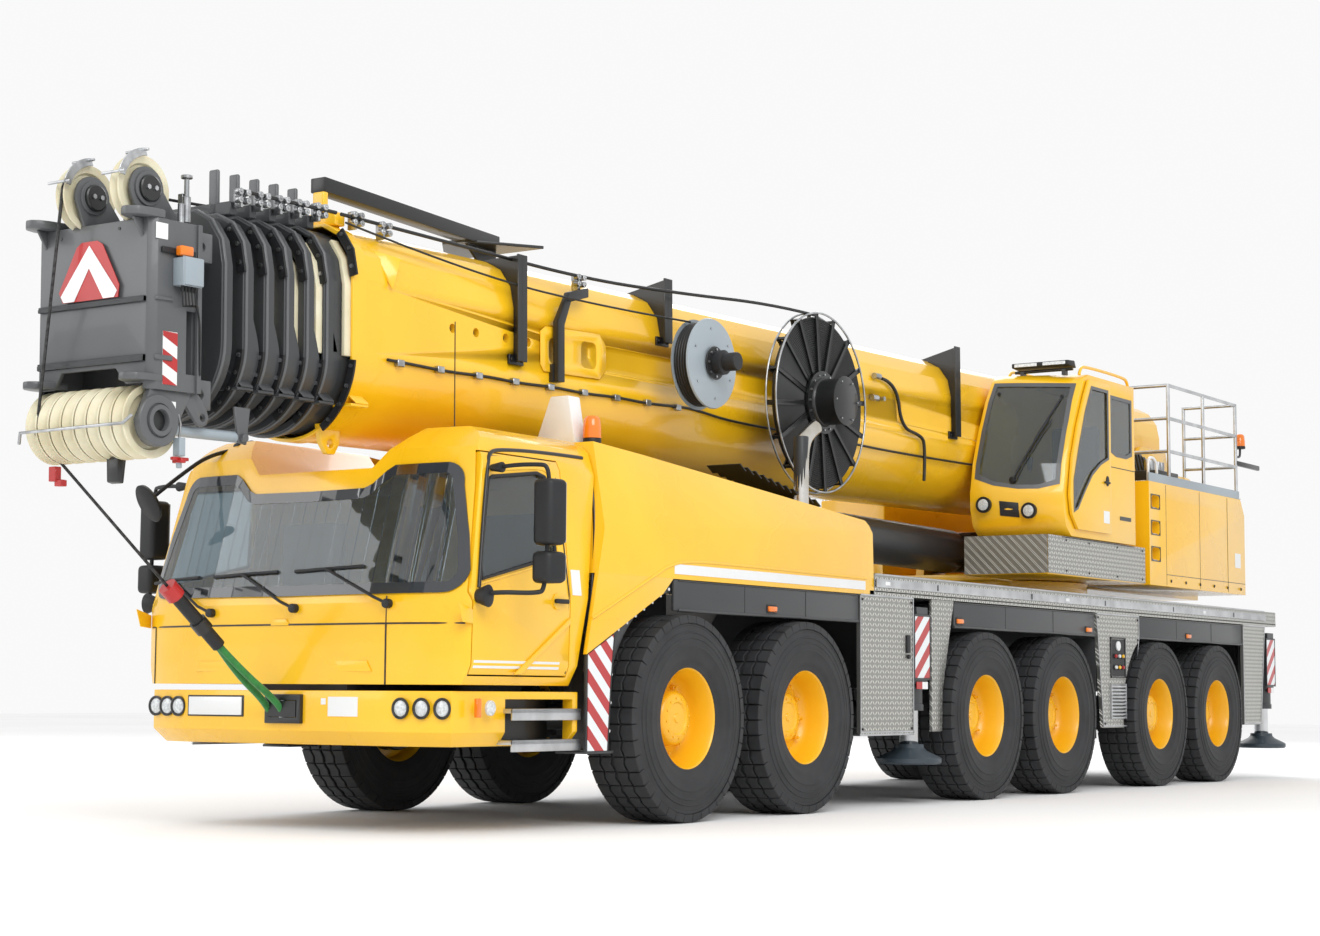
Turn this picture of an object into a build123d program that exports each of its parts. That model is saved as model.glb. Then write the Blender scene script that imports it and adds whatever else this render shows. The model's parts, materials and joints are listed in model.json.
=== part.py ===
from build123d import *
import os
from math import cos, radians, sin, sqrt

# Six-axle mobile crane, parked with its boom lowered over the carrier's cab.
# Millimetres. +X is forward, +Y the vehicle's left, +Z up. The ground is Z = 0 and the
# origin lies under the middle of the whole machine's length.

# ---------------------------------------------------------------- driving dimensions
# running gear
TYRE_RADIUS = 730
TYRE_WIDTH = 430
RIM_RADIUS = 364
TRACK_HALF = 1530            # outer face of a tyre from the centre plane
FRONT_AXLE_X = 4150
AXLE_GAPS = (1650, 3160, 1650, 2390, 1650)
STEERED = (True, True, False, False, True, True)
KINGPIN_Y = 1000
STEER_SWEEP = 112            # a steered tyre's outer corner swings this far past its radius
HUB_RADIUS = 150
RUN_GAP = 8                  # between pieces that turn or slide past each other

# carrier
BODY_HALF = 1450             # half width over the side panels
SKIN = 30                    # thickness of covers and panels
ARCH_GAP = 25                # from a tyre's top to the arch panel over it
ARCH_HEIGHT = 230
DECK_SHEET = 30
CHASSIS_HALF = 430
CHASSIS_REAR_X = -8430
CHASSIS_BOTTOM = 960
ENGINE_FLOOR = 1330
HITCH_BORE_RADIUS = 25
DECK_FRONT_X = 1400

# carrier cab
CAB_REAR_X = 5120
CAB_FRONT_X = 6680           # middle of the bowed front
CAB_BOTTOM = 950
CAB_HALF = 1410
CAB_HEIGHT = 1680
CAB_WALL = 50
BELT_Z = 1530                # lower edge of the windscreen
DOOR_FRONT_X = 6490
DOOR_REAR_X = 5460
DOOR_GAP = 10

# outriggers
BEAM_WIDTH = 240
BEAM_HEIGHT = 560
BEAM_WALL = 25
BEAM_BOTTOM = 1000
FRONT_BEAM_X = 450           # centre of the left front beam
REAR_BEAM_X = -8250          # centre of the left rear beam
BEAM_PITCH = 320             # the right beam lies this far ahead of the left one
TUNNEL_WALL = 30
JACK_INSET = 115             # jack's centre from its beam's tip
BEAM_INSET = 20              # beam's tip from the side panels' faces
JACK_RADIUS = 105
FLOAT_RADIUS = 270
FLOAT_BOTTOM = 330
FLOAT_THICK = 110

# superstructure
SLEW_X = -3850
RING_RADIUS = 1000
RING_HEIGHT = 130
TURNTABLE_SHEET = 60
CHEEK_INNER = 562
CHEEK_THICK = 60
PIVOT_X = -6950              # boom foot pin
PIVOT_HEIGHT = 1325          # boom foot pin above the turntable's underside
PIVOT_RADIUS = 110

# boom
BOOM_SLOPE = 1.04            # degrees nose down
BOOM_HALF = 535
BOOM_TOP = 844               # over the foot pin
BOOM_BOTTOM = -556
BOOM_WALL = 12
BOOM_LENGTH = 13640          # foot pin to the base section's collar
SECTION_COUNT = 6
SECTION_STEP = 44            # each section is this much smaller a side
COLLAR_PITCH = 178
COLLAR_THICK = 95
HEAD_LENGTH = 690
SHEAVE_RADIUS = 250
SHEAVE_COUNT = 7
JIB_BORE_RADIUS = 30
JIB_BORE_Z = (-400, 500)      # over the boom's own axis through the foot pin

# luffing cylinder
CYLINDER_BASE_X = -3100
CYLINDER_BASE_Z = 2330
CYLINDER_EYE_X = 2450
CYLINDER_EYE_Z = 2390
CYLINDER_RADIUS = 215
ROD_RADIUS = 130
BARREL_LENGTH = 4950
EYE_RADIUS = 165

# crane cab
CRANE_CAB_INNER = 580
CRANE_CAB_OUTER = 1415
CRANE_CAB_FLOOR = 2430
CRANE_CAB_HEIGHT = 1610
CRANE_CAB_FRONT_X = -2370
CRANE_CAB_REAR_X = -4320
CRANE_CAB_WALL = 40
CRANE_DOOR_REAR_X = -3610
TILT_X = -4270               # pivot that the cab tips back on
TILT_Z = 2450

# ---------------------------------------------------------------- derived places
AXLE_X = [FRONT_AXLE_X - sum(AXLE_GAPS[:i]) for i in range(6)]
AXLE_Z = TYRE_RADIUS
ARCH_Z = 2 * TYRE_RADIUS + ARCH_GAP
PANEL_TOP = ARCH_Z + ARCH_HEIGHT
DECK_Z = PANEL_TOP + DECK_SHEET
RING_Z = DECK_Z + 150
TURNTABLE_Z = RING_Z + RING_HEIGHT
PIVOT_Z = TURNTABLE_Z + PIVOT_HEIGHT
SIDES = {"left": 1, "right": -1}


# ---------------------------------------------------------------- helpers
def box(x0, x1, y0, y1, z0, z1):
    return Pos((x0 + x1) / 2, (y0 + y1) / 2, (z0 + z1) / 2) * Box(x1 - x0, y1 - y0, z1 - z0)


def prism_x(points, x0, x1):
    """Outline of (y, z) points, extruded along X."""
    face = Plane.YZ * make_face(Polyline(*points, close=True))
    return Pos(x0, 0, 0) * extrude(face, x1 - x0)


def prism_y(points, y0, y1):
    """Outline of (x, z) points, extruded along Y."""
    face = Plane.XZ * make_face(Polyline(*points, close=True))
    return Pos(0, y1, 0) * extrude(face, y1 - y0)


def prism_z(points, z0, z1):
    """Outline of (x, y) points, extruded along Z."""
    return Pos(0, 0, z0) * extrude(make_face(Polyline(*points, close=True)), z1 - z0)


def rod_x(x0, x1, y, z, radius):
    return Pos((x0 + x1) / 2, y, z) * Rot(0, 90, 0) * Cylinder(radius, x1 - x0)


def rod_y(x, y0, y1, z, radius):
    return Pos(x, (y0 + y1) / 2, z) * Rot(90, 0, 0) * Cylinder(radius, y1 - y0)


def rod_z(x, y, z0, z1, radius):
    return Pos(x, y, (z0 + z1) / 2) * Cylinder(radius, z1 - z0)


def flip(shape):
    """The same piece on the other side of the centre plane."""
    return mirror(shape, about=Plane.XZ)


def both(shape):
    return [shape, flip(shape)]


def join(shapes):
    first, *rest = shapes
    return first.fuse(*rest) if rest else first


def save(name, shape):
    export_step(shape, f"parts/{name}.step")


def group(shapes):
    return Compound(children=list(shapes))


# ---------------------------------------------------------------- running gear
def wheel(side):
    """Tyre on a dished rim, turned about the axle line; its open side faces the centre plane."""
    inner = TRACK_HALF - TYRE_WIDTH
    outer = TRACK_HALF
    disc = inner + 250
    rim = RIM_RADIUS
    profile = [                                  # (radius, y)
        (rim - 40, inner + 30), (rim, inner + 30), (rim + 150, inner), (TYRE_RADIUS - 40, inner + 15),
        (TYRE_RADIUS, inner + 55), (TYRE_RADIUS, outer - 55), (TYRE_RADIUS - 40, outer - 15),
        (rim + 150, outer), (rim, outer - 30), (rim - 40, outer - 60), (rim - 50, disc + 15),
        (HUB_RADIUS + 60, disc + 15), (HUB_RADIUS - 20, disc + 130), (0, disc + 140), (0, disc - 10),
        (rim - 50, disc - 10),
    ]
    solid = revolve(make_face(Polyline(*profile, close=True)), Axis.Y)
    return solid if side > 0 else flip(solid)


def knuckle(side):
    """Steering knuckle on its kingpin with the hub that carries the wheel."""
    block = box(-100, 100, KINGPIN_Y - 80, KINGPIN_Y + 70, -190, 190)
    hub = rod_y(0, KINGPIN_Y + 70, TRACK_HALF - TYRE_WIDTH + 240 - RUN_GAP, 0, HUB_RADIUS)
    arm = box(-330, -100, KINGPIN_Y - 70, KINGPIN_Y - 20, -60, -10)
    solid = join([block, hub, arm])
    return solid if side > 0 else flip(solid)


def axle(steered):
    """Axle beam with its drive head; a fixed axle runs on into its hubs."""
    reach = KINGPIN_Y - 165 if steered else TRACK_HALF - TYRE_WIDTH + 240 - RUN_GAP
    beam = rod_y(0, -reach, reach, 0, 95 if steered else 120)
    head = Pos(0, 0, 0) * Sphere(210)
    yokes = [box(-90, 90, s * (reach - 25) - 25, s * (reach - 25) + 25, -170, 170) for s in (-1, 1)]
    struts = [rod_z(0, s * (CHASSIS_HALF + 66), 60, CHASSIS_BOTTOM + 300 - AXLE_Z, 65) for s in (-1, 1)]
    return join([beam, head, *struts] + (yokes if steered else []))


def build_running_gear():
    group_axles = []
    for number, (x, steered) in enumerate(zip(AXLE_X, STEERED), 1):
        place = Pos(x, 0, AXLE_Z)
        group_axles.append(place * axle(steered))
        for name, side in SIDES.items():
            save(f"wheel_{number}_{name}", place * wheel(side))
            if steered:
                save(f"knuckle_{number}_{name}", place * knuckle(side))
    save("axles", group(group_axles))


# ---------------------------------------------------------------- carrier
def beam_x(end, side):
    """Centre of an outrigger beam; the right beam lies ahead of its left neighbour."""
    base = FRONT_BEAM_X if end == "front" else REAR_BEAM_X
    return base if side > 0 else base + BEAM_PITCH


def chassis_frame():
    """Box-section frame with the two cross boxes that hold the outrigger beams."""
    front = CAB_FRONT_X - 130
    wall = 25
    spine = prism_y([
        (CHASSIS_REAR_X, CHASSIS_BOTTOM), (CHASSIS_REAR_X, PANEL_TOP), (1900, PANEL_TOP), (2300, ENGINE_FLOOR),
        (4700, ENGINE_FLOOR), (5000, CAB_BOTTOM), (front, CAB_BOTTOM), (front, 650), (4950, 650),
        (4650, CHASSIS_BOTTOM),
    ], -CHASSIS_HALF, CHASSIS_HALF)
    hollow = box(CHASSIS_REAR_X - 10, 1850, -CHASSIS_HALF + wall, CHASSIS_HALF - wall, CHASSIS_BOTTOM + wall,
                 PANEL_TOP - wall)
    solids = [spine - hollow]
    tunnels = []
    for end in ("front", "rear"):
        xs = [beam_x(end, s) for s in (1, -1)]
        half = BEAM_WIDTH / 2 + RUN_GAP
        reach = BODY_HALF - 260
        solids.append(box(min(xs) - half - TUNNEL_WALL, max(xs) + half + TUNNEL_WALL, -reach, reach,
                          BEAM_BOTTOM - 40, PANEL_TOP - 60))
        tunnels += [box(x - half, x + half, -2000, 2000, BEAM_BOTTOM - RUN_GAP,
                        BEAM_BOTTOM + BEAM_HEIGHT + RUN_GAP) for x in xs]
    ring_seat = rod_z(SLEW_X, 0, PANEL_TOP - 20, RING_Z, RING_RADIUS - 60)
    ring_seat = ring_seat - box(SLEW_X - 2000, SLEW_X + 2000, CHASSIS_HALF, 2000, 0, PANEL_TOP)
    ring_seat = ring_seat - box(SLEW_X - 2000, SLEW_X + 2000, -2000, -CHASSIS_HALF, 0, PANEL_TOP)
    hitch = join([box(CHASSIS_REAR_X - 50, CHASSIS_REAR_X + 30, -170, 170, 560, 1100),
                  box(CHASSIS_REAR_X - 150, CHASSIS_REAR_X - 40, -70, 70, 560, 640)])
    hitch = hitch - rod_z(CHASSIS_REAR_X - 105, 0, 500, 700, HITCH_BORE_RADIUS)
    frame = join(solids + [ring_seat, hitch])
    for tunnel in tunnels:
        frame = frame - tunnel
    return frame


def outrigger_beam(end, side):
    """Hollow beam that slides out sideways, with the jack's housing on its end."""
    x = beam_x(end, side)
    tip = BODY_HALF - BEAM_INSET
    tail = -(BODY_HALF - 230)
    tube = box(x - BEAM_WIDTH / 2, x + BEAM_WIDTH / 2, tail, tip, BEAM_BOTTOM, BEAM_BOTTOM + BEAM_HEIGHT)
    hollow = box(x - BEAM_WIDTH / 2 + BEAM_WALL, x + BEAM_WIDTH / 2 - BEAM_WALL, tail - 10,
                 tip - 2 * JACK_INSET - 20, BEAM_BOTTOM + BEAM_WALL, BEAM_BOTTOM + BEAM_HEIGHT - BEAM_WALL)
    y = tip - JACK_INSET
    housing = rod_z(x, y, BEAM_BOTTOM - 220, BEAM_BOTTOM + BEAM_HEIGHT + 80, JACK_RADIUS + 8)
    bore = rod_z(x, y, BEAM_BOTTOM - 400, BEAM_BOTTOM + BEAM_HEIGHT + 30, JACK_RADIUS - 25 + RUN_GAP)
    solid = tube - hollow + housing - bore
    return solid if side > 0 else flip(solid)


def jack(end, side):
    """Jack leg with its round float."""
    x = beam_x(end, side)
    y = BODY_HALF - BEAM_INSET - JACK_INSET
    leg = rod_z(x, y, FLOAT_BOTTOM + FLOAT_THICK, BEAM_BOTTOM + BEAM_HEIGHT - 10, JACK_RADIUS - 25)
    plate = rod_z(x, y, FLOAT_BOTTOM, FLOAT_BOTTOM + FLOAT_THICK, FLOAT_RADIUS)
    solid = chamfer(plate.edges().group_by(Axis.Z)[-1], 45) + leg
    return solid if side > 0 else flip(solid)


def hood_form(cut):
    """The left hood's outer form, or the same form drawn in by a wall's thickness."""
    front, rear = 4980, 1400
    inner = 800
    base = PANEL_TOP - 5
    nose = Plane.YZ.offset(front - cut) * make_face(Polyline(
        (inner + cut, base), (BODY_HALF - cut, base), (BODY_HALF - cut, 2010),
        (1240 - cut, 2630 - cut), (inner + cut, 2630 - cut), close=True))
    tail = Plane.YZ.offset(rear + cut) * make_face(Polyline(
        (inner + cut, base), (BODY_HALF - cut, base), (BODY_HALF - cut, 2220),
        (1370 - cut, 2310 - cut), (inner + cut, 2310 - cut), close=True))
    return loft([nose, tail], ruled=True)


def side_hood():
    """Faceted cover over the two front axles, open below and thin walled."""
    wing = prism_y([(4270, PANEL_TOP - 5), (4400, 1600), (5320, 1160), (5320, 1560), (4950, 2010),
                    (4270, 2010)], BODY_HALF - SKIN, BODY_HALF)
    return join([hood_form(0) - hood_form(SKIN), wing])


def arch_panels():
    """Dark panels over the wheels, between the tread panels."""
    spans = [(1560, 4260), (-3180, -140), (-7300, -4310)]          # (rear x, front x)
    shapes = []
    for x0, x1 in spans:
        face = box(x0, x1, BODY_HALF - SKIN, BODY_HALF - 5, ARCH_Z, PANEL_TOP - 5)
        top = box(x0, x1, CHASSIS_HALF, BODY_HALF - 5, PANEL_TOP - 35, PANEL_TOP - 5)
        shapes += both(join([face, top]))
    return group(shapes)


def deck_panels():
    """Chequer-plate deck and the side panels between the wheel groups."""
    deck = box(CHASSIS_REAR_X + 10, DECK_FRONT_X - 20, -BODY_HALF, BODY_HALF, PANEL_TOP, DECK_Z)
    deck = deck - rod_z(SLEW_X, 0, 0, 5000, RING_RADIUS - 50)
    shapes = [deck]
    outlines = [                                 # (x, z) seen from the left
        [(1550, PANEL_TOP - 5), (1550, 590), (620, 590), (620, PANEL_TOP), (DECK_FRONT_X - 20, PANEL_TOP),
         (DECK_FRONT_X - 20, PANEL_TOP - 5)],
        [(-3200, PANEL_TOP), (-3350, 600), (-4070, 600), (-4290, 1500), (-4290, PANEL_TOP)],
        [(-7310, PANEL_TOP), (-7310, 600), (-7870, 600), (-8050, PANEL_TOP)],
    ]
    for outline in outlines:
        shapes += both(prism_y(outline, BODY_HALF - SKIN, BODY_HALF))
    panels = join(shapes)
    for x, steered in zip(AXLE_X, STEERED):
        if steered:
            panels = panels - rod_y(x, -BODY_HALF - 50, BODY_HALF + 50, AXLE_Z, TYRE_RADIUS + STEER_SWEEP)
    for end in ("front", "rear"):
        for side in (1, -1):
            x = beam_x(end, side)
            half = BEAM_WIDTH / 2 + RUN_GAP
            y0, y1 = sorted((side * 1000, side * 2000))
            panels = panels - box(x - half, x + half, y0, y1, BEAM_BOTTOM - 230, PANEL_TOP - 55)
    return panels


def front_bumper():
    """Bumper bar that wraps round the corners and runs back as the step boxes."""
    front = CAB_FRONT_X - 20
    outline = [(front, -900), (front - 100, -1300), (5350, -1400), (5350, 1400), (front - 100, 1300),
               (front, 900)]
    inside = [(front - 60, -850), (front - 160, -1240), (5300, -1340), (5300, 1340), (front - 160, 1240),
              (front - 60, 850)]
    shell = prism_z(outline, 560, 910) - prism_z(inside, 500, 860)
    return shell - box(4000, CAB_FRONT_X - 130, -CHASSIS_HALF, CHASSIS_HALF, 500, 1000)


def build_carrier():
    save("chassis_frame", chassis_frame())
    for end in ("front", "rear"):
        for name, side in SIDES.items():
            save(f"outrigger_{end}_{name}", outrigger_beam(end, side))
            save(f"jack_{end}_{name}", jack(end, side))
    save("side_hoods", group(both(side_hood())))
    save("arch_panels", arch_panels())
    save("deck_panels", deck_panels())
    save("front_bumper", front_bumper())
    engine = box(2800, 4550, -420, 420, ENGINE_FLOOR, 2240)
    pipe = rod_z(2020, 1180, 2200, 2950, 60) - hood_form(0)
    save("engine_and_exhaust", group([engine, pipe]))


# ---------------------------------------------------------------- carrier cab
def cab_body(inset):
    """The cab's outer form, or the same form drawn in by a wall's thickness."""
    c = inset
    top = CAB_BOTTOM + CAB_HEIGHT - c
    half = [(0, CAB_BOTTOM + c), (CAB_HALF - 60 - c, CAB_BOTTOM + c), (CAB_HALF - 10 - c, CAB_BOTTOM + 130),
            (CAB_HALF - c, BELT_Z), (1120 - c, top), (760, top), (500, 2360 - c), (0, 2360 - c)]
    front_view = prism_x(half + [(-y, z) for y, z in reversed(half[1:-1])], CAB_REAR_X + c, CAB_FRONT_X + 100)
    side_view = prism_y([
        (CAB_REAR_X + c, CAB_BOTTOM), (CAB_REAR_X + c, 3000), (5900, 3000), (6370 - c, 2480),
        (CAB_FRONT_X - c, BELT_Z), (CAB_FRONT_X - c, CAB_BOTTOM)], -2000, 2000)
    bow = make_face(Polyline((CAB_REAR_X, -2000), (CAB_REAR_X, 2000), (6400 - c, 2000), (6540 - c, 1390)) +
                    ThreePointArc((6540 - c, 1390), (CAB_FRONT_X - c, 0), (6540 - c, -1390)) +
                    Polyline((6540 - c, -1390), (6400 - c, -2000), (CAB_REAR_X, -2000)))
    plan_view = extrude(bow, 4000)
    return front_view & side_view & plan_view


def door_prism(side, grow):
    """Block that a door is cut from; grow widens it into the doorway."""
    g = grow
    sill = CAB_BOTTOM + CAB_WALL + 15
    outline = [(DOOR_REAR_X - g, sill - g), (DOOR_FRONT_X + g, sill - g),
               (DOOR_FRONT_X + g, BELT_Z), (DOOR_FRONT_X - 210 + g, 2440 + g), (DOOR_REAR_X - g, 2440 + g)]
    solid = prism_y(outline, 900, 1600)
    return solid if side > 0 else flip(solid)


def door_window(side):
    solid = prism_y([(5580, 1790), (6400, 1610), (6250, 2270), (5630, 2340)], 900, 1600)
    return solid if side > 0 else flip(solid)


def windscreen_cut():
    return prism_x([(-1290, BELT_Z + 40), (1290, BELT_Z + 40), (1010, 2300), (-1010, 2300)], 6150, 7000)


def build_cab():
    shell = cab_body(0) - cab_body(CAB_WALL)
    core = shell - windscreen_cut()
    glass = [(cab_body(15) - cab_body(25)) & windscreen_cut()]
    for name, side in SIDES.items():
        core = core - door_prism(side, DOOR_GAP)
        door = (shell & door_prism(side, 0)) - door_window(side)
        mirror_case = box(6120, 6240, 1650, 1850, 1800, 2250)
        mirror_case = mirror_case if side > 0 else flip(mirror_case)
        post = box(6150, 6200, 1700, 1760, 1500, 1820)
        link = box(6150, 6500, 1700, 1760, 1480, 1530)
        foot = box(6440, 6490, 1400, 1760, 1480, 1530)
        extra = join([post, link, foot])
        extra = extra if side > 0 else flip(extra)
        save(f"carrier_door_{name}", join([door, extra, mirror_case]))
    save("carrier_cab", core)
    save("carrier_cab_glass", group(glass))
    seats = [join([box(5450, 5950, s * 900 - 240, s * 900 + 240, CAB_BOTTOM + CAB_WALL, 1450),
                   box(5350, 5480, s * 900 - 240, s * 900 + 240, 1300, 2100)]) for s in (-1, 1)]
    save("carrier_cab_interior", group(seats))


# ---------------------------------------------------------------- superstructure
def superstructure_frame():
    """Turntable plate on its ring, with the two cheeks that carry the boom foot."""
    z = TURNTABLE_Z
    ring = rod_z(SLEW_X, 0, RING_Z + RUN_GAP, z + 10, RING_RADIUS)
    plate = box(-7600, -2600, -CHEEK_INNER - CHEEK_THICK, CHEEK_INNER + CHEEK_THICK, z, z + TURNTABLE_SHEET)
    outline = [(-2600, z), (-2600, 2300), (-4200, 2340), (-4560, 2500), (-6500, PIVOT_Z + 330),
               (-7200, PIVOT_Z + 330), (-7420, 3000), (-8150, 2900), (-8150, z)]
    cheek = prism_y(outline, CHEEK_INNER, CHEEK_INNER + CHEEK_THICK)
    pin = rod_y(PIVOT_X, -CHEEK_INNER - CHEEK_THICK - 40, CHEEK_INNER + CHEEK_THICK + 40, PIVOT_Z, PIVOT_RADIUS)
    base_ears = [prism_y([(CYLINDER_BASE_X - 260, z), (CYLINDER_BASE_X - 150, CYLINDER_BASE_Z + 120),
                          (CYLINDER_BASE_X + 150, CYLINDER_BASE_Z + 120), (CYLINDER_BASE_X + 260, z)], a, b)
                 for a, b in ((-330, -240), (240, 330))]
    skirt = box(-4530, -2150, CHEEK_INNER, BODY_HALF - 30, z + 20, 2390)
    tail = box(-8150, -7300, -CHEEK_INNER - CHEEK_THICK, CHEEK_INNER + CHEEK_THICK, z, z + TURNTABLE_SHEET)
    return join([ring, plate, *both(cheek), pin, *base_ears, skirt, tail])


def side_housing():
    """Covered housings beside the boom foot, left and right."""
    z = TURNTABLE_Z
    base = z + 15
    left = box(-7450, -4620, 700, BODY_HALF, base, 3120) - box(-7420, -4650, 730, BODY_HALF - SKIN, 0, 3090)
    right = box(-7450, -2900, -BODY_HALF, -700, base, 2900) - box(-7420, -2930, -BODY_HALF + SKIN, -730, 0, 2870)
    arms = [box(-6000, -5800, CHEEK_INNER + CHEEK_THICK, 710, base, base + 200),
            box(-6000, -5800, -710, -CHEEK_INNER - CHEEK_THICK, base, base + 200)]
    return group([join([left, arms[0]]), join([right, arms[1]])])


def platform_railing():
    rail_top = 4200
    posts = [box(x - 20, x + 20, 1390, 1430, 3120, rail_top) for x in (-5280, -6350, -7420)]
    rails = [box(-7440, -5260, 1390, 1430, z - 20, z + 20) for z in (rail_top, 3660)]
    return join(posts + rails)


def hoist_drum():
    x, z = -7750, 2640
    drum = rod_y(x, -420, 420, z, 260)
    ends = [rod_y(x, y - 15, y + 15, z, 400) for y in (-405, 405)]
    shaft = rod_y(x, -550, 550, z, 60)
    return join([drum, shaft, *ends])


def crane_cab_body(inset):
    c = inset
    floor = CRANE_CAB_FLOOR + c
    roof = CRANE_CAB_FLOOR + CRANE_CAB_HEIGHT - c
    rear = CRANE_CAB_REAR_X + c
    front = CRANE_CAB_FRONT_X - c
    outline = (Polyline((front - 530, roof), (rear, roof), (rear, floor), (front - 210, floor)) +
               ThreePointArc((front - 210, floor), (front - 10, 2790), (front - 530, roof)))
    face = Plane.XZ * make_face(outline)
    return Pos(0, CRANE_CAB_OUTER - c, 0) * extrude(face, CRANE_CAB_OUTER - CRANE_CAB_INNER - 2 * c)


def build_crane_cab():
    shell = crane_cab_body(0) - crane_cab_body(CRANE_CAB_WALL)
    front_cut = box(-3200, -2000, CRANE_CAB_INNER + 70, CRANE_CAB_OUTER - 70, 2870, 3900)
    side_cut = prism_y([(-3540, 2900), (-2500, 2760), (-2850, 3880), (-3540, 3880)], 300, 1300)
    doorway = prism_y([(CRANE_DOOR_REAR_X, 2520), (-2700, 2520), (-2450, 2800), (-2900, 3980),
                       (CRANE_DOOR_REAR_X, 3980)], 1300, 1600)
    rear_cut = prism_y([(-4230, 3300), (-3700, 3300), (-3700, 3900), (-4230, 3900)], 1300, 1600)
    core = shell - front_cut - side_cut - doorway - rear_cut
    save("crane_cab", core)
    skin = crane_cab_body(12) - crane_cab_body(20)
    save("crane_cab_glass", group([skin & front_cut]))
    door = prism_y([(CRANE_DOOR_REAR_X - 40, 2480), (-2720, 2480), (-2470, 2800), (-2900, 4010),
                    (CRANE_DOOR_REAR_X - 40, 4010)], CRANE_CAB_OUTER + RUN_GAP, CRANE_CAB_OUTER + RUN_GAP + 30)
    save("crane_cab_door", door)
    seat = join([box(-3750, -3250, 760, 1240, CRANE_CAB_FLOOR + CRANE_CAB_WALL, 2950),
                 box(-3850, -3730, 760, 1240, 2850, 3600)])
    save("crane_cab_seat", seat)


# ---------------------------------------------------------------- boom
def boom_profile(half, top, bottom):
    """Flat top with slanted shoulders over upright sides and a half-round bottom: (y, z) face."""
    shoulder = 0.335 * half
    flat = 0.66 * half
    left = Polyline((-half, bottom + half), (-half, top - 0.52 * half), (-flat, top), (flat, top),
                    (half, top - 0.52 * half), (half, bottom + half))
    bowl = ThreePointArc((half, bottom + half), (0, bottom), (-half, bottom + half))
    return Plane.YZ * make_face(left + bowl)


def boom_tube(half, top, bottom, x0, x1):
    outer = extrude(boom_profile(half, top, bottom), x1 - x0)
    inner = extrude(boom_profile(half - BOOM_WALL, top - BOOM_WALL, bottom + BOOM_WALL), x1 - x0)
    return Pos(x0, 0, 0) * (outer - inner)


def on_boom(shape):
    """Turns and moves a piece drawn along the boom, foot pin at the origin, to its parked place."""
    return Pos(PIVOT_X, 0, PIVOT_Z) * Rot(0, BOOM_SLOPE, 0) * shape


def section_sizes(number):
    step = number * SECTION_STEP
    return BOOM_HALF - step, BOOM_TOP - step, BOOM_BOTTOM + step


def collar_plate(number, x0, x1, reach):
    """Thick frame round a section's mouth."""
    half, top, bottom = section_sizes(number)
    outer = extrude(boom_profile(*reach), x1 - x0)
    inner = extrude(boom_profile(half - BOOM_WALL, top - BOOM_WALL, bottom + BOOM_WALL), x1 - x0)
    return Pos(x0, 0, 0) * (outer - inner)


def boom_base():
    tube = boom_tube(BOOM_HALF, BOOM_TOP, BOOM_BOTTOM, -300, BOOM_LENGTH)
    collar = collar_plate(0, BOOM_LENGTH - 260, BOOM_LENGTH, (BOOM_HALF + 15, BOOM_TOP + 15, BOOM_BOTTOM - 15))
    foot = rod_y(0, -BOOM_HALF + 2, BOOM_HALF - 2, 0, PIVOT_RADIUS + 110)
    bore = rod_y(0, -BOOM_HALF - 50, BOOM_HALF + 50, 0, PIVOT_RADIUS + 1)
    eye_x, eye_z = eye_local()
    ears = [prism_y([(eye_x - 500, BOOM_BOTTOM + 60), (eye_x - 190, eye_z - 60), (eye_x - 120, eye_z - 170),
                     (eye_x + 120, eye_z - 170), (eye_x + 190, eye_z - 60), (eye_x + 700, BOOM_BOTTOM + 60)],
                    a, b) for a, b in ((-210, -152), (152, 210))]
    ear_bore = rod_y(eye_x, -300, 300, eye_z, 80)
    clear = Pos(-400, 0, 0) * extrude(boom_profile(BOOM_HALF - BOOM_WALL, BOOM_TOP - BOOM_WALL,
                                                   BOOM_BOTTOM + BOOM_WALL), BOOM_LENGTH + 800)
    ears = [ear - ear_bore - clear for ear in ears]
    solid = join([tube, collar, foot - bore, *ears]) - bore
    reel_arm = [box(x - 60, x + 60, BOOM_HALF - 10, 800, z - 60, z + 60) for x, z in reel_places()]
    return on_boom(join([solid, *reel_arm]))


def eye_local():
    """The luffing cylinder's upper eye in the boom's own frame: (along, above the foot pin)."""
    dx, dz = CYLINDER_EYE_X - PIVOT_X, CYLINDER_EYE_Z - PIVOT_Z
    a = radians(BOOM_SLOPE)
    return dx * cos(a) - dz * sin(a), dx * sin(a) + dz * cos(a)


def reel_places():
    return [(9960, 262), (8200, 119)]


def telescope(number):
    half, top, bottom = section_sizes(number)
    x1 = BOOM_LENGTH + 130 + (number - 1) * COLLAR_PITCH
    tube = boom_tube(half, top, bottom, 500 + 120 * number, x1 + COLLAR_THICK)
    reach = (BOOM_HALF - 30 - 6 * number, BOOM_TOP - 40 - 6 * number, BOOM_BOTTOM + 5 + 4 * number)
    return join([tube, collar_plate(number, x1, x1 + COLLAR_THICK, reach)])


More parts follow.
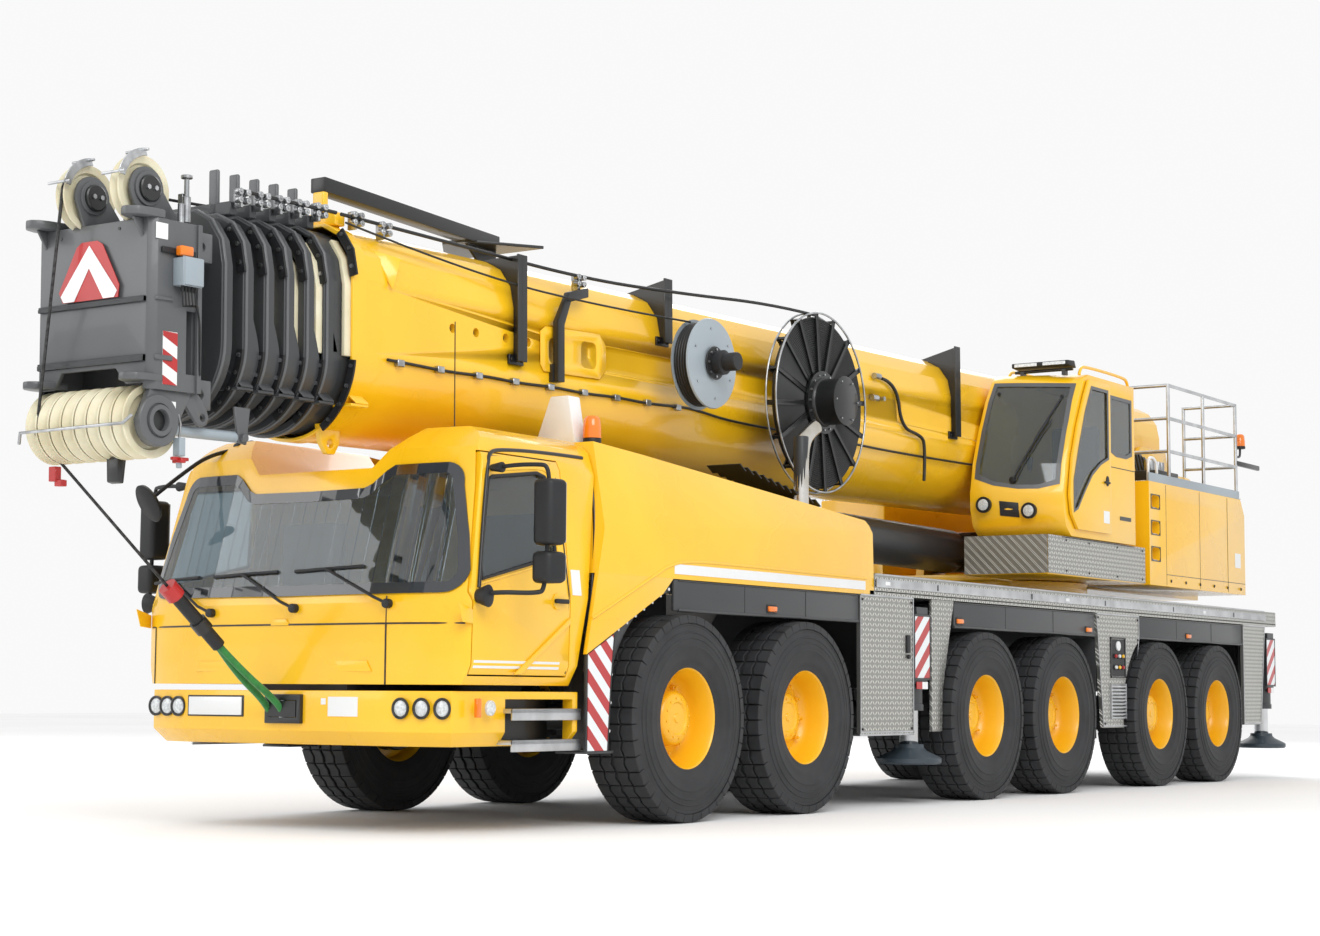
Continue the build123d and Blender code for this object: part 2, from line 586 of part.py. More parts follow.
def boom_head():
    x0 = BOOM_LENGTH + 130 + (SECTION_COUNT - 1) * COLLAR_PITCH + COLLAR_THICK - 5
    x1 = x0 + HEAD_LENGTH
    plates = [prism_y([(x0, -520), (x0, 640), (x0 + 350, 700), (x1, 560), (x1, -300), (x1 - 60, -720),
                       (x1 - 260, -720), (x1 - 420, -520)], a, b) for a, b in ((-430, -400), (400, 430))]
    floor = box(x0, x1 - 200, -430, 430, 600, 640)
    back = box(x0, x0 + 40, -430, 430, -520, 640)
    tops = [rod_y(x1 - 150, y - 35, y + 35, 700, 240) for y in (-150, 300)]
    pins = rod_y(x1 - 150, -425, 425, 700, 60)
    jib_bores = [rod_y(x0 + 140, -500, 500, z, JIB_BORE_RADIUS) for z in JIB_BORE_Z]
    return [*[plate - jib_bores[0] - jib_bores[1] for plate in plates], floor, back, *tops, pins], x1


def build_boom():
    save("boom_base", boom_base())
    for number in range(1, SECTION_COUNT):
        save(f"telescope_{number}", on_boom(telescope(number)))
    head, x1 = boom_head()
    save("boom_head", on_boom(join([telescope(SECTION_COUNT), *head])))
    sheaves = []
    for i in range(SHEAVE_COUNT):
        y = (i - (SHEAVE_COUNT - 1) / 2) * 105
        sheaves.append(rod_y(x1 - 160, y - 35, y + 35, -592, SHEAVE_RADIUS))
    shaft = rod_y(x1 - 160, -390, 390, -592, 70)
    save("lower_sheaves", on_boom(join([*sheaves, shaft])))
    (sx, sz), (lx, lz) = reel_places()
    save("hose_reel", on_boom(join([rod_y(sx, 808, 840, sz, 350), rod_y(sx, 840, 960, sz, 200),
                                    rod_y(sx, 960, 990, sz, 350)])))
    save("cable_reel", on_boom(join([rod_y(lx, 808, 1000, lz, 190), rod_y(lx, 880, 900, lz, 760)])))


# ---------------------------------------------------------------- luffing cylinder
def build_cylinder():
    dx, dz = CYLINDER_EYE_X - CYLINDER_BASE_X, CYLINDER_EYE_Z - CYLINDER_BASE_Z
    length = sqrt(dx * dx + dz * dz)
    tilt = -(180 / 3.141592653589793) * (dz / dx)
    place = Pos(CYLINDER_BASE_X, 0, CYLINDER_BASE_Z) * Rot(0, tilt, 0)
    barrel = rod_x(180, BARREL_LENGTH, 0, 0, CYLINDER_RADIUS) - rod_x(420, BARREL_LENGTH + 10, 0, 0,
                                                                      ROD_RADIUS + RUN_GAP)
    boss = rod_y(0, -230, 230, 0, 200)
    save("luff_barrel", place * join([barrel, boss]))
    rod = rod_x(450, length - 200, 0, 0, ROD_RADIUS)
    eye = rod_y(length, -135, 135, 0, EYE_RADIUS) + box(length - 260, length, -110, 110, -110, 110)
    save("luff_rod", place * (join([rod, eye]) - rod_y(length, -200, 200, 0, 80)))


def main():
    os.makedirs("parts", exist_ok=True)
    build_running_gear()
    build_carrier()
    build_cab()
    save("superstructure_frame", superstructure_frame())
    save("side_housing", side_housing())
    save("platform_railing", platform_railing())
    save("hoist_drum", hoist_drum())
    build_crane_cab()
    build_boom()
    build_cylinder()


main()
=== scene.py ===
import bpy
import json
import math
from mathutils import Matrix, Vector

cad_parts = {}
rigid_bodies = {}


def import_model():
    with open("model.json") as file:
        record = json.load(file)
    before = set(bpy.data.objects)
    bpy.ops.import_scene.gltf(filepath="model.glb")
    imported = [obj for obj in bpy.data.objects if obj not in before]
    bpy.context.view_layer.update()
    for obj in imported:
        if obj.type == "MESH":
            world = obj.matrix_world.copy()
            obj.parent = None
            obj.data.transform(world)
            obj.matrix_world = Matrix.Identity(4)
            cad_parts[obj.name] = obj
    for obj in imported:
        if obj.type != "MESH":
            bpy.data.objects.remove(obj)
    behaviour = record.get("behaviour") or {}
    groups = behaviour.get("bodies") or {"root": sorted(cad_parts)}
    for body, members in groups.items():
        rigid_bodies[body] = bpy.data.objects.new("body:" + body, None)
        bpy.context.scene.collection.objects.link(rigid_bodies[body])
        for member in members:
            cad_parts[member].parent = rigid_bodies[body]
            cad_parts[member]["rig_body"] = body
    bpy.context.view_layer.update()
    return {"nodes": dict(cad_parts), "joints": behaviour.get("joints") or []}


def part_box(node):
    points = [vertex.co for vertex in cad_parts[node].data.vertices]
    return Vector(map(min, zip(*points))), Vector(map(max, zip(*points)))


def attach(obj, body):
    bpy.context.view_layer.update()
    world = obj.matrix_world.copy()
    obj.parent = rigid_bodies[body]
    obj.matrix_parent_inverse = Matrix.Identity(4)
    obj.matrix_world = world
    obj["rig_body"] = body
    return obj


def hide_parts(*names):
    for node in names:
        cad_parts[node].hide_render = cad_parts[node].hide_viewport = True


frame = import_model()
NODES = frame["nodes"]
TAU = 2 * math.pi


# ------------------------------------------------------------------ selecting and shaping
def clear():
    """Deselects everything."""
    bpy.ops.object.select_all(action="DESELECT")


def only(obj):
    """Selects one object and makes it active."""
    clear()
    obj.select_set(True)
    bpy.context.view_layer.objects.active = obj


def settle(obj):
    """Puts a piece's place into its mesh, so that its object sits at the origin."""
    only(obj)
    bpy.ops.object.transform_apply(location=True, rotation=True, scale=True)
    return obj


def block(name, low, high):
    """A box between two corners, as the start of a piece."""
    clear()
    middle = [(a + b) / 2 for a, b in zip(low, high)]
    bpy.ops.mesh.primitive_cube_add(size=1, location=middle)
    obj = bpy.context.object
    obj.name = name
    obj.scale = [b - a for a, b in zip(low, high)]
    return settle(obj)


TURN = {"X": (0, math.pi / 2, 0), "Y": (math.pi / 2, 0, 0), "Z": (0, 0, 0)}


def drum(name, axis, centre, radius, length, sides=32):
    """A round bar along X, Y or Z, as the start of a piece."""
    clear()
    bpy.ops.mesh.primitive_cylinder_add(
        vertices=sides, radius=radius, depth=length, location=centre, rotation=TURN[axis])
    obj = bpy.context.object
    obj.name = name
    return settle(obj)


def cone(name, axis, centre, radius1, radius2, length, sides=32):
    """A tapered round bar along X, Y or Z, as the start of a piece."""
    clear()
    bpy.ops.mesh.primitive_cone_add(
        vertices=sides, radius1=radius1, radius2=radius2, depth=length, location=centre, rotation=TURN[axis])
    obj = bpy.context.object
    obj.name = name
    return settle(obj)


def outline(name, points):
    """A flat face drawn point by point."""
    clear()
    bpy.ops.mesh.primitive_plane_add(size=0.01)
    obj = bpy.context.object
    obj.name = name
    line(obj, points)
    bpy.ops.mesh.edge_face_add()
    bpy.ops.object.mode_set(mode="OBJECT")
    return obj


def line(obj, points):
    """Shrinks a new plane to a point and draws it out into a line of edges, left in edit mode."""
    edit(obj, "VERT")
    bpy.ops.mesh.select_all(action="SELECT")
    bpy.ops.mesh.merge(type="CENTER")
    bpy.ops.transform.translate(value=points[0])
    for a, b in zip(points, points[1:]):
        step = [q - p for p, q in zip(a, b)]
        bpy.ops.mesh.extrude_region_move(TRANSFORM_OT_translate={"value": step})
    bpy.ops.mesh.select_all(action="SELECT")


def plate(name, points, depth):
    """A flat outline pulled out into a plate by the vector depth."""
    obj = outline(name, points)
    edit(obj)
    bpy.ops.mesh.select_all(action="SELECT")
    bpy.ops.mesh.extrude_region_move(TRANSFORM_OT_translate={"value": depth})
    return outward(obj)


def turned(name, profile, centre, axis="Y", steps=48, closed=False):
    """A profile of (radius, height) points spun about an axis through the centre."""
    along = {"X": Vector((1, 0, 0)), "Y": Vector((0, 1, 0)), "Z": Vector((0, 0, 1))}[axis]
    out = Vector((0, 0, 1)) if axis != "Z" else Vector((1, 0, 0))
    points = [out * r + along * h + Vector(centre) for r, h in profile]
    clear()
    bpy.ops.mesh.primitive_plane_add(size=0.01)
    obj = bpy.context.object
    obj.name = name
    line(obj, points)
    if closed:
        bpy.ops.mesh.edge_face_add()
        bpy.ops.mesh.delete(type="ONLY_FACE")
        bpy.ops.mesh.select_all(action="SELECT")
    bpy.ops.mesh.spin(steps=steps, angle=TAU, center=centre, axis=along)
    return outward(obj)


def edit(obj, kind="FACE"):
    """Enters edit mode on one object, selecting by face, edge or vertex."""
    only(obj)
    bpy.ops.object.mode_set(mode="EDIT")
    bpy.ops.mesh.select_mode(type=kind)


def outward(obj):
    """Merges doubles, points the faces outwards and leaves edit mode."""
    if obj.mode != "EDIT":
        edit(obj)
    bpy.ops.mesh.select_all(action="SELECT")
    bpy.ops.mesh.remove_doubles(threshold=1e-5)
    bpy.ops.mesh.normals_make_consistent(inside=False)
    bpy.ops.object.mode_set(mode="OBJECT")
    return obj


def pick(obj, test):
    """Enters edit mode with the faces selected whose centre and normal pass the test."""
    edit(obj)
    bpy.ops.mesh.select_all(action="DESELECT")
    bpy.ops.object.mode_set(mode="OBJECT")
    for face in obj.data.polygons:
        face.select = bool(test(face.center, face.normal))
    bpy.ops.object.mode_set(mode="EDIT")


def inset(obj, test, width, depth=0.0):
    """Insets the chosen faces, raised by a depth."""
    pick(obj, test)
    bpy.ops.mesh.inset(thickness=width, depth=depth)
    bpy.ops.object.mode_set(mode="OBJECT")
    return obj


def pull(obj, test, move):
    """Extrudes the chosen faces by a vector."""
    pick(obj, test)
    bpy.ops.mesh.extrude_region_move(TRANSFORM_OT_translate={"value": move})
    bpy.ops.object.mode_set(mode="OBJECT")
    return obj


def recess(obj, test, width, move):
    """Insets the chosen faces and extrudes what lies inside the border by a vector."""
    pick(obj, test)
    bpy.ops.mesh.inset(thickness=width)
    bpy.ops.mesh.extrude_region_move(TRANSFORM_OT_translate={"value": move})
    bpy.ops.object.mode_set(mode="OBJECT")
    return obj


def shade(obj, angle):
    """Smooths across the edges that are flatter than an angle in degrees."""
    only(obj)
    bpy.ops.object.shade_smooth_by_angle(angle=math.radians(angle))


def soften(obj, width, segments=2, angle=35):
    """Rounds the sharp edges and smooths across the round ones."""
    only(obj)
    bevel = obj.modifiers.new("edges", "BEVEL")
    bevel.width = width
    bevel.segments = segments
    bevel.limit_method = "ANGLE"
    bevel.angle_limit = math.radians(angle)
    bpy.ops.object.modifier_apply(modifier=bevel.name)
    bpy.ops.object.shade_smooth_by_angle(angle=math.radians(angle))
    return obj


def cut(obj, tool, mode="DIFFERENCE"):
    """Cuts, joins or intersects a piece with a tool, which is used up."""
    only(obj)
    carve = obj.modifiers.new("cut", "BOOLEAN")
    carve.operation = mode
    carve.object = tool
    carve.solver = "EXACT"
    bpy.ops.object.modifier_apply(modifier=carve.name)
    bpy.data.objects.remove(tool)
    return obj


def fuse(name, pieces):
    """Joins meshes into one object."""
    clear()
    for piece in pieces:
        piece.select_set(True)
    bpy.context.view_layer.objects.active = pieces[0]
    bpy.ops.object.join()
    pieces[0].name = name
    return pieces[0]


def copied(obj, name, move=(0, 0, 0), mirror_y=False, spin=None):
    """A copy with its own mesh, moved, mirrored across the centre plane or turned by a matrix."""
    twin = obj.copy()
    twin.data = obj.data.copy()
    twin.name = name
    bpy.context.scene.collection.objects.link(twin)
    if spin is not None:
        twin.data.transform(spin)
    if mirror_y:
        flipped(twin)
    twin.data.transform(Matrix.Translation(move))
    return twin


def flipped(obj):
    """Turns a piece into its mirror image across the centre plane."""
    obj.data.transform(Matrix.Scale(-1, 4, (0, 1, 0)))
    obj.data.flip_normals()
    return obj


def about(centre, axis, angle):
    """A turn about an axis through a point."""
    centre = Vector(centre)
    return Matrix.Translation(centre) @ Matrix.Rotation(angle, 4, axis) @ Matrix.Translation(-centre)


def hose(name, points, radius, finish, body, sides=8, smooth=True):
    """A fixed line, pipe or hose through points, swept round and made a mesh."""
    curve = bpy.data.curves.new(name, "CURVE")
    curve.dimensions = "3D"
    curve.bevel_depth = radius
    curve.bevel_resolution = max(1, sides // 4)
    curve.use_fill_caps = True
    spline = curve.splines.new("NURBS" if smooth else "POLY")
    spline.points.add(len(points) - 1)
    for spot, point in zip(spline.points, points):
        spot.co = (*point, 1)
    if smooth:
        spline.order_u = 3
        spline.use_endpoint_u = True
        curve.resolution_u = 8
    obj = bpy.data.objects.new(name, curve)
    bpy.context.scene.collection.objects.link(obj)
    only(obj)
    bpy.ops.object.convert(target="MESH")
    obj = bpy.context.object
    bpy.ops.object.shade_smooth_by_angle(angle=math.radians(50))
    return place(obj, finish, body)


def place(obj, finish, body):
    """Gives a finished piece its material and the body that it moves with."""
    obj.data.materials.clear()
    obj.data.materials.append(finish)
    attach(obj, body)
    return obj


# ------------------------------------------------------------------ materials
def colour(code, alpha=1.0):
    """An sRGB hex code as a linear colour."""
    parts = [int(code[i:i + 2], 16) / 255 for i in (0, 2, 4)]
    return [p / 12.92 if p <= 0.04045 else ((p + 0.055) / 1.055) ** 2.4 for p in parts] + [alpha]


def add_node(tree, kind, settings=None, links=None):
    """Adds a node, sets its properties and input values, and links its inputs."""
    node = tree.nodes.new(kind)
    for key, value in (settings or {}).items():
        if isinstance(key, str) and hasattr(node, key) and key not in node.inputs:
            setattr(node, key, value)
        else:
            node.inputs[key].default_value = value
    for key, source in (links or {}).items():
        tree.links.new(source, node.inputs[key])
    return node


def new_material(name, **shader):
    """A material with its Principled shader's own sockets set."""
    mat = bpy.data.materials.new(name)
    mat.use_nodes = True
    tree = mat.node_tree
    body = tree.nodes["Principled BSDF"]
    for key, value in shader.items():
        body.inputs[key.replace("_", " ")].default_value = value
    coords = add_node(tree, "ShaderNodeTexCoord")
    return mat, tree, body, coords.outputs["Object"]


def mottle(tree, body, coords, low, high, scale, rough=None, detail=3.0):
    """Drifts the colour and the roughness slowly between two values."""
    noise = add_node(tree, "ShaderNodeTexNoise", {"Scale": scale, "Detail": detail}, {"Vector": coords})
    ramp = add_node(tree, "ShaderNodeValToRGB", {}, {"Fac": noise.outputs["Fac"]})
    ramp.color_ramp.elements[0].position = 0.35
    ramp.color_ramp.elements[1].position = 0.65
    ramp.color_ramp.elements[0].color = colour(low)
    ramp.color_ramp.elements[1].color = colour(high)
    tree.links.new(ramp.outputs["Color"], body.inputs["Base Color"])
    if rough:
        spread = add_node(tree, "ShaderNodeMapRange", {"To Min": rough[0], "To Max": rough[1]},
                          {"Value": noise.outputs["Fac"]})
        tree.links.new(spread.outputs["Result"], body.inputs["Roughness"])
    return ramp


def relief(tree, body, height, strength, distance):
    """Feeds a height into the normal."""
    bump = add_node(tree, "ShaderNodeBump", {"Strength": strength, "Distance": distance}, {"Height": height})
    tree.links.new(bump.outputs["Normal"], body.inputs["Normal"])
    return bump


def grain(tree, body, coords, size, strength, depth):
    """Fine even bumps of a given size in metres."""
    noise = add_node(tree, "ShaderNodeTexNoise", {"Scale": 1 / size, "Detail": 2.0}, {"Vector": coords})
    return relief(tree, body, noise.outputs["Fac"], strength, depth)


def machine_enamel(name, low, high, rough, coat):
    """Sprayed two-pack enamel: an even colour under a clear, faintly rippled skin."""
    mat, tree, body, coords = new_material(name, Metallic=0.0, IOR=1.5, Coat_Weight=coat, Coat_Roughness=0.06)
    mottle(tree, body, coords, low, high, 0.9, rough)
    grain(tree, body, coords, 0.02, 0.06, 0.002)     # orange peel, drawn coarser than its 3 mm
    return mat


def make_materials():
    """Every finish of the machine, by a short key."""
    m = {}
    m["yellow"] = machine_enamel("yellow_crane_enamel", "EDB611", "F4C01C", (0.24, 0.32), 0.5)
    m["rim_yellow"] = machine_enamel("yellow_rim_enamel", "EBB010", "F4BC1C", (0.3, 0.42), 0.25)
    m["dark"] = machine_enamel("dark_grey_enamel", "303234", "383A3C", (0.38, 0.5), 0.15)
    m["grey"] = machine_enamel("mid_grey_enamel", "4E5052", "585A5C", (0.36, 0.46), 0.15)
    m["frame"] = machine_enamel("chassis_grey_enamel", "26282A", "303234", (0.45, 0.6), 0.1)
    m["black"] = machine_enamel("black_enamel", "141516", "1A1B1C", (0.35, 0.45), 0.2)
    m["float_grey"] = machine_enamel("pale_grey_enamel", "8C979F", "9AA5AC", (0.3, 0.4), 0.2)
    m["float"] = machine_enamel("blue_grey_enamel", "2C363E", "36424A", (0.4, 0.55), 0.1)
    m["red"] = machine_enamel("red_enamel", "A01818", "B42020", (0.35, 0.45), 0.3)
    m["orange"] = machine_enamel("orange_lens_plastic", "E0700A", "F08214", (0.12, 0.2), 0.6)
    m["white"] = machine_enamel("white_reflective_film", "DADCDC", "E6E8E8", (0.3, 0.4), 0.4)

    # black moulded plastic: even, matte, with a fine sanded grain
    mat, tree, body, coords = new_material("black_moulded_plastic", Roughness=0.5, IOR=1.46)
    mottle(tree, body, coords, "17181A", "1E1F21", 3.0, (0.42, 0.6))
    grain(tree, body, coords, 0.004, 0.25, 0.0008)
    m["plastic"] = mat

    # vulcanised rubber: dusty grey-black with a soft sheen
    mat, tree, body, coords = new_material("vulcanised_rubber", Roughness=0.75, IOR=1.5)
    mottle(tree, body, coords, "232426", "303133", 5.0, (0.6, 0.85))
    grain(tree, body, coords, 0.006, 0.3, 0.001)
    m["rubber"] = mat

    # rubber hose and cable sheath: smoother and blacker than the tyres
    mat, tree, body, coords = new_material("black_cable_sheath", Roughness=0.45, IOR=1.5)
    mottle(tree, body, coords, "101112", "191A1B", 8.0, (0.35, 0.5))
    m["hose"] = mat

    # zinc-plated steel: pale, softly mottled metal
    mat, tree, body, coords = new_material("zinc_plated_steel", Metallic=1.0)
    mottle(tree, body, coords, "9A9C9E", "C4C6C8", 12.0, (0.25, 0.45))
    m["zinc"] = mat

    # drawn aluminium tube: pale grey metal with fine lines along it
    mat, tree, body, coords = new_material("drawn_aluminium", Metallic=1.0)
    mottle(tree, body, coords, "B4B6B8", "CCCED0", 6.0, (0.28, 0.4))
    grain(tree, body, coords, 0.01, 0.1, 0.0005)
    m["aluminium"] = mat

    # turned stainless pipe: bright, slightly straw-coloured from heat
    mat, tree, body, coords = new_material("stainless_pipe", Metallic=1.0)
    mottle(tree, body, coords, "B8B2A6", "D6D4D0", 4.0, (0.15, 0.3))
    m["stainless"] = mat

    # hard-chromed piston rod
    mat, tree, body, coords = new_material("hard_chrome", Metallic=1.0)
    mottle(tree, body, coords, "C6C8CA", "D8DADC", 2.0, (0.08, 0.14))
    m["chrome"] = mat

    # cast nylon sheaves: cream, waxy, stained a little in the grooves
    mat, tree, body, coords = new_material(
        "cast_nylon", Roughness=0.42, IOR=1.53, Subsurface_Weight=0.08, Subsurface_Scale=0.01)
    mottle(tree, body, coords, "CFC6A6", "DED8BE", 4.0, (0.35, 0.5))
    grain(tree, body, coords, 0.012, 0.15, 0.001)
    m["nylon"] = mat

    # wire rope: dark greased steel strands
    mat, tree, body, coords = new_material("greased_wire_rope", Metallic=0.7)
    mottle(tree, body, coords, "2A2A2B", "4A4A4A", 40.0, (0.4, 0.6))
    m["rope"] = mat

    # green polyester webbing of a lifting sling
    mat, tree, body, coords = new_material("polyester_webbing", Roughness=0.8, Sheen_Weight=0.3)
    mottle(tree, body, coords, "1E6A2C", "2C8038", 30.0, (0.7, 0.85))
    m["sling"] = mat

    # dark woven seat cloth
    mat, tree, body, coords = new_material("woven_seat_cloth", Roughness=0.9, Sheen_Weight=0.25)
    mottle(tree, body, coords, "1F2124", "2B2D31", 40.0, (0.8, 0.95))
    weave = add_node(tree, "ShaderNodeTexWave", {"Scale": 60.0, "Distortion": 0.5}, {"Vector": coords})
    relief(tree, body, weave.outputs["Fac"], 0.3, 0.001)
    m["cloth"] = mat

    # laminated window glass with a grey-green tint
    mat, tree, body, coords = new_material(
        "tinted_laminated_glass", Roughness=0.02, IOR=1.5, Transmission_Weight=0.94)
    mottle(tree, body, coords, "A4B2B8", "ACBAC0", 1.0, (0.01, 0.03))
    m["glass"] = mat

    # black ceramic border baked on the windscreen's edge
    mat, tree, body, coords = new_material("black_ceramic_glass", Roughness=0.08, IOR=1.5, Coat_Weight=0.6)
    mottle(tree, body, coords, "2C2F33", "34373B", 2.0, (0.06, 0.12))
    m["black_glass"] = mat

    # silvered mirror glass
    mat, tree, body, coords = new_material("silvered_mirror", Metallic=1.0)
    mottle(tree, body, coords, "C0C4C6", "CACED0", 1.0, (0.01, 0.03))
    m["mirror"] = mat

    # clear lamp lens over a bright bowl
    mat, tree, body, coords = new_material("clear_lamp_lens", Roughness=0.08, IOR=1.49, Coat_Weight=0.8)
    mottle(tree, body, coords, "B8BCBE", "DADEE0", 60.0, (0.05, 0.12))
    ribs = add_node(tree, "ShaderNodeTexWave", {"Scale": 40.0}, {"Vector": coords})
    relief(tree, body, ribs.outputs["Fac"], 0.35, 0.002)
    m["lens"] = mat

    m["tread_plate"] = tread_plate("rolled_tread_plate", 0.042)
    m["stripes"] = chevron_film("red_white_film", 0.14, -1)
    m["stripes_fine"] = chevron_film("red_white_film_narrow", 0.15, 1)
    return m


def tread_plate(name, pitch):
    """Rolled aluminium chequer plate: raised almonds in alternate directions on a satin sheet."""
    mat, tree, body, coords = new_material(name, Metallic=1.0)
    parts = add_node(tree, "ShaderNodeSeparateXYZ", {}, {"Vector": coords})

    def sum_of(kind, a, b):
        settings = {"operation": kind}
        links = {}
        for slot, value in ((0, a), (1, b)):
            if isinstance(value, (int, float)):
                settings[slot] = value
            elif value is not None:
                links[slot] = value
        return add_node(tree, "ShaderNodeMath", settings, links).outputs[0]

    across = sum_of("DIVIDE", parts.outputs["X"], pitch)
    up = sum_of("DIVIDE", sum_of("ADD", parts.outputs["Y"], parts.outputs["Z"]), pitch)
    u = sum_of("SUBTRACT", sum_of("FRACT", across, None), 0.5)
    v = sum_of("SUBTRACT", sum_of("FRACT", up, None), 0.5)
    cell = sum_of("ADD", sum_of("FLOOR", across, None), sum_of("FLOOR", up, None))
    odd = sum_of("MODULO", sum_of("ABSOLUTE", cell, None), 2.0)
    sign = sum_of("SUBTRACT", sum_of("MULTIPLY", odd, 2.0), 1.0)
    flipped = sum_of("MULTIPLY", u, sign)
    long_way = sum_of("ADD", flipped, v)
    short_way = sum_of("MULTIPLY", sum_of("SUBTRACT", flipped, v), 3.4)
    reach = sum_of("ADD", sum_of("POWER", long_way, 2.0), sum_of("POWER", short_way, 2.0))
    height = add_node(tree, "ShaderNodeMapRange",
                      {"From Min": 0.62, "From Max": 0.2, "To Min": 0.0, "To Max": 1.0},
                      {"Value": reach}).outputs["Result"]
    # painted shade and highlight: the colour darkens the flat sheet between the almonds and lightens the
    # almond tops
    tint = add_node(tree, "ShaderNodeValToRGB", {}, {"Fac": height})
    tint.color_ramp.elements[0].color = colour("A3A39F")
    tint.color_ramp.elements[1].color = colour("E6E5DF")
    tree.links.new(tint.outputs["Color"], body.inputs["Base Color"])
    shine = add_node(tree, "ShaderNodeMapRange", {"To Min": 0.5, "To Max": 0.28}, {"Value": height})
    tree.links.new(shine.outputs["Result"], body.inputs["Roughness"])
    relief(tree, body, height, 0.8, 0.004)
    return mat


def chevron_film(name, period, lean):
    """Reflective warning film with slanted red and white bars."""
    mat, tree, body, coords = new_material(name, Roughness=0.32, IOR=1.5, Coat_Weight=0.4, Coat_Roughness=0.1)
    parts = add_node(tree, "ShaderNodeSeparateXYZ", {}, {"Vector": coords})
    flat = add_node(tree, "ShaderNodeMath", {"operation": "ADD"},
                    {0: parts.outputs["X"], 1: parts.outputs["Y"]})
    slant = add_node(tree, "ShaderNodeMath", {"operation": "MULTIPLY", 1: 0.9 * lean}, {0: flat.outputs[0]})
    run = add_node(tree, "ShaderNodeMath", {"operation": "ADD"}, {0: slant.outputs[0], 1: parts.outputs["Z"]})
    turns = add_node(tree, "ShaderNodeMath", {"operation": "DIVIDE", 1: period * 1.35}, {0: run.outputs[0]})
    saw = add_node(tree, "ShaderNodeMath", {"operation": "FRACT"}, {0: turns.outputs[0]})
    bars = add_node(tree, "ShaderNodeValToRGB", {}, {"Fac": saw.outputs[0]})
    bars.color_ramp.interpolation = "CONSTANT"
    bars.color_ramp.elements[0].color = colour("B02124")
    bars.color_ramp.elements[1].color = colour("DFE4E6")
    bars.color_ramp.elements[1].position = 0.5
    tree.links.new(bars.outputs["Color"], body.inputs["Base Color"])
    cells = add_node(tree, "ShaderNodeTexVoronoi", {"Scale": 90.0}, {"Vector": coords})
    relief(tree, body, cells.outputs["Distance"], 0.1, 0.001)
    return mat


M = make_materials()


# ------------------------------------------------------------------ finishes of the carried-over pieces
FINISHES = {
    "frame": ["chassis_frame", "axles", "knuckle_", "engine_and_exhaust"],
    "yellow": ["carrier_cab", "carrier_door_", "front_bumper", "side_hoods", "outrigger_",
               "superstructure_frame",
               "side_housing", "crane_cab", "crane_cab_door", "boom_base"],
    "dark": ["arch_panels", "telescope_", "luff_barrel", "hose_reel", "cable_reel"],
    "grey": ["boom_head", "hoist_drum", "luff_rod"],
    "tread_plate": ["deck_panels"],
    "float": ["jack_"],
    "rubber": ["wheel_"],
    "nylon": ["lower_sheaves"],
    "glass": ["carrier_cab_glass", "crane_cab_glass"],
    "cloth": ["carrier_cab_interior", "crane_cab_seat"],
    "aluminium": ["platform_railing"],
}


def finish_nodes():
    """Gives each piece from the frame the finish of the longest stem that its name starts with."""
    for name, node in NODES.items():
        best = max((len(stem), key) for key, stems in FINISHES.items() for stem in stems
                   if name.startswith(stem))
        node.data.materials.clear()
        node.data.materials.append(M[best[1]])


finish_nodes()


# ------------------------------------------------------------------ wheels
TYRE_RADIUS = 0.73
TYRE_HALF = 0.215                # half the tyre's width
TREAD_PITCH = TAU / 40
JOINT = {joint["name"]: joint for joint in frame["joints"]}


def tread_row(name, corners, bottom, top, shoulder=0.0):
    """One tread block: an outline in plan, as thick as the tread; a shoulder block slopes down outside."""
    low = [(x, y, bottom) for x, y in corners]
    obj = plate(name, low, (0, 0, top - bottom))
    if shoulder:
        edge = max(abs(y) for x, y in corners)
        for vertex in obj.data.vertices:
            if abs(abs(vertex.co.y) - edge) < 1e-4:
                vertex.co.y *= 1.0 if vertex.co.z < (bottom + top) / 2 else 0.965
                vertex.co.z -= shoulder if vertex.co.z < (bottom + top) / 2 else 0.006
    return obj


def tread_pitch():
    """One pitch of the tread: two zigzag ribs between two rows of shoulder blocks."""
    half = TYRE_RADIUS * TREAD_PITCH / 2
    gap = 0.005
    zig = 0.016
    reach = half - gap
    rows = []
    for side in (1, -1):
        lean = zig * side
        rib = [(-reach, 0.010 + lean / 2), (0, 0.010 - lean / 2 + 0.006), (reach, 0.010 + lean / 2),
               (reach, 0.092 + lean / 2), (0, 0.092 - lean / 2), (-reach, 0.092 + lean / 2)]
        rows.append(tread_row("rib", [(x, side * y) for x, y in rib], 0.700, TYRE_RADIUS))
        edge = [(-reach, 0.108 + lean / 2), (0, 0.108 - lean / 2), (reach, 0.108 + lean / 2),
                (reach, TYRE_HALF - 0.006), (-reach, TYRE_HALF - 0.006)]
        rows.append(tread_row("shoulder", [(x, side * y) for x, y in edge], 0.700, TYRE_RADIUS, 0.032))
    pitch = outward(fuse("tread_pitch", rows))
    only(pitch)
    bevel = pitch.modifiers.new("edges", "BEVEL")
    bevel.width = 0.004
    bevel.segments = 1
    bpy.ops.object.modifier_apply(modifier=bevel.name)
    return pitch


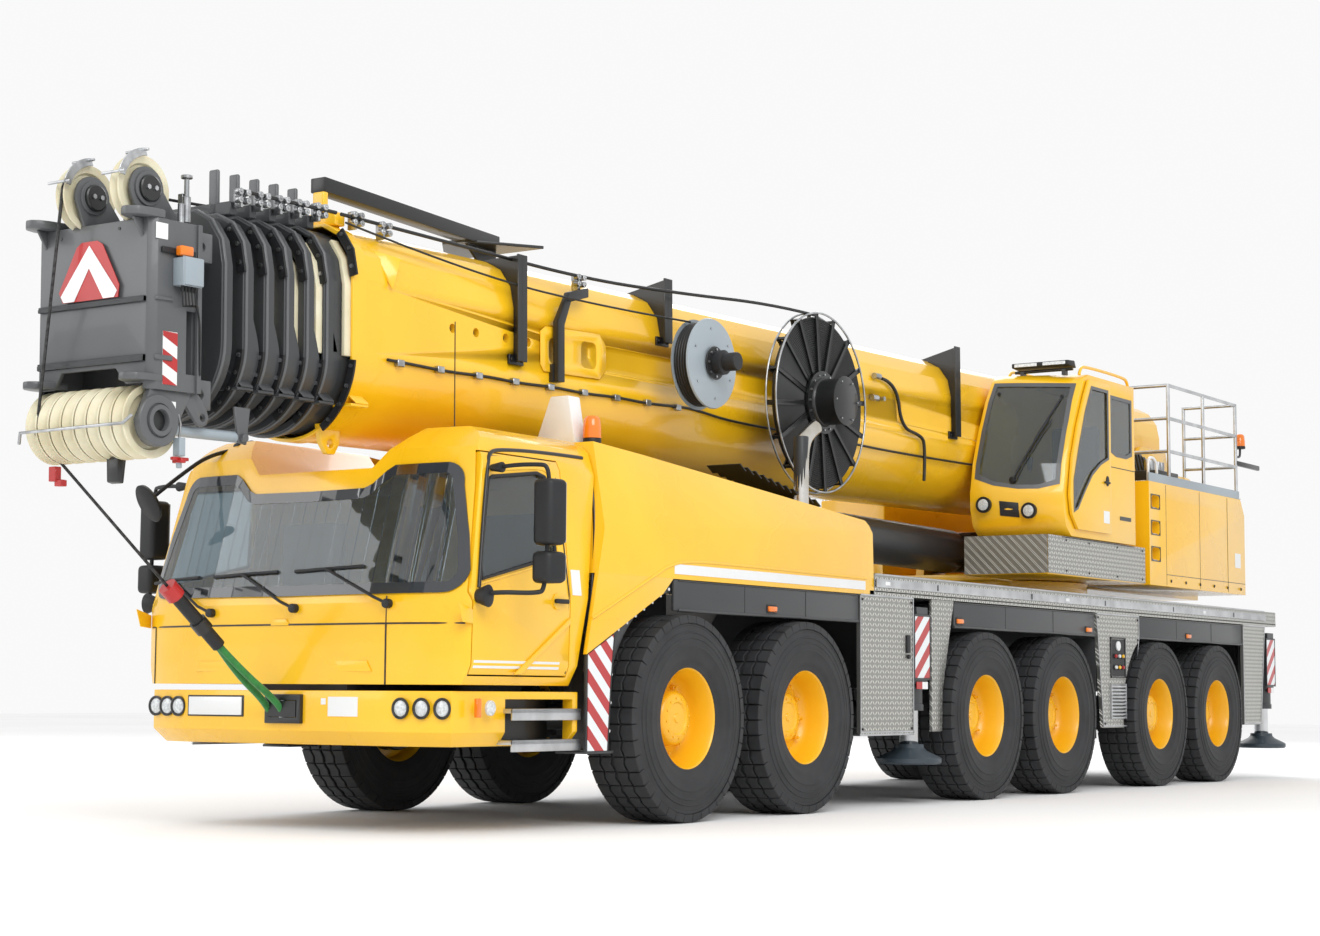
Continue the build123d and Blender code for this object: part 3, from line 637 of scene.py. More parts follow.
def tyre():
    """Casing with ribbed sidewalls under forty pitches of tread, about the Y axis at the origin."""
    wall = [                                     # (radius, half width)
        (0.352, 0.150), (0.356, 0.186), (0.372, 0.193), (0.398, 0.197), (0.405, 0.203), (0.440, 0.211),
        (0.500, 0.215), (0.505, 0.2185), (0.512, 0.2185), (0.517, 0.2145), (0.560, 0.2135), (0.563, 0.217),
        (0.570, 0.217), (0.573, 0.2115), (0.600, 0.208), (0.603, 0.2115), (0.610, 0.211), (0.613, 0.205),
        (0.650, 0.199), (0.655, 0.2025), (0.666, 0.201), (0.672, 0.196), (0.690, 0.198), (0.706, 0.188),
        (0.711, 0.150), (0.711, 0.050),
    ]
    profile = wall + [(radius, -width) for radius, width in reversed(wall)]
    casing = turned("casing", profile, (0, 0, 0), steps=80, closed=True)
    pitch = tread_pitch()
    ring = [copied(pitch, "tread", spin=Matrix.Rotation(i * TREAD_PITCH, 4, "Y")) for i in range(40)]
    bpy.data.objects.remove(pitch)
    whole = fuse("tyre", [casing] + ring)
    shade(whole, 32)
    return whole


def rim(proud):
    """Dished steel rim and hub about the Y axis, open side to +Y; proud is how far the hub comes out."""
    face = [                                     # (radius, y) from the hub's middle out to the flange
        (0.0, proud), (0.028, proud), (0.034, proud - 0.008), (0.105, proud - 0.008), (0.118, proud + 0.004),
        (0.165, proud - 0.004), (0.186, proud - 0.022), (0.196, proud - 0.060), (0.198, -0.034),
        (0.214, -0.044), (0.286, -0.044), (0.304, -0.028), (0.316, 0.004), (0.326, 0.030), (0.329, 0.120),
        (0.341, 0.142), (0.345, 0.168), (0.357, 0.184), (0.3665, 0.1875), (0.3665, 0.179), (0.354, 0.172),
        (0.350, 0.140), (0.344, 0.120), (0.342, -0.140), (0.356, -0.172), (0.3665, -0.179), (0.3665, -0.1875),
        (0.345, -0.170), (0.329, -0.120), (0.326, -0.060), (0.290, -0.062), (0.215, -0.062), (0.0, -0.062),
    ]
    dish = turned("dish", face, (0, 0, 0), steps=64)
    nut = drum("nut", "Y", (0.250, -0.026, 0), 0.019, 0.036, 6)
    inset(nut, lambda spot, normal: normal.y > 0.9, 0.004, 0.003)
    stud = drum("stud", "Y", (0.250, -0.004, 0), 0.010, 0.030, 8)
    bolt = fuse("bolt", [nut, stud])
    ring = [copied(bolt, "bolt", spin=Matrix.Rotation(TAU * (i + 0.5) / 10, 4, "Y")) for i in range(10)]
    cap_bolt = drum("cap_bolt", "Y", (0.142, proud + 0.002, 0), 0.007, 0.010, 6)
    caps = [copied(cap_bolt, "cap", spin=Matrix.Rotation(TAU * i / 12, 4, "Y")) for i in range(12)]
    bpy.data.objects.remove(bolt)
    bpy.data.objects.remove(cap_bolt)
    whole = fuse("rim", [dish] + ring + caps)
    shade(whole, 35)
    return whole


def brake():
    """Drum and backing plate that fill the rim's inner side."""
    return turned("brake", [
        (0.0, -0.064), (0.27, -0.064), (0.27, -0.17), (0.262, -0.178), (0.20, -0.182), (0.19, -0.20),
        (0.0, -0.20)], (0, 0, 0), steps=40)


def wheels():
    """A tyre, a rim and a brake at each of the twelve wheels."""
    one_tyre = tyre()
    rims = {True: rim(0.095), False: rim(0.035)}
    one_brake = brake()
    shade(one_brake, 35)
    for number in range(1, 7):
        for side, mirror in (("left", False), ("right", True)):
            node = f"wheel_{number}_{side}"
            low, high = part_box(node)
            middle = (low + high) / 2
            roll = Matrix.Rotation(0.13 * number, 4, "Y")
            for piece, finish in ((one_tyre, "rubber"), (rims[number in (1, 5)], "rim_yellow"),
                                  (one_brake, "black")):
                part = copied(piece, f"{piece.name.split('.')[0]}_{number}_{side}", middle, mirror, roll)
                place(part, M[finish], node)
                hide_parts(node)
    for piece in (one_tyre, one_brake, *rims.values()):
        bpy.data.objects.remove(piece)


wheels()


# ------------------------------------------------------------------ boom
# Boom pieces are drawn along X with the foot pin at the origin, then turned to the parked slope.
FOOT = Vector(JOINT["luff"]["pos_m"])
ALONG = Vector(JOINT["telescope_1_slide"]["axis"])
SLOPE = math.atan2(-ALONG.z, ALONG.x)
TO_BOOM = Matrix.Translation(FOOT) @ Matrix.Rotation(SLOPE, 4, "Y")
BOOM_HALF, BOOM_TOP, BOOM_BOTTOM = 0.535, 0.844, -0.556
BOOM_LENGTH = 13.64
SECTION_STEP = 0.044
COLLAR_PITCH = 0.178
COLLAR_THICK = 0.095
FIRST_COLLAR = 13.77


def on_boom(obj, finish, body):
    """Places a piece that was drawn in the boom's own frame."""
    obj.data.transform(TO_BOOM)
    return place(obj, M[finish], body)


def boom_hose(*settings, **options):
    """A hose drawn in the boom's own frame."""
    hose(*settings, **options).data.transform(TO_BOOM)


def boom_side(half, top, bottom, steps=20):
    """The left half of the section from its flat top's edge to its bottom's middle: (y, z) points."""
    folds = [(half - 0.25, top), (half - 0.12, top - 0.07), (half - 0.03, top - 0.20), (half, top - 0.36)]
    bowl = [(half * math.cos(a), bottom + half - half * math.sin(a))
            for a in (math.pi / 2 * i / steps for i in range(steps + 1))]
    return folds + bowl


def boom_outline(x, half, top, bottom):
    """The whole section at one place along the boom."""
    side = boom_side(half, top, bottom)
    return [(x, y, z) for y, z in side] + [(x, -y, z) for y, z in reversed(side[:-1])]


def section_tube(name, sizes, x0, x1, mouth):
    """A folded and rolled boom section, hollow at both ends for the length of its mouth."""
    tube = plate(name, boom_outline(x0, *sizes), (x1 - x0, 0, 0))
    for way in (-1, 1):
        recess(tube, lambda spot, normal: normal.x * way > 0.9, 0.012, (-way * mouth, 0, 0))
    outward(tube)
    return soften(tube, 0.010, 2, 9)


def ring_plate(name, x0, x1, outer, inner):
    """A flat frame round the section, between two outlines."""
    frame_plate = plate(name, boom_outline(x0, *outer), (x1 - x0, 0, 0))
    tool = plate("tool", boom_outline(x0 - 0.1, *inner), (x1 - x0 + 0.2, 0, 0))
    return soften(cut(frame_plate, tool), 0.005, 1, 40)


def strip(name, sizes, points, x0, x1, thick):
    """A pad that follows the section's side between two x places; points index its outline."""
    side = boom_side(*sizes)[points[0]:points[1]]
    back = [(y + thick * n[0], z + thick * n[1]) for (y, z), n in zip(side, side_normals(side))]
    return plate(name, [(x0, y, z) for y, z in side] + [(x0, y, z) for y, z in reversed(back)],
                 (x1 - x0, 0, 0))


def side_normals(side):
    """Outward directions at the points of a half section."""
    result = []
    for i in range(len(side)):
        a, b = side[max(i - 1, 0)], side[min(i + 1, len(side) - 1)]
        dy, dz = b[0] - a[0], b[1] - a[1]
        size = math.hypot(dy, dz)
        result.append((-dz / size, dy / size))
    return result


def both_sides(name, pieces):
    """Joins pieces with their mirror copies across the centre plane."""
    return fuse(name, pieces + [copied(piece, "twin", mirror_y=True) for piece in pieces])


def bolt_head(x, y, z, axis="X", size=0.014):
    """A hexagon head."""
    return drum("bolt", axis, (x, y, z), size, 0.012, 6)


def sizes_of(number):
    """Half width, top and bottom of a section."""
    step = number * SECTION_STEP
    return BOOM_HALF - step, BOOM_TOP - step, BOOM_BOTTOM + step


def reach_of(number):
    """Outer outline of a section's collar."""
    return (BOOM_HALF - 0.030 - 0.006 * number, BOOM_TOP - 0.040 - 0.006 * number,
            BOOM_BOTTOM + 0.005 + 0.004 * number)


def half_moon(name, sizes, x, depth, low=-0.55, high=0.12):
    """Doubler behind a collar, wide at the side's middle and running out to both ends."""
    y, top, bottom = sizes
    grown = (y + 0.012, top + 0.012, bottom - 0.012)
    shell = ring_plate(name, x - depth - 0.02, x + 0.01, grown, (y - 0.02, top - 0.02, bottom + 0.02))
    steps = 12
    lens = [(x + 0.02, -1, low - 0.02), (x, -1, low)]
    lens += [(x - depth * math.sin(math.pi * i / steps), -1, low + (high - low) * i / steps)
             for i in range(1, steps)]
    lens += [(x, -1, high), (x + 0.02, -1, high + 0.02)]
    return cut(shell, plate("lens", lens, (0, 2, 0)), "INTERSECT")


def corner_shelf(x, y, z, depth):
    """Small stiffening shelf under a collar's corner."""
    shelf = block("shelf", (x - depth, y - 0.16, z - 0.030), (x, y, z - 0.012))
    slope = plate("slope", [(x - depth, y, z - 0.012), (x - depth, y, z),
                            (x - depth * 0.75, y - 0.10, z + 0.11),
                            (x - depth * 0.75, y - 0.13, z + 0.10)], (depth * 0.75, 0, 0))
    return [shelf, slope]


def collar_pads(number, x, sizes):
    """Black bolted retainers on a collar's face and cream slide pads in its mouth."""
    tag = f"collar_{number}"
    inner = tuple(a + b for a, b in zip(sizes,
                                        (-SECTION_STEP + 0.003, -SECTION_STEP + 0.003, SECTION_STEP - 0.003)))
    rim = sizes if number == 0 else tuple(a + b for a, b in zip(reach_of(number), (-0.030, -0.030, 0.030)))
    half, top, bottom = rim
    body = "boom_base" if number == 0 else f"telescope_{number}"
    upper = strip("upper", (half - 0.006, top - 0.006, bottom + 0.006), (1, 4), x, x + 0.016, 0.062)
    lower = strip("lower", (half - 0.006, top - 0.006, bottom + 0.006), (5, 18), x, x + 0.016, 0.050)
    retainers = both_sides(f"{tag}_retainers", [upper, lower])
    on_boom(retainers, "plastic", body)
    cream = strip("cream", inner, (1, 5), x - 0.02, x + 0.055, 0.030)
    cream.data.transform(Matrix.Translation((0, 0, -0.02)))
    on_boom(soften(both_sides(f"{tag}_slide_pads", [cream]), 0.006, 2, 40), "nylon", body)
    bolts = []
    side = boom_side(half + 0.022, top + 0.022, bottom - 0.022)
    for t in (0.25, 1.0, 1.75):
        i = 1 + int(t)
        f = t - int(t)
        y = side[i][0] * (1 - f) + side[i + 1][0] * f
        z = side[i][1] * (1 - f) + side[i + 1][1] * f
        bolts.append(bolt_head(x + 0.020, y - 0.002, z))
    for i in (6, 9, 12, 15):
        bolts.append(bolt_head(x + 0.020, side[i][0] - 0.004, side[i][1] + 0.002))
    on_boom(both_sides(f"{tag}_bolts", bolts), "zinc", body)


def cable_clamp(name, x, y, z, finish, body):
    """Zinc bracket with two pairs of rollers that hold the cables over a collar."""
    parts = [block("foot", (x - 0.010, y - 0.04, z - 0.07), (x + 0.010, y + 0.03, z + 0.05))]
    for dz in (-0.028, 0.024):
        for dx in (-0.034, 0.034):
            parts.append(drum("roller", "Y", (x + dx, y + 0.035, z + dz), 0.021, 0.045, 16))
            parts.append(drum("pin", "Y", (x + dx, y + 0.035, z + dz), 0.008, 0.062, 8))
    parts.append(block("arm", (x - 0.045, y + 0.005, z - 0.006), (x + 0.045, y + 0.018, z + 0.006)))
    return on_boom(soften(fuse(name, parts), 0.002, 1, 50), finish, body)


def boom_base():
    """Base section with its front frame, doublers, pads, peak, locking windows, ear and lug."""
    sizes = (BOOM_HALF, BOOM_TOP, BOOM_BOTTOM)
    tube = section_tube("boom_base_tube", sizes, -0.30, BOOM_LENGTH, 0.45)
    holes = [drum("hole", "Y", (x, BOOM_HALF, 0.262), 0.033, 0.10, 24) for x in (12.60, 12.34, 12.00, 11.74)]
    window = soften(block("window", (10.90, BOOM_HALF - 0.05, 0.145), (11.10, BOOM_HALF + 0.05, 0.345)),
                    0.085, 6, 35)
    slot = soften(block("slot", (11.36, BOOM_HALF - 0.05, 0.135), (11.50, BOOM_HALF + 0.05, 0.325)), 0.05,
                  5, 35)
    rear_slot = soften(block("rear", (6.02, BOOM_HALF - 0.05, 0.15), (6.12, BOOM_HALF + 0.05, 0.36)), 0.045,
                       5, 35)
    for tool in (*holes, window, slot, rear_slot):
        cut(tube, tool)
    on_boom(tube, "yellow", "boom_base")
    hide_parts("boom_base")
    frame_front = ring_plate("boom_base_front_frame", BOOM_LENGTH - 0.14, BOOM_LENGTH,
                             (BOOM_HALF + 0.012, BOOM_TOP + 0.012, BOOM_BOTTOM - 0.012),
                             (BOOM_HALF - 0.012, BOOM_TOP - 0.012, BOOM_BOTTOM + 0.012))
    on_boom(frame_front, "yellow", "boom_base")
    moon = half_moon("boom_base_doubler", sizes, BOOM_LENGTH - 0.14, 0.17)
    on_boom(moon, "yellow", "boom_base")
    shelves = corner_shelf(BOOM_LENGTH - 0.02, 0.52, -0.33, 0.17)
    on_boom(soften(both_sides("boom_base_corner_shelves", shelves), 0.003, 1, 40), "yellow", "boom_base")
    collar_pads(0, BOOM_LENGTH, sizes)
    peak = block("peak", (BOOM_LENGTH - 0.13, -0.36, BOOM_TOP), (BOOM_LENGTH - 0.03, 0.36, BOOM_TOP + 0.09))
    tab = block("tab", (BOOM_LENGTH - 0.10, 0.14, BOOM_TOP + 0.05),
                (BOOM_LENGTH - 0.05, 0.24, BOOM_TOP + 0.24))
    on_boom(soften(fuse("boom_base_peak", [peak, tab]), 0.012, 3, 40), "yellow", "boom_base")
    # hexagonal doubler round the two locking windows
    doubler = plate("boom_window_doubler", [
        (10.78, BOOM_HALF, 0.15), (10.86, BOOM_HALF, 0.08), (11.56, BOOM_HALF, 0.07),
        (11.60, BOOM_HALF, 0.12),
        (11.60, BOOM_HALF, 0.36), (11.54, BOOM_HALF, 0.40), (10.86, BOOM_HALF, 0.42),
        (10.78, BOOM_HALF, 0.34)],
        (0, 0.010, 0))
    cut(doubler, soften(block("w", (10.90, 0.5, 0.145), (11.10, 0.6, 0.345)), 0.085, 6, 35))
    cut(doubler, soften(block("s", (11.36, 0.5, 0.135), (11.50, 0.6, 0.325)), 0.05, 5, 35))
    on_boom(soften(doubler, 0.003, 1, 60), "yellow", "boom_base")
    bar = block("window_bar", (10.92, BOOM_HALF - 0.02, 0.235), (11.08, BOOM_HALF - 0.01, 0.255))
    on_boom(bar, "yellow", "boom_base")
    # hollow triangular ear near the front, and the lifting lug under it
    ear = plate("boom_side_ear", [(13.36, 0.44, 0.70), (13.18, 0.53, 0.66), (13.27, 0.54, 0.44)],
                (0, 0.02, 0.0))
    ear.data.transform(Matrix.Translation((0, 0.015, 0)))
    on_boom(soften(ear, 0.004, 1, 40), "yellow", "boom_base")
    lug = plate("lug", [(13.44, 0.22, -0.46), (13.44, 0.22, -0.58), (13.49, 0.22, -0.655),
                        (13.56, 0.22, -0.655), (13.62, 0.22, -0.58), (13.64, 0.22, -0.46)], (0, 0.045, 0))
    cut(lug, drum("eye", "Y", (13.53, 0.24, -0.585), 0.030, 0.2, 24))
    on_boom(soften(lug, 0.006, 2, 40), "yellow", "boom_base")


def boom_brackets():
    """Black cable brackets bolted to the base section's left side."""
    half, top = BOOM_HALF, BOOM_TOP
    shoulder = [(y, z) for y, z in boom_side(half, top, BOOM_BOTTOM)[:4]]
    for i, (x, foot, rise) in enumerate(((11.90, 0.10, 0.02), (10.02, 0.44, 0.10), (5.00, 0.10, 0.12))):
        web = [(x, y, z) for y, z in shoulder] + [(x, half, foot)]
        web += [(x, half + 0.075, foot), (x, half + 0.075, top + rise), (x, half - 0.34, top + 0.012)]
        gusset = plate("gusset", web, (0.014, 0, 0))
        post = block("post", (x - 0.055, half + 0.060, foot), (x + 0.055, half + 0.075, top + rise))
        pad = block("pad", (x - 0.085, half + 0.0, foot - 0.02), (x + 0.085, half + 0.02, foot + 0.05))
        bolts = [bolt_head(x + dx, half + 0.026, foot + 0.015, "Y", 0.016) for dx in (-0.06, 0.06)]
        on_boom(soften(fuse(f"cable_bracket_{i + 1}", [gusset, post, pad] + bolts), 0.003, 1, 40),
                "black", "boom_base")
    x = 11.44
    rear = [(x - 0.04, 0.00), (x - 0.04, 0.42), (x - 0.12, 0.60), (x - 0.34, 0.66)]
    front = [(x - 0.34, 0.73), (x - 0.10, 0.67), (x + 0.04, 0.44), (x + 0.04, 0.00)]
    arm = plate("arm", [(a, half + 0.03, b) for a, b in rear + front], (0, 0.05, 0))
    pad = block("pad", (x - 0.05, half, 0.0), (x + 0.05, half + 0.04, 0.13))
    on_boom(soften(fuse("cable_bracket_bent", [arm, pad]), 0.005, 2, 40), "black", "boom_base")
    cable_clamp("cable_clamp_bent", 11.16, 0.545, 0.78, "zinc", "boom_base")


def side_hose():
    """Hydraulic hose clipped along the base section's side."""
    points = [(13.30, 0.552, -0.03)]
    for i in range(9):
        points.append((13.05 - 0.40 * i, 0.553, -0.035 - 0.012 * (i % 2)))
    points += [(9.60, 0.553, -0.03), (9.0, 0.553, -0.09), (7.4, 0.553, -0.10), (6.0, 0.553, -0.14),
               (4.3, 0.553, -0.14)]
    boom_hose("boom_side_hose", points, 0.011, M["hose"], "boom_base")
    drop = [(6.45, 0.56, 0.52), (6.18, 0.57, 0.50), (6.10, 0.57, 0.10), (5.72, 0.57, 0.06),
            (5.62, 0.57, -0.02), (5.66, 0.57, -0.36)]
    boom_hose("boom_drop_hose", drop, 0.016, M["hose"], "boom_base")
    clips = []
    for x in [13.18 - 0.42 * i for i in range(9)]:
        clips.append(block("clip", (x - 0.035, 0.535, -0.065), (x + 0.035, 0.572, -0.018)))
    on_boom(soften(fuse("boom_hose_clips", clips), 0.004, 1, 40), "zinc", "boom_base")
    fittings = [drum("fitting", "X", (6.55, 0.565, 0.53), 0.028, 0.10, 12),
                drum("fitting", "X", (6.60, 0.565, 0.33), 0.028, 0.10, 12),
                drum("tee", "Y", (6.47, 0.56, 0.33), 0.022, 0.08, 12)]
    on_boom(fuse("boom_hose_fittings", fittings), "zinc", "boom_base")


def top_beam():
    """Long dark runner beam over the sections, on a cross plate at its rear."""
    beam = plate("beam", [(13.52, 0.06, 1.10), (13.52, 0.06, 1.20), (11.62, 0.06, 1.08), (11.62, 0.06, 0.98)],
                 (0, 0.13, 0))
    on_boom(soften(beam, 0.008, 2, 40), "black", "boom_base")
    cross = plate("cross_plate", [(11.50, -0.42, 0.975), (11.50, 0.50, 0.975), (11.98, 0.12, 0.995),
                                  (11.98, -0.06, 0.995)], (0, 0, 0.022))
    under = plate("cross_web", [(11.60, 0.12, 0.84), (11.60, 0.12, 0.98), (11.95, 0.12, 0.99),
                                (11.78, 0.12, 0.84)],
                  (0, 0.02, 0))
    on_boom(soften(fuse("beam_cross_plate", [cross, under]), 0.003, 1, 40), "black", "boom_base")


def boom_cables():
    """Signal cable to the large reel and hose to the small one, over the base section."""
    top = BOOM_TOP
    boom_hose("signal_cable", [(13.62, 0.42, top + 0.06), (12.6, 0.46, top + 0.03), (11.16, 0.575, 0.80),
                               (10.0, 0.72, 0.82), (8.9, 0.89, 0.86), (8.3, 0.93, 0.84)], 0.013,
              M["hose"], "boom_base")
    boom_hose("reel_hose", [(13.62, 0.46, top + 0.00), (12.4, 0.56, 0.66), (11.0, 0.66, 0.60),
                            (10.1, 0.86, 0.575)], 0.008, M["hose"], "boom_base")


def telescopes():
    """Sections 1 to 6 with their collars, pads, tabs, saddles, clamps and cables."""
    for number in range(1, 7):
        body = f"telescope_{number}" if number < 6 else "boom_head"
        x = FIRST_COLLAR + COLLAR_PITCH * (number - 1)
        sizes = sizes_of(number)
        tube = section_tube(f"section_{number}_tube", sizes, 0.5 + 0.12 * number, x + COLLAR_THICK, 0.30)
        on_boom(tube, "dark", body)
        if number < 6:
            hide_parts(body)
        inner = tuple(a + b for a, b in zip(sizes, (-0.012, -0.012, 0.012)))
        on_boom(ring_plate(f"collar_{number}_frame", x, x + COLLAR_THICK, reach_of(number), inner), "dark",
                body)
        lip = tuple(a + b for a, b in zip(reach_of(number), (0.012, 0.012, -0.012)))
        shell = tuple(a - b for a, b in zip(reach_of(number), (0.02, 0.02, -0.02)))
        on_boom(ring_plate(f"collar_{number}_edge", x + 0.060, x + 0.082, lip, shell), "grey", body)
        if number == 6:
            continue
        on_boom(half_moon(f"collar_{number}_doubler",
                          tuple(a + b for a, b in zip(reach_of(number), (-0.02, -0.02, 0.02))),
                          x + 0.01, 0.075, -0.50, 0.14), "dark", body)
        collar_pads(number, x + COLLAR_THICK, sizes)
        shelves = corner_shelf(x + COLLAR_THICK + 0.012, 0.485 - 0.008 * number, -0.34 + 0.006 * number, 0.14)
        on_boom(soften(both_sides(f"collar_{number}_shelves", shelves), 0.003, 1, 40), "dark", body)
        top = reach_of(number)[1]
        tab = block("tab", (x + 0.05, 0.15, top - 0.03), (x + 0.08, 0.23, BOOM_TOP + 0.22))
        on_boom(soften(fuse(f"collar_{number}_tab", [tab]), 0.014, 3, 40), "grey", body)
        saddle = block(f"collar_{number}_saddle", (x + 0.02, -0.30, top - 0.01),
                       (x + 0.08, 0.34, top + 0.075))
        on_boom(soften(saddle, 0.006, 1, 40), "dark", body)
        cable_clamp(f"collar_{number}_clamp", x + 0.05, 0.385, top + 0.10, "zinc", body)
        boom_hose(f"collar_{number}_cable",
                  [(x - 0.10, 0.42, BOOM_TOP + 0.062), (x + 0.09, 0.42, BOOM_TOP + 0.062)],
                  0.013, M["hose"], body, smooth=False)
    cable_clamp("base_clamp_front", BOOM_LENGTH - 0.16, 0.40, BOOM_TOP + 0.05, "zinc", "boom_base")
    cable_clamp("base_clamp_rear", BOOM_LENGTH - 0.42, 0.42, BOOM_TOP + 0.02, "zinc", "boom_base")


def reels():
    """Hose reel with its motor, and the large spoked cable reel, both turning on the base's left side."""
    for name, body in (("hose", "hose_reel"), ("cable", "cable_reel")):
        low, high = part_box(body)
        middle = (low + high) / 2
        if name == "hose":
            x, z = middle.x, middle.z
            y0 = 0.808
            profile = [(0.0, y0), (0.33, y0), (0.345, y0 + 0.004), (0.350, y0 + 0.014),
                       (0.340, y0 + 0.012), (0.20, y0 + 0.016), (0.20, y0 + 0.145), (0.34, y0 + 0.150),
                       (0.350, y0 + 0.146), (0.345, y0 + 0.160), (0.330, y0 + 0.164), (0.0, y0 + 0.170)]
            flanges = fuse("hose_reel_flanges", [turned("flange", profile, (x, 0, z), steps=64)])
            shade(flanges, 35)
            place(flanges, M["float_grey"], body)
            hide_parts(body)
            coils = [turned("turn", [(0.315 + 0.012 * math.cos(a),
                                      y0 + 0.030 + 0.0235 * i + 0.0125 * math.sin(a))
                                     for a in (TAU * k / 8 for k in range(8))], (x, 0, z), steps=56,
                            closed=True)
                     for i in range(5)]
            wound = fuse("hose_reel_wound_hose", coils)
            shade(wound, 60)
            place(wound, M["hose"], body)
            motor = turned("hose_reel_motor", [
                (0.0, y0 + 0.17), (0.115, y0 + 0.172), (0.118, y0 + 0.195), (0.085, y0 + 0.200),
                (0.085, y0 + 0.240),
                (0.095, y0 + 0.245), (0.095, y0 + 0.275), (0.070, y0 + 0.285), (0.072, y0 + 0.385),
                (0.066, y0 + 0.395), (0.0, y0 + 0.397)], (x, 0, z), steps=32)
            shade(motor, 35)
            place(motor, M["plastic"], body)
            heads = [bolt_head(x + 0.105 * math.cos(a), y0 + 0.200, z + 0.105 * math.sin(a), "Y", 0.010)
                     for a in (TAU * k / 8 for k in range(8))]
            heads += [bolt_head(x + 0.27 * math.cos(a), y0 + 0.168, z + 0.27 * math.sin(a), "Y", 0.008)
                      for a in (TAU * k / 6 + 0.4 for k in range(6))]
            place(fuse("hose_reel_bolts", heads), M["zinc"], body)
            cap = cone("hose_reel_cap", "Y", (x, y0 + 0.190, z + 0.0), 0.13, 0.13, 0.006, 40)
            place(soften(cap, 0.002, 1, 40), M["black"], body)
            continue
        x, z = middle.x, middle.z
        y0 = 0.86
        coils = []
        rings = [(0.26 + 0.018 * i) for i in range(25)]
        profile = [(0.22, y0 + 0.012)]
        for radius in rings:
            profile += [(radius, y0 + 0.012), (radius + 0.009, y0 + 0.004)]
        profile += [(0.715, y0 + 0.02), (0.715, y0 + 0.044)]
        for radius in reversed(rings):
            profile += [(radius + 0.009, y0 + 0.056), (radius, y0 + 0.048)]
        profile += [(0.22, y0 + 0.048)]
        wound = turned("cable_reel_wound_cable", profile, (x, 0, z), steps=72, closed=True)
        shade(wound, 20)
        place(wound, M["hose"], body)
        spokes = []
        for i in range(16):
            for at in (y0 - 0.012, y0 + 0.062):
                spoke = block("spoke", (x - 0.020, at - 0.007, z + 0.20), (x + 0.020, at + 0.007, z + 0.745))
                inset(spoke, lambda spot, normal: abs(normal.y) > 0.9, 0.008, -0.006)
                spoke.data.transform(about((x, 0, z), "Y", TAU * (i + 0.25) / 16))
                spokes.append(spoke)
            cross = block("rung", (x - 0.012, y0 - 0.012, z + 0.728), (x + 0.012, y0 + 0.062, z + 0.745))
            cross.data.transform(about((x, 0, z), "Y", TAU * (i + 0.25) / 16))
            spokes.append(cross)
        place(fuse("cable_reel_spokes", spokes), M["black"], body)
        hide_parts(body)
        hoops = []
        for at in (y0 - 0.022, y0 + 0.072):
            hoops.append(turned("hoop", [(0.748 + 0.009 * math.cos(a), at + 0.009 * math.sin(a))
                                         for a in (TAU * k / 8 for k in range(8))], (x, 0, z), steps=96,
                                closed=True))
        hoops = fuse("cable_reel_hoops", hoops)
        shade(hoops, 60)
        place(hoops, M["zinc"], body)
        hub = turned("cable_reel_hub", [
            (0.0, y0 - 0.05), (0.25, y0 - 0.05), (0.25, y0 + 0.070), (0.262, y0 + 0.072), (0.262, y0 + 0.090),
            (0.205, y0 + 0.095), (0.200, y0 + 0.110), (0.192, y0 + 0.118), (0.192, y0 + 0.285),
            (0.205, y0 + 0.288),
            (0.205, y0 + 0.300), (0.196, y0 + 0.306), (0.0, y0 + 0.308)], (x, 0, z), steps=56)
        shade(hub, 35)
        place(hub, M["black"], body)
        heads = [bolt_head(x + 0.232 * math.cos(a), y0 + 0.098, z + 0.232 * math.sin(a), "Y", 0.009)
                 for a in (TAU * k / 16 for k in range(16))]
        heads += [bolt_head(x + 0.175 * math.cos(a), y0 + 0.312, z + 0.175 * math.sin(a), "Y", 0.008)
                  for a in (TAU * k / 6 for k in range(6))]
        place(fuse("cable_reel_bolts", heads), M["zinc"], body)


boom_base()
boom_brackets()
side_hose()
top_beam()
boom_cables()
telescopes()
reels()


# ------------------------------------------------------------------ boom head
HEAD_REAR, HEAD_FRONT, HEAD_HALF = 14.970, 15.364, 0.500
HEAD_TOP, HEAD_BOTTOM = 0.610, -0.410
SHEAVE_X, SHEAVE_Z, SHEAVE_RADIUS = 15.280, -0.592, 0.220
TOP_SHEAVES = ((15.294, -0.150, 0.790), (15.284, 0.300, 0.800))   # x, middle y, z
TOP_RADIUS = 0.207
PIN_LUG_X, PIN_LUG_Z = 14.890, (-0.400, 0.500)       # bores for a jib's pins
HOOK = Vector((6.69, -0.09, 0.80))                   # where the sling meets the bumper


def sheave(name, x, y, z, radius, width=0.070):
    """Cast sheave with a deep rope groove and a dished web."""
    half = width / 2
    obj = turned(name, [
        (0.0, y - 0.020), (0.060, y - 0.020), (0.064, y - 0.012), (radius - 0.060, y - 0.012),
        (radius - 0.048, y - half + 0.008), (radius - 0.003, y - half), (radius, y - half + 0.006),
        (radius - 0.004, y - half + 0.014), (radius - 0.030, y - 0.012), (radius - 0.036, y),
        (radius - 0.030, y + 0.012), (radius - 0.004, y + half - 0.014), (radius, y + half - 0.006),
        (radius - 0.003, y + half), (radius - 0.048, y + half - 0.008), (radius - 0.060, y + 0.012),
        (0.064, y + 0.012), (0.060, y + 0.020), (0.0, y + 0.020)], (x, 0, z), steps=56)
    shade(obj, 40)
    return obj


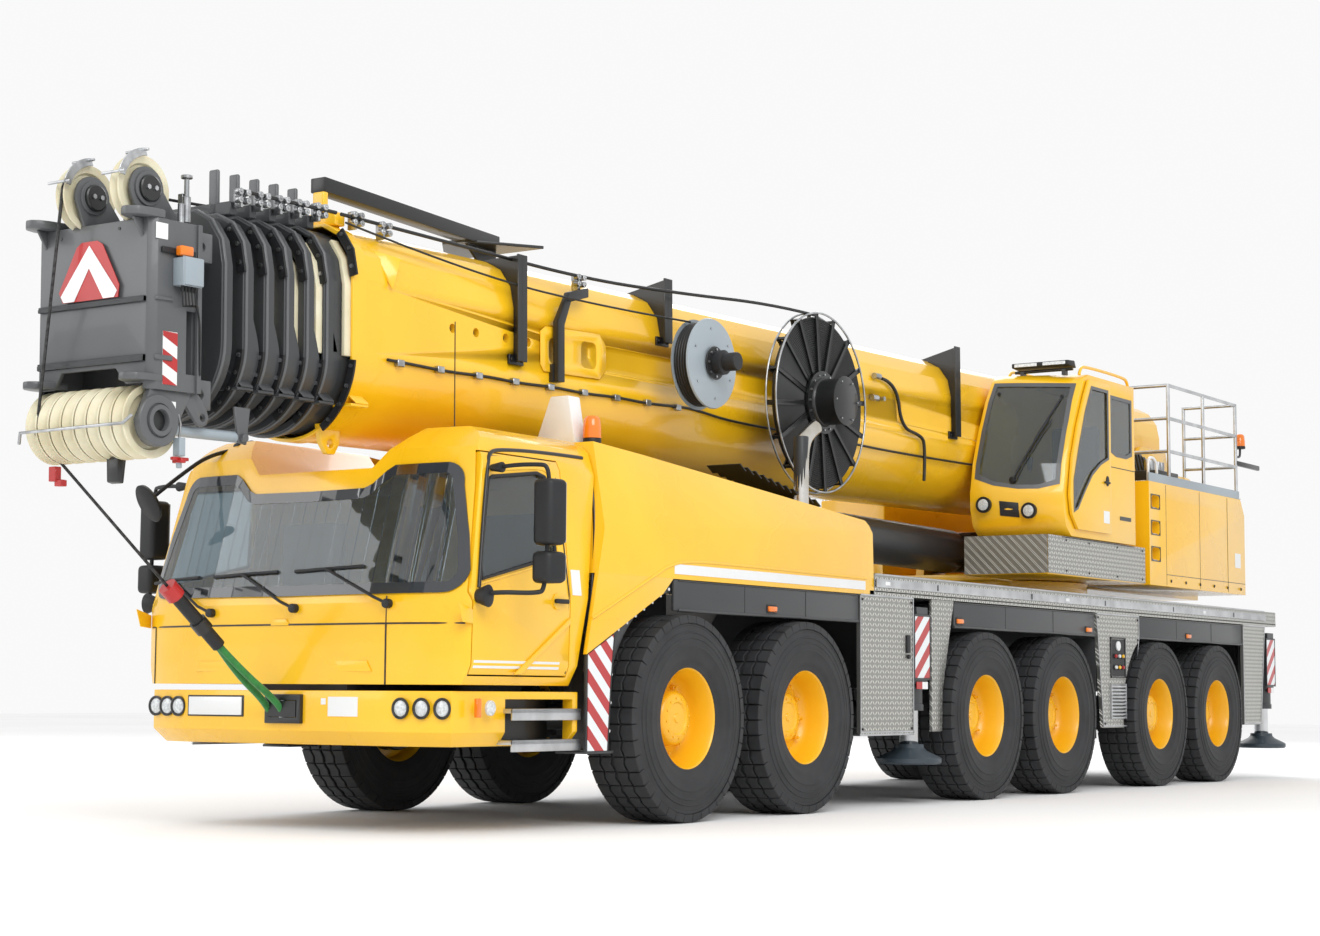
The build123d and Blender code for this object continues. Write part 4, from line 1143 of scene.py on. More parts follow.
def head_block():
    """Welded head box with its front ridges, the arch over the lower sheaves and the jib horns."""
    x0, x1, h = HEAD_REAR, HEAD_FRONT, HEAD_HALF
    shell = plate("boom_head_block", [
        (x0, -h, HEAD_BOTTOM), (x1 - 0.045, -h, HEAD_BOTTOM), (x1, -h + 0.045, HEAD_BOTTOM),
        (x1, h - 0.045, HEAD_BOTTOM), (x1 - 0.045, h, HEAD_BOTTOM), (x0, h, HEAD_BOTTOM)],
        (0, 0, HEAD_TOP - HEAD_BOTTOM))
    cut(shell, block("hollow", (x0 + 0.03, -h + 0.03, HEAD_BOTTOM - 0.1),
                     (x1 - 0.03, h - 0.03, HEAD_TOP - 0.03)))
    cut(shell, plate("arch", [(x1 - 0.2, -0.36, HEAD_BOTTOM - 0.02), (x1 - 0.2, -0.26, -0.27),
                              (x1 - 0.2, 0.20, -0.27), (x1 - 0.2, 0.34, HEAD_BOTTOM - 0.02)], (0.3, 0, 0)))
    cut(shell, drum("sweep", "Y", (SHEAVE_X, 0, SHEAVE_Z), SHEAVE_RADIUS + 0.015, 0.86, 48))
    cut(shell, block("cable_gap", (x0 + 0.02, h - 0.04, -0.30), (x0 + 0.11, h + 0.02, 0.08)))
    on_boom(soften(shell, 0.006, 2, 30), "grey", "boom_head")
    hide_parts("boom_head")
    parts = []
    for z, deep in ((0.120, 0.022), (-0.235, 0.030)):
        parts.append(block("ridge", (x1 - 0.01, -h + 0.05, z - 0.012), (x1 + 0.022, h - 0.05, z + deep)))
        parts.append(block("side_ridge", (x1 - 0.16, h - 0.01, z), (x1 - 0.03, h + 0.014, z + deep)))
    parts.append(block("side_frame", (x0, h - 0.01, HEAD_BOTTOM), (x0 + 0.035, h + 0.016, HEAD_TOP)))
    on_boom(soften(both_sides("boom_head_ridges", parts), 0.003, 1, 40), "grey", "boom_head")
    for i, z in enumerate(PIN_LUG_Z, 1):
        lug = block("lug", (14.800, 0.400, z - 0.090), (x0 + 0.030, 0.430, z + 0.090))
        cut(lug, drum("bore", "Y", (PIN_LUG_X, 0.415, z), 0.030, 0.2, 24))
        on_boom(soften(both_sides(f"jib_pin_lugs_{i}", [lug]), 0.006, 2, 35), "grey", "boom_head")
    horns = []
    for z, high in ((HEAD_TOP, 0.052), (HEAD_BOTTOM + 0.045, 0.045)):
        horn = plate("horn", [
            (x1 - 0.10, h - 0.20, z), (x1 + 0.055, h - 0.175, z), (x1 + 0.115, h - 0.15, z),
            (x1 + 0.147, h - 0.11, z),
            (x1 + 0.147, h - 0.07, z), (x1 + 0.10, h - 0.015, z), (x1 + 0.03, h + 0.004, z),
            (x1 - 0.10, h + 0.004, z)],
            (0, 0, high))
        horns.append(horn)
    horns.append(plate("gusset", [(x1 - 0.01, h - 0.10, HEAD_TOP), (x1 + 0.08, h - 0.10, HEAD_TOP),
                                  (x1 - 0.01, h - 0.10, HEAD_TOP - 0.13)], (0, 0.022, 0)))
    on_boom(soften(both_sides("boom_head_jib_horns", horns), 0.010, 2, 30), "grey", "boom_head")


def head_cheeks():
    """Plates and bosses that carry the sheave pins, and the rear lugs."""
    x0, x1 = HEAD_REAR, HEAD_FRONT
    edge = [(SHEAVE_X + 0.155 * math.cos(a), SHEAVE_Z + 0.155 * math.sin(a))
            for a in (math.radians(200 + 160 * i / 12) for i in range(13))]
    cheek = plate("cheek", [(x0 + 0.03, 0.43, HEAD_BOTTOM + 0.02)] + [(x, 0.43, z) for x, z in edge]
                  + [(x1 - 0.03, 0.43, HEAD_BOTTOM + 0.02)], (0, 0.045, 0))
    boss = turned("boss", [(0.062, 0.470), (0.155, 0.470), (0.155, 0.487), (0.150, 0.492), (0.104, 0.492),
                           (0.100, 0.484), (0.095, 0.484), (0.092, 0.505), (0.066, 0.507), (0.062, 0.500)],
                  (SHEAVE_X, 0, SHEAVE_Z), steps=48, closed=True)
    cut(cheek, drum("hole", "Y", (SHEAVE_X, 0.45, SHEAVE_Z), 0.063, 0.2, 40))
    lug = plate("lug", [(x0 + 0.04, 0.44, -0.40), (x0 - 0.03, 0.44, -0.41), (x0 - 0.10, 0.44, -0.50),
                        (x0 - 0.115, 0.44, -0.545), (x0 - 0.10, 0.44, -0.585), (x0 - 0.064, 0.44, -0.60),
                        (x0 - 0.02, 0.44, -0.585), (x0 + 0.10, 0.44, -0.46)], (0, 0.03, 0))
    cut(lug, drum("eye", "Y", (x0 - 0.064, 0.45, -0.545), 0.022, 0.2, 20))
    on_boom(soften(both_sides("boom_head_cheeks", [cheek, lug]), 0.006, 2, 30), "grey", "boom_head")
    bosses = both_sides("boom_head_pin_bosses", [boss])
    shade(bosses, 30)
    on_boom(bosses, "grey", "boom_head")
    # black discs deep in the pin bores: painted shade of the bores' insides
    bores = both_sides("boom_head_pin_bores",
                       [drum("bore", "Y", (SHEAVE_X, 0.462, SHEAVE_Z), 0.064, 0.012, 32)])
    on_boom(bores, "black", "boom_head")


def lower_sheaves():
    """Eight sheaves on the lower pin, turning together."""
    pitch = 2 * 0.422 / 8
    row = [sheave("row", SHEAVE_X, -0.422 + pitch * (i + 0.5), SHEAVE_Z, SHEAVE_RADIUS, 0.094)
           for i in range(8)]
    row.append(drum("shaft", "Y", (SHEAVE_X, 0, SHEAVE_Z), 0.058, 0.84, 32))
    wheels = on_boom(fuse("lower_rope_sheaves", row), "nylon", "lower_sheaves")
    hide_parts("lower_sheaves")
    boom_hose("lower_rope_guard", [(SHEAVE_X + 0.20, 0.47, SHEAVE_Z + 0.02),
                                   (SHEAVE_X + 0.236, 0.43, SHEAVE_Z - 0.03),
                                   (SHEAVE_X + 0.236, 0.0, SHEAVE_Z - 0.035),
                                   (SHEAVE_X + 0.236, -0.44, SHEAVE_Z - 0.04),
                                   (SHEAVE_X + 0.20, -0.49, SHEAVE_Z - 0.10)], 0.010, M["zinc"],
              "boom_head",
              smooth=False)


def top_sheaves():
    """Two guide sheaves on the head's top between round-topped cheeks, with their caps and rope guards."""
    for i, (x, y, z) in enumerate(TOP_SHEAVES, 1):
        wheel = sheave(f"top_sheave_{i}", x, y, z, TOP_RADIUS, 0.075)
        on_boom(wheel, "nylon", "boom_head")
        cheeks = []
        for at in (y - 0.066, y + 0.040):
            arc = [(x + 0.135 * math.cos(a), at, z + 0.135 * math.sin(a))
                   for a in (math.radians(-10 + 190 * k / 14) for k in range(15))]
            foot = [(x - 0.30, at, HEAD_TOP - 0.01), (x + 0.06, at, HEAD_TOP - 0.01)]
            cheeks.append(plate("cheek", arc + foot, (0, 0.026, 0)))
        cheeks.append(drum("boss", "Y", (x, y + 0.072, z), 0.105, 0.020, 40))
        on_boom(soften(fuse(f"top_sheave_cheeks_{i}", cheeks), 0.006, 2, 35), "grey", "boom_head")
        cap = turned("cap", [(0.0, y + 0.106), (0.074, y + 0.104), (0.082, y + 0.098), (0.082, y + 0.080),
                             (0.0, y + 0.080)],
                     (x, 0, z), steps=40)
        shade(cap, 35)
        cap.name = f"top_sheave_cap_{i}"
        on_boom(cap, "black", "boom_head")
        bolts = [bolt_head(x + dx, y + 0.110, z + 0.004, "Y", 0.016) for dx in (-0.030, 0.030)]
        on_boom(fuse(f"top_sheave_cap_bolts_{i}", bolts), "zinc", "boom_head")
        guards = [drum("bar", "Y", (x + r * math.cos(a), y + 0.01, z + r * math.sin(a)), 0.009, 0.19, 12)
                  for r, a in ((0.232, math.radians(18)), (0.232, math.radians(82)))]
        guards.append(plate("link", [(x + 0.20 * math.cos(a) - 0.012, y + 0.062, z + 0.20 * math.sin(a))
                                     for a in (math.radians(15 + 70 * k / 6) for k in range(7))]
                            + [(x + 0.245 * math.cos(a), y + 0.062, z + 0.245 * math.sin(a))
                               for a in (math.radians(85 - 70 * k / 6) for k in range(7))], (0, 0.008, 0)))
        on_boom(soften(fuse(f"top_rope_guard_{i}", guards), 0.002, 1, 40), "zinc", "boom_head")


def head_fittings():
    """Warning sign, side strip, junction box, lamp, sensors and cables on the head."""
    x, side = HEAD_FRONT, HEAD_HALF
    sign = plate("head_warning_sign", [(x + 0.016, a, b) for a, b in (
        (-0.235, 0.150), (-0.270, 0.215), (-0.120, 0.480), (-0.075, 0.505), (0.055, 0.505), (0.100, 0.480),
        (0.245, 0.225), (0.235, 0.150))], (0.005, 0, 0))
    on_boom(sign, "red", "boom_head")
    bars = [plate("bar", [(x + 0.022, -0.01 + s * a, b) for a, b in (
        (0.0, 0.480), (0.0, 0.345), (0.125, 0.152), (0.215, 0.152), (0.240, 0.190))], (0.003, 0, 0))
            for s in (-1, 1)]
    on_boom(outward(fuse("head_sign_chevron", bars)), "white", "boom_head")
    strip_red = []
    for i in range(4):
        low, high = -0.377 + 0.078 * i, -0.377 + 0.078 * (i + 1)
        slant = 0.055
        corners = [(15.158, low), (15.275, low + slant), (15.275, high + slant), (15.158, high)]
        corners = [(a, min(max(b, -0.377), -0.060)) for a, b in corners]
        if i % 2:
            strip_red.append(plate("bar", [(a, side + 0.002, b) for a, b in corners], (0, 0.003, 0)))
    base = block("head_side_strip_white", (15.158, side, -0.377), (15.275, side + 0.003, -0.060))
    strip_red.append(plate("bar", [(15.158, side + 0.002, -0.377), (15.275, side + 0.002, -0.377),
                                   (15.275, side + 0.002, -0.322)], (0, 0.003, 0)))
    on_boom(base, "white", "boom_head")
    on_boom(outward(fuse("head_side_strip_red", strip_red)), "red", "boom_head")
    box = block("head_junction_box", (15.05, side, 0.216), (15.20, side + 0.11, 0.384))
    on_boom(soften(box, 0.006, 2, 40), "float_grey", "boom_head")
    lid = block("head_junction_lid", (15.046, side + 0.085, 0.212), (15.204, side + 0.092, 0.388))
    on_boom(soften(lid, 0.002, 1, 40), "float_grey", "boom_head")
    glands = [drum("gland", "Z", (15.07 + 0.026 * i, side + 0.055, 0.200), 0.010, 0.035, 10)
              for i in range(5)]
    on_boom(fuse("head_cable_glands", glands), "plastic", "boom_head")
    lamp = block("head_side_lamp", (15.10, side + 0.02, 0.395), (15.20, side + 0.075, 0.455))
    on_boom(soften(lamp, 0.010, 2, 40), "orange", "boom_head")
    mount = block("head_lamp_mount", (15.03, side, 0.405), (15.30, side + 0.022, 0.440))
    on_boom(soften(mount, 0.004, 1, 40), "plastic", "boom_head")
    labels = [block("label", (15.245, side, 0.485), (15.340, side + 0.003, 0.580)),
              block("label", (15.140, 0.475, -0.525), (15.260, 0.479, -0.470))]
    on_boom(fuse("head_blank_labels", labels), "white", "boom_head")
    for i in range(5):
        x0 = 15.07 + 0.026 * i
        route = [(x0, side + 0.055, 0.185), (x0 - 0.01, side + 0.05, 0.13 - 0.01 * i),
                 (x0 - 0.04, side + 0.03, 0.10), (15.02 - 0.006 * i, side + 0.03, 0.12),
                 (14.99, side + 0.022, -0.05 - 0.06 * i), (14.985, side + 0.02, -0.30)]
        boom_hose(f"head_cable_{i + 1}", route, 0.0045, M["hose"], "boom_head")
    sensor = [block("post", (15.03, 0.40, 0.61), (15.07, 0.44, 0.80)),
              drum("body", "Z", (15.05, 0.455, 0.70), 0.026, 0.16, 20),
              drum("top", "Z", (15.05, 0.455, 0.83), 0.016, 0.12, 16),
              drum("plug", "Z", (15.10, 0.46, 0.66), 0.020, 0.14, 16),
              drum("lid", "Z", (15.05, 0.455, 0.90), 0.036, 0.020, 20)]
    on_boom(soften(fuse("head_wind_sensor", sensor), 0.003, 1, 40), "zinc", "boom_head")
    # black discs on the front face: painted shade standing in for two small holes
    holes = [drum("hole", "X", (x + 0.002, y, z), 0.010, 0.004, 16)
             for y, z in ((0.22, 0.565), (-0.28, 0.55))]
    on_boom(fuse("head_front_holes", holes), "black", "boom_head")


def head_rigging():
    """Tube under the collars, limit weights, and the taut rope to the bumper with its socket and sling."""
    tube = drum("head_stay_tube", "X", (14.78, 0.36, -0.625), 0.034, 0.60, 24)
    on_boom(soften(tube, 0.004, 1, 40), "float_grey", "boom_head")
    bracket = plate("bracket", [(14.42, 0.375, -0.44), (14.56, 0.375, -0.44), (14.52, 0.375, -0.66),
                                (14.45, 0.375, -0.67)],
                    (0, 0.02, 0))
    on_boom(soften(fuse("head_stay_bracket",
                        [bracket, drum("pin", "Y", (14.487, 0.38, -0.63), 0.026, 0.09, 16)]),
                   0.003, 1, 40), "grey", "boom_head")
    weight = [block("body", (15.075, 0.44, -0.79), (15.125, 0.50, -0.68)),
              drum("foot", "Z", (15.10, 0.47, -0.83), 0.018, 0.06, 12)]
    on_boom(soften(fuse("limit_switch_body", weight), 0.004, 1, 40), "float_grey", "boom_head")
    red = [block("lever", (15.03, 0.455, -0.815), (15.16, 0.485, -0.795)),
           block("lever", (15.08, 0.43, -0.83), (15.12, 0.51, -0.80)),
           block("catch", (SHEAVE_X + 0.06, -0.33, SHEAVE_Z - 0.33),
                 (SHEAVE_X + 0.11, -0.27, SHEAVE_Z - 0.24)),
           block("catch", (SHEAVE_X + 0.05, -0.29, SHEAVE_Z - 0.36),
                 (SHEAVE_X + 0.10, -0.23, SHEAVE_Z - 0.32))]
    on_boom(soften(fuse("limit_switch_levers", red), 0.004, 1, 40), "red", "boom_head")
    boom_hose("limit_switch_chain", [(15.10, 0.47, -0.68), (15.10, 0.48, -0.60), (15.11, 0.47, -0.54)], 0.007,
              M["zinc"], "boom_head", smooth=False)
    horn = plate("rope_retainer", [(SHEAVE_X - 0.02, 0.10, SHEAVE_Z - 0.205),
                                   (SHEAVE_X + 0.05, 0.10, SHEAVE_Z - 0.205),
                                   (SHEAVE_X + 0.045, 0.10, SHEAVE_Z - 0.35),
                                   (SHEAVE_X + 0.0, 0.10, SHEAVE_Z - 0.36)],
                 (0, 0.10, 0))
    on_boom(soften(horn, 0.008, 2, 40), "black", "boom_head")
    sheave_x, sheave_y, sheave_z = TOP_SHEAVES[0]
    start = TO_BOOM @ Vector((SHEAVE_X + SHEAVE_RADIUS - 0.02, -0.34, SHEAVE_Z - 0.05))
    over = [TO_BOOM @ Vector((sheave_x + (TOP_RADIUS - 0.02) * math.cos(a), sheave_y,
                              sheave_z + (TOP_RADIUS - 0.02) * math.sin(a)))
            for a in (math.radians(150 - 150 * i / 10) for i in range(11))]
    swivel = start.lerp(HOOK, 0.56)
    hose("hoist_rope", [TO_BOOM @ Vector((13.9, sheave_y, 0.93))] + over + [start, swivel], 0.0105, M["rope"],
         "boom_head", smooth=False)
    socket_end = start.lerp(HOOK, 0.76)
    hose("rope_socket", [swivel, start.lerp(HOOK, 0.66), socket_end], 0.045, M["plastic"], "boom_head", 12,
         False)
    hose("rope_socket_joint", [start.lerp(HOOK, 0.665), start.lerp(HOOK, 0.70)], 0.058, M["black"],
         "boom_head", 12, False)
    hose("rope_swivel", [start.lerp(HOOK, 0.535), start.lerp(HOOK, 0.575)], 0.062, M["red"], "boom_head",
         12, False)
    for i, y in enumerate((-0.13, -0.02)):
        hose(f"rope_sling_{i + 1}", [start.lerp(HOOK, 0.745),
                                     start.lerp(HOOK, 0.86) + Vector((0.03, y * 0.6 + 0.05, 0.0)),
                                     Vector((6.69, y, 0.82)), Vector((6.66, y, 0.76))], 0.024, M["sling"],
             "boom_head")


head_block()
head_cheeks()
lower_sheaves()
top_sheaves()
head_fittings()
head_rigging()


# ------------------------------------------------------------------ closed forms of the carrier's bodywork
def met(name, *solids):
    """What several prisms have in common."""
    first, *others = solids
    for other in others:
        cut(first, other, "INTERSECT")
    first.name = name
    return first


NOSE = [(0.0, 6.680), (0.440, 6.680), (0.740, 6.667), (0.960, 6.645), (1.150, 6.604), (1.290, 6.560),
        (1.380, 6.515),
        (1.440, 6.480), (2.0, 6.400)]            # the cab's bowed front seen from above: (y, x)


CAB_FLOOR, CAB_ROOF, CAB_DIP = 0.950, 2.630, 2.360   # the roof dips in the middle under the boom
CAB_WALL, SKIN, DOOR_GAP = 0.050, 0.030, 0.010
HOOD_BASE, HOOD_PEAK = 1.710, 2.930                  # the peak is cut off by the hood's side outline


def hood_edge_x(z):
    """Front edge of the hoods and rear edge of the cab, slanted from the roof to the hood's toe."""
    return 4.980 + (CAB_ROOF - z) * 0.340 / 1.470


def cab_form(name, c):
    """The carrier cab's outer form, or the same form drawn in by its wall."""
    top, dip = CAB_ROOF - c, CAB_DIP - c
    half = [(0.0, CAB_FLOOR + c), (1.350 - c, CAB_FLOOR + c), (1.400 - c, 1.080), (1.410 - c, 1.530),
            (1.310 - c, 2.380),
            (1.230 - c, 2.545 - c * 0.5), (1.180 - c, 2.590 - c * 0.5), (1.090 - c, top), (0.760 + c, top),
            (0.500 + c, dip), (0.0, dip)]
    front = plate("front", [(4.910, y, z) for y, z in half + [(-y, z) for y, z in reversed(half[1:-1])]],
                  (1.870, 0, 0))
    side = [(hood_edge_x(CAB_FLOOR) + 0.020 + c, CAB_FLOOR), (hood_edge_x(2.830) + 0.020 + c, 2.830),
            (5.900, 2.830), (6.230 - c, 2.610),
            (6.290 - c, 2.570), (6.340 - c, 2.525), (6.390 - c, 2.480), (6.658 - c, 1.530),
            (6.680 - c, 1.470), (6.680 - c, 0.950)]
    flank = plate("flank", [(x, -2, z) for x, z in side], (0, 4, 0))
    form = met(name, front, flank)
    for y, x in NOSE[1:-1]:
        for s in (-1, 1):
            edit(form)
            bpy.ops.mesh.select_all(action="SELECT")
            bpy.ops.mesh.bisect(plane_co=(0, s * y, 0), plane_no=(0, 1, 0))
            bpy.ops.object.mode_set(mode="OBJECT")
    for vertex in form.data.vertices:
        if vertex.co.x > 5.95:
            vertex.co.x -= CAB_FRONT - nose_x(vertex.co.y)
    return form


def door_block(s, grow):
    """What one cab door takes up, grown by a gap; s is 1 on the left and -1 on the right."""
    g = grow
    points = [(5.460 - g, 1.015 - g), (6.490 + g, 1.015 - g), (6.490 + g, 1.530), (6.280 + g, 2.440 + g),
              (5.460 - g, 2.440 + g)]
    return plate("door_block", [(x, s * 1.2, z) for x, z in points], (0, s * 0.4, 0))


def cab_shell():
    """Hollow cab with its windscreen opening and doorways, and the two door skins."""
    shell = cab_form("carrier_cab_shell", 0.0)
    cut(shell, cab_form("inner", CAB_WALL))
    doors = {}
    for side, s in (("left", 1), ("right", -1)):
        door = copied(shell, f"carrier_door_skin_{side}")
        cut(door, door_block(s, 0.0), "INTERSECT")
        window = [(5.580, 1.790), (5.700, 1.770), (6.400, 1.610), (6.400, 1.720), (6.250, 2.270),
                  (6.200, 2.290), (5.720, 2.345), (5.630, 2.330)]
        cut(door, plate("tool", [(x, s * 0.9, z) for x, z in window], (0, s * 0.7, 0)))
        soften(door, 0.006, 2, 25)
        place(door, M["yellow"], f"carrier_door_{side}")
        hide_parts(f"carrier_door_{side}")
        doors[side] = door
        cut(shell, door_block(s, DOOR_GAP))
    screen = screen_outline(-0.020)
    ring = screen + [(-y, z) for y, z in reversed(screen[1:-1])]
    cut(shell, plate("tool", [(6.0, y, z) for y, z in ring], (1.2, 0, 0)))
    soften(shell, 0.020, 3, 20)
    place(shell, M["yellow"], "carrier")
    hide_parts("carrier_cab")


def hood_solid(name, c):
    """The left hood's outer form, or the same form drawn in by its wall."""
    lean, peak, outer, base = 0.210 / 0.620, HOOD_PEAK, 1.450 - c, HOOD_BASE
    section = [(0.800 + c, base - 0.6), (outer, base - 0.6), (outer, 2.010),
               (outer - lean * (peak - 2.010), peak), (0.800 + c, peak)]
    body = plate("body", [(5.320, y, z) for y, z in section], (-4.120, 0, 0.210))
    side = [(hood_edge_x(base) - c, base), (hood_edge_x(CAB_ROOF) - c, CAB_ROOF - c), (4.400, 2.585 - c),
            (1.400 + c, 2.310 - c), (1.355 + c, 2.270 - c),
            (1.330 + c, 2.200 - c), (1.310 + c, base)]
    return met(name, body, plate("side", [(x, 0, z) for x, z in side], (0, 3, 0)))


def hood_forms():
    """Hollow side hoods with the exhaust's opening and the wing down to the marker panel."""
    hood = hood_solid("hood", 0.0)
    cut(hood, hood_solid("inner", SKIN))
    cut(hood, block("tool", (1.72, 0.86, 2.20), (2.95, 1.12, 2.80)))
    wing = plate("wing", [(4.270, 1.420, 1.712), (4.400, 1.420, 1.600), (5.320, 1.420, 1.160),
                          (hood_edge_x(1.5), 1.420, 1.500),
                          (hood_edge_x(1.71), 1.420, 1.712), (4.900, 1.420, 1.770), (4.270, 1.420, 1.770)],
                 (0, 0.030, 0))
    cut(hood, wing, "UNION")
    pair = both_sides("engine_hoods", [hood])
    soften(pair, 0.016, 3, 20)
    place(pair, M["yellow"], "carrier")
    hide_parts("side_hoods")


def bumper_ring(i, z):
    """The bumper seen from above at a height, drawn in by a distance."""
    front = 6.660
    half = [(5.350, 1.400 - i), (front - 0.100 - i, 1.300 - i * 0.7), (front - i, 0.900)]
    return [(x, y, z) for x, y in half] + [(x, -y, z) for x, y in reversed(half)]


def bumper_form():
    """Bumper bar with its underside drawn in, hollow behind, and open round the steps."""
    low, high = bumper_ring(0.075, 0.560), bumper_ring(0.0, 0.650)
    bar = plate("bumper_bar", low, (0, 0, 0.090))
    for vertex in bar.data.vertices:
        if vertex.co.z > 0.6:
            vertex.co = min((Vector(point) for point in high), key=lambda spot: (spot - vertex.co).length)
    pull(bar, lambda c, n: n.z > 0.9, (0, 0, 0.260))
    hollow = [(6.580, -0.85), (6.480, -1.23), (5.30, -1.32), (5.30, 1.32), (6.480, 1.23), (6.580, 0.85)]
    cut(bar, plate("tool", [(x, y, 0.5) for x, y in hollow], (0, 0, 0.36)))
    cut(bar, block("tool", (4.0, -0.43, 0.5), (6.55, 0.43, 1.0)))
    for s in (-1, 1):
        y0, y1 = sorted((s * 1.2, s * 1.5))
        cut(bar, block("tool", (5.40, y0, 0.590), (6.06, y1, 0.860)))
    soften(bar, 0.012, 3, 25)
    place(bar, M["yellow"], "carrier")
    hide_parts("front_bumper")


# ------------------------------------------------------------------ refined copies of the CAD forms
def refined(node, finish, width=0.006, segments=2, angle=30):
    """A copy of a CAD piece with its facets merged and its edges rounded, shown in its place."""
    source = NODES[node]
    obj = bpy.data.objects.new(f"{node}_form", source.data.copy())
    bpy.context.scene.collection.objects.link(obj)
    edit(obj, "VERT")
    bpy.ops.mesh.select_all(action="SELECT")
    bpy.ops.mesh.customdata_custom_splitnormals_clear()
    bpy.ops.mesh.remove_doubles(threshold=1e-5)
    bpy.ops.mesh.dissolve_limited(angle_limit=math.radians(1))
    outward(obj)
    soften(obj, width, segments, angle)
    place(obj, M[finish], source["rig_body"])
    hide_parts(node)
    return obj


def mirrored(name, pieces, finish, body, width=0.0):
    """Places pieces with their mirror copies, with rounded edges where a width is given."""
    obj = both_sides(name, pieces)
    if width:
        soften(obj, width, 2, 35)
    return place(obj, M[finish], body)


def tube_along(name, points, radius, finish, body, sides=8, smooth=True, twin=False):
    """A pipe, seal or arm through points, with a mirror copy on the right side where twin is set."""
    obj = hose(name, points, radius, M[finish], body, sides, smooth)
    if twin:
        other = copied(obj, f"{name}_right", mirror_y=True)
        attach(other, body)
    return obj


# ------------------------------------------------------------------ carrier cab
CAB_HALF, CAB_FRONT, BELT = 1.410, 6.680, 1.530


def nose_x(y):
    """The cab's bowed front seen from above."""
    y = abs(y)
    for (y0, x0), (y1, x1) in zip(NOSE, NOSE[1:]):
        if y <= y1:
            return x0 + (x1 - x0) * (y - y0) / (y1 - y0)
    return NOSE[-1][1]


def screen_x(y, z):
    """The windscreen's face, raked back above the belt."""
    return nose_x(y) - 0.022 - (z - BELT) * 0.268 / 0.95


def cab_side_y(z):
    """The cab's side face, drawn in above the belt."""
    points = [(0.95, CAB_HALF - 0.06), (1.08, CAB_HALF - 0.01), (BELT, CAB_HALF), (2.38, CAB_HALF - 0.10),
              (2.59, CAB_HALF - 0.23)]
    for (z0, y0), (z1, y1) in zip(points, points[1:]):
        if z <= z1:
            return y0 + (y1 - y0) * (z - z0) / (z1 - z0)
    return points[-1][1]


def on_nose(name, corners, out, thick):
    """A flat-backed strip that follows the bowed front: (y, z) corners, standing out by a thickness."""
    return plate(name, [(nose_x(y) + out, y, z) for y, z in corners], (thick, 0, 0))


def screen_outline(grow):
    """Left half outline of the windscreen, grown by a distance: (y, z) from bottom middle to top middle."""
    g = grow
    points = [(0.0, 1.555 - g), (1.20, 1.562 - g)]
    points += [(1.22 + 0.11 * math.sin(a) + g * math.sin(a), 1.672 - 0.11 * math.cos(a) - g * math.cos(a))
               for a in (math.radians(15 + 75 * i / 5) for i in range(6))]
    points += [(1.285 + g, 1.90), (1.195 + g, 2.22)]
    points += [(1.09 + 0.10 * math.cos(a) + g * math.cos(a), 2.24 + 0.10 * math.sin(a) + g * math.sin(a))
               for a in (math.radians(10 + 75 * i / 5) for i in range(6))]
    points += [(0.70, 2.335 + g), (0.64, 2.300 + g), (0.54, 2.215 + g), (0.48, 2.190 + g), (0.0, 2.185 + g)]
    return points


def windscreen():
    """Dark ceramic border and the glass within it, both bowed with the cab's nose."""
    for name, outer, inner, out, finish in (("windscreen_border", 0.035, -0.035, 0.006, "black_glass"),
                                            ("windscreen_glass", -0.030, None, 0.004, "glass")):
        half = screen_outline(outer)
        ring = half + [(-y, z) for y, z in reversed(half[1:-1])]
        pane = outline(name, [(0, y, z) for y, z in ring])
        if inner is not None:
            hole_half = screen_outline(inner)
            hole_ring = hole_half + [(-y, z) for y, z in reversed(hole_half[1:-1])]
            hole = plate("hole", [(-0.5, y, z) for y, z in hole_ring], (1, 0, 0))
        edit(pane)
        bpy.ops.mesh.select_all(action="SELECT")
        bpy.ops.mesh.extrude_region_move(TRANSFORM_OT_translate={"value": (0.008, 0, 0)})
        outward(pane)
        if inner is not None:
            cut(pane, hole)
        bands = [block("band", (-0.5, -1.5 + 0.1 * i, 1.0), (0.5, -1.4 + 0.1 * i, 3.0)) for i in range(30)]
        slices = []
        for band in bands:
            piece = copied(pane, "slice")
            cut(piece, band, "INTERSECT")
            if len(piece.data.vertices):
                slices.append(piece)
            else:
                bpy.data.objects.remove(piece)
        bpy.data.objects.remove(pane)
        pane = outward(fuse(name, slices))
        for vertex in pane.data.vertices:
            vertex.co.x += screen_x(vertex.co.y, vertex.co.z) + out
        shade(pane, 25)
        place(pane, M[finish], "carrier")


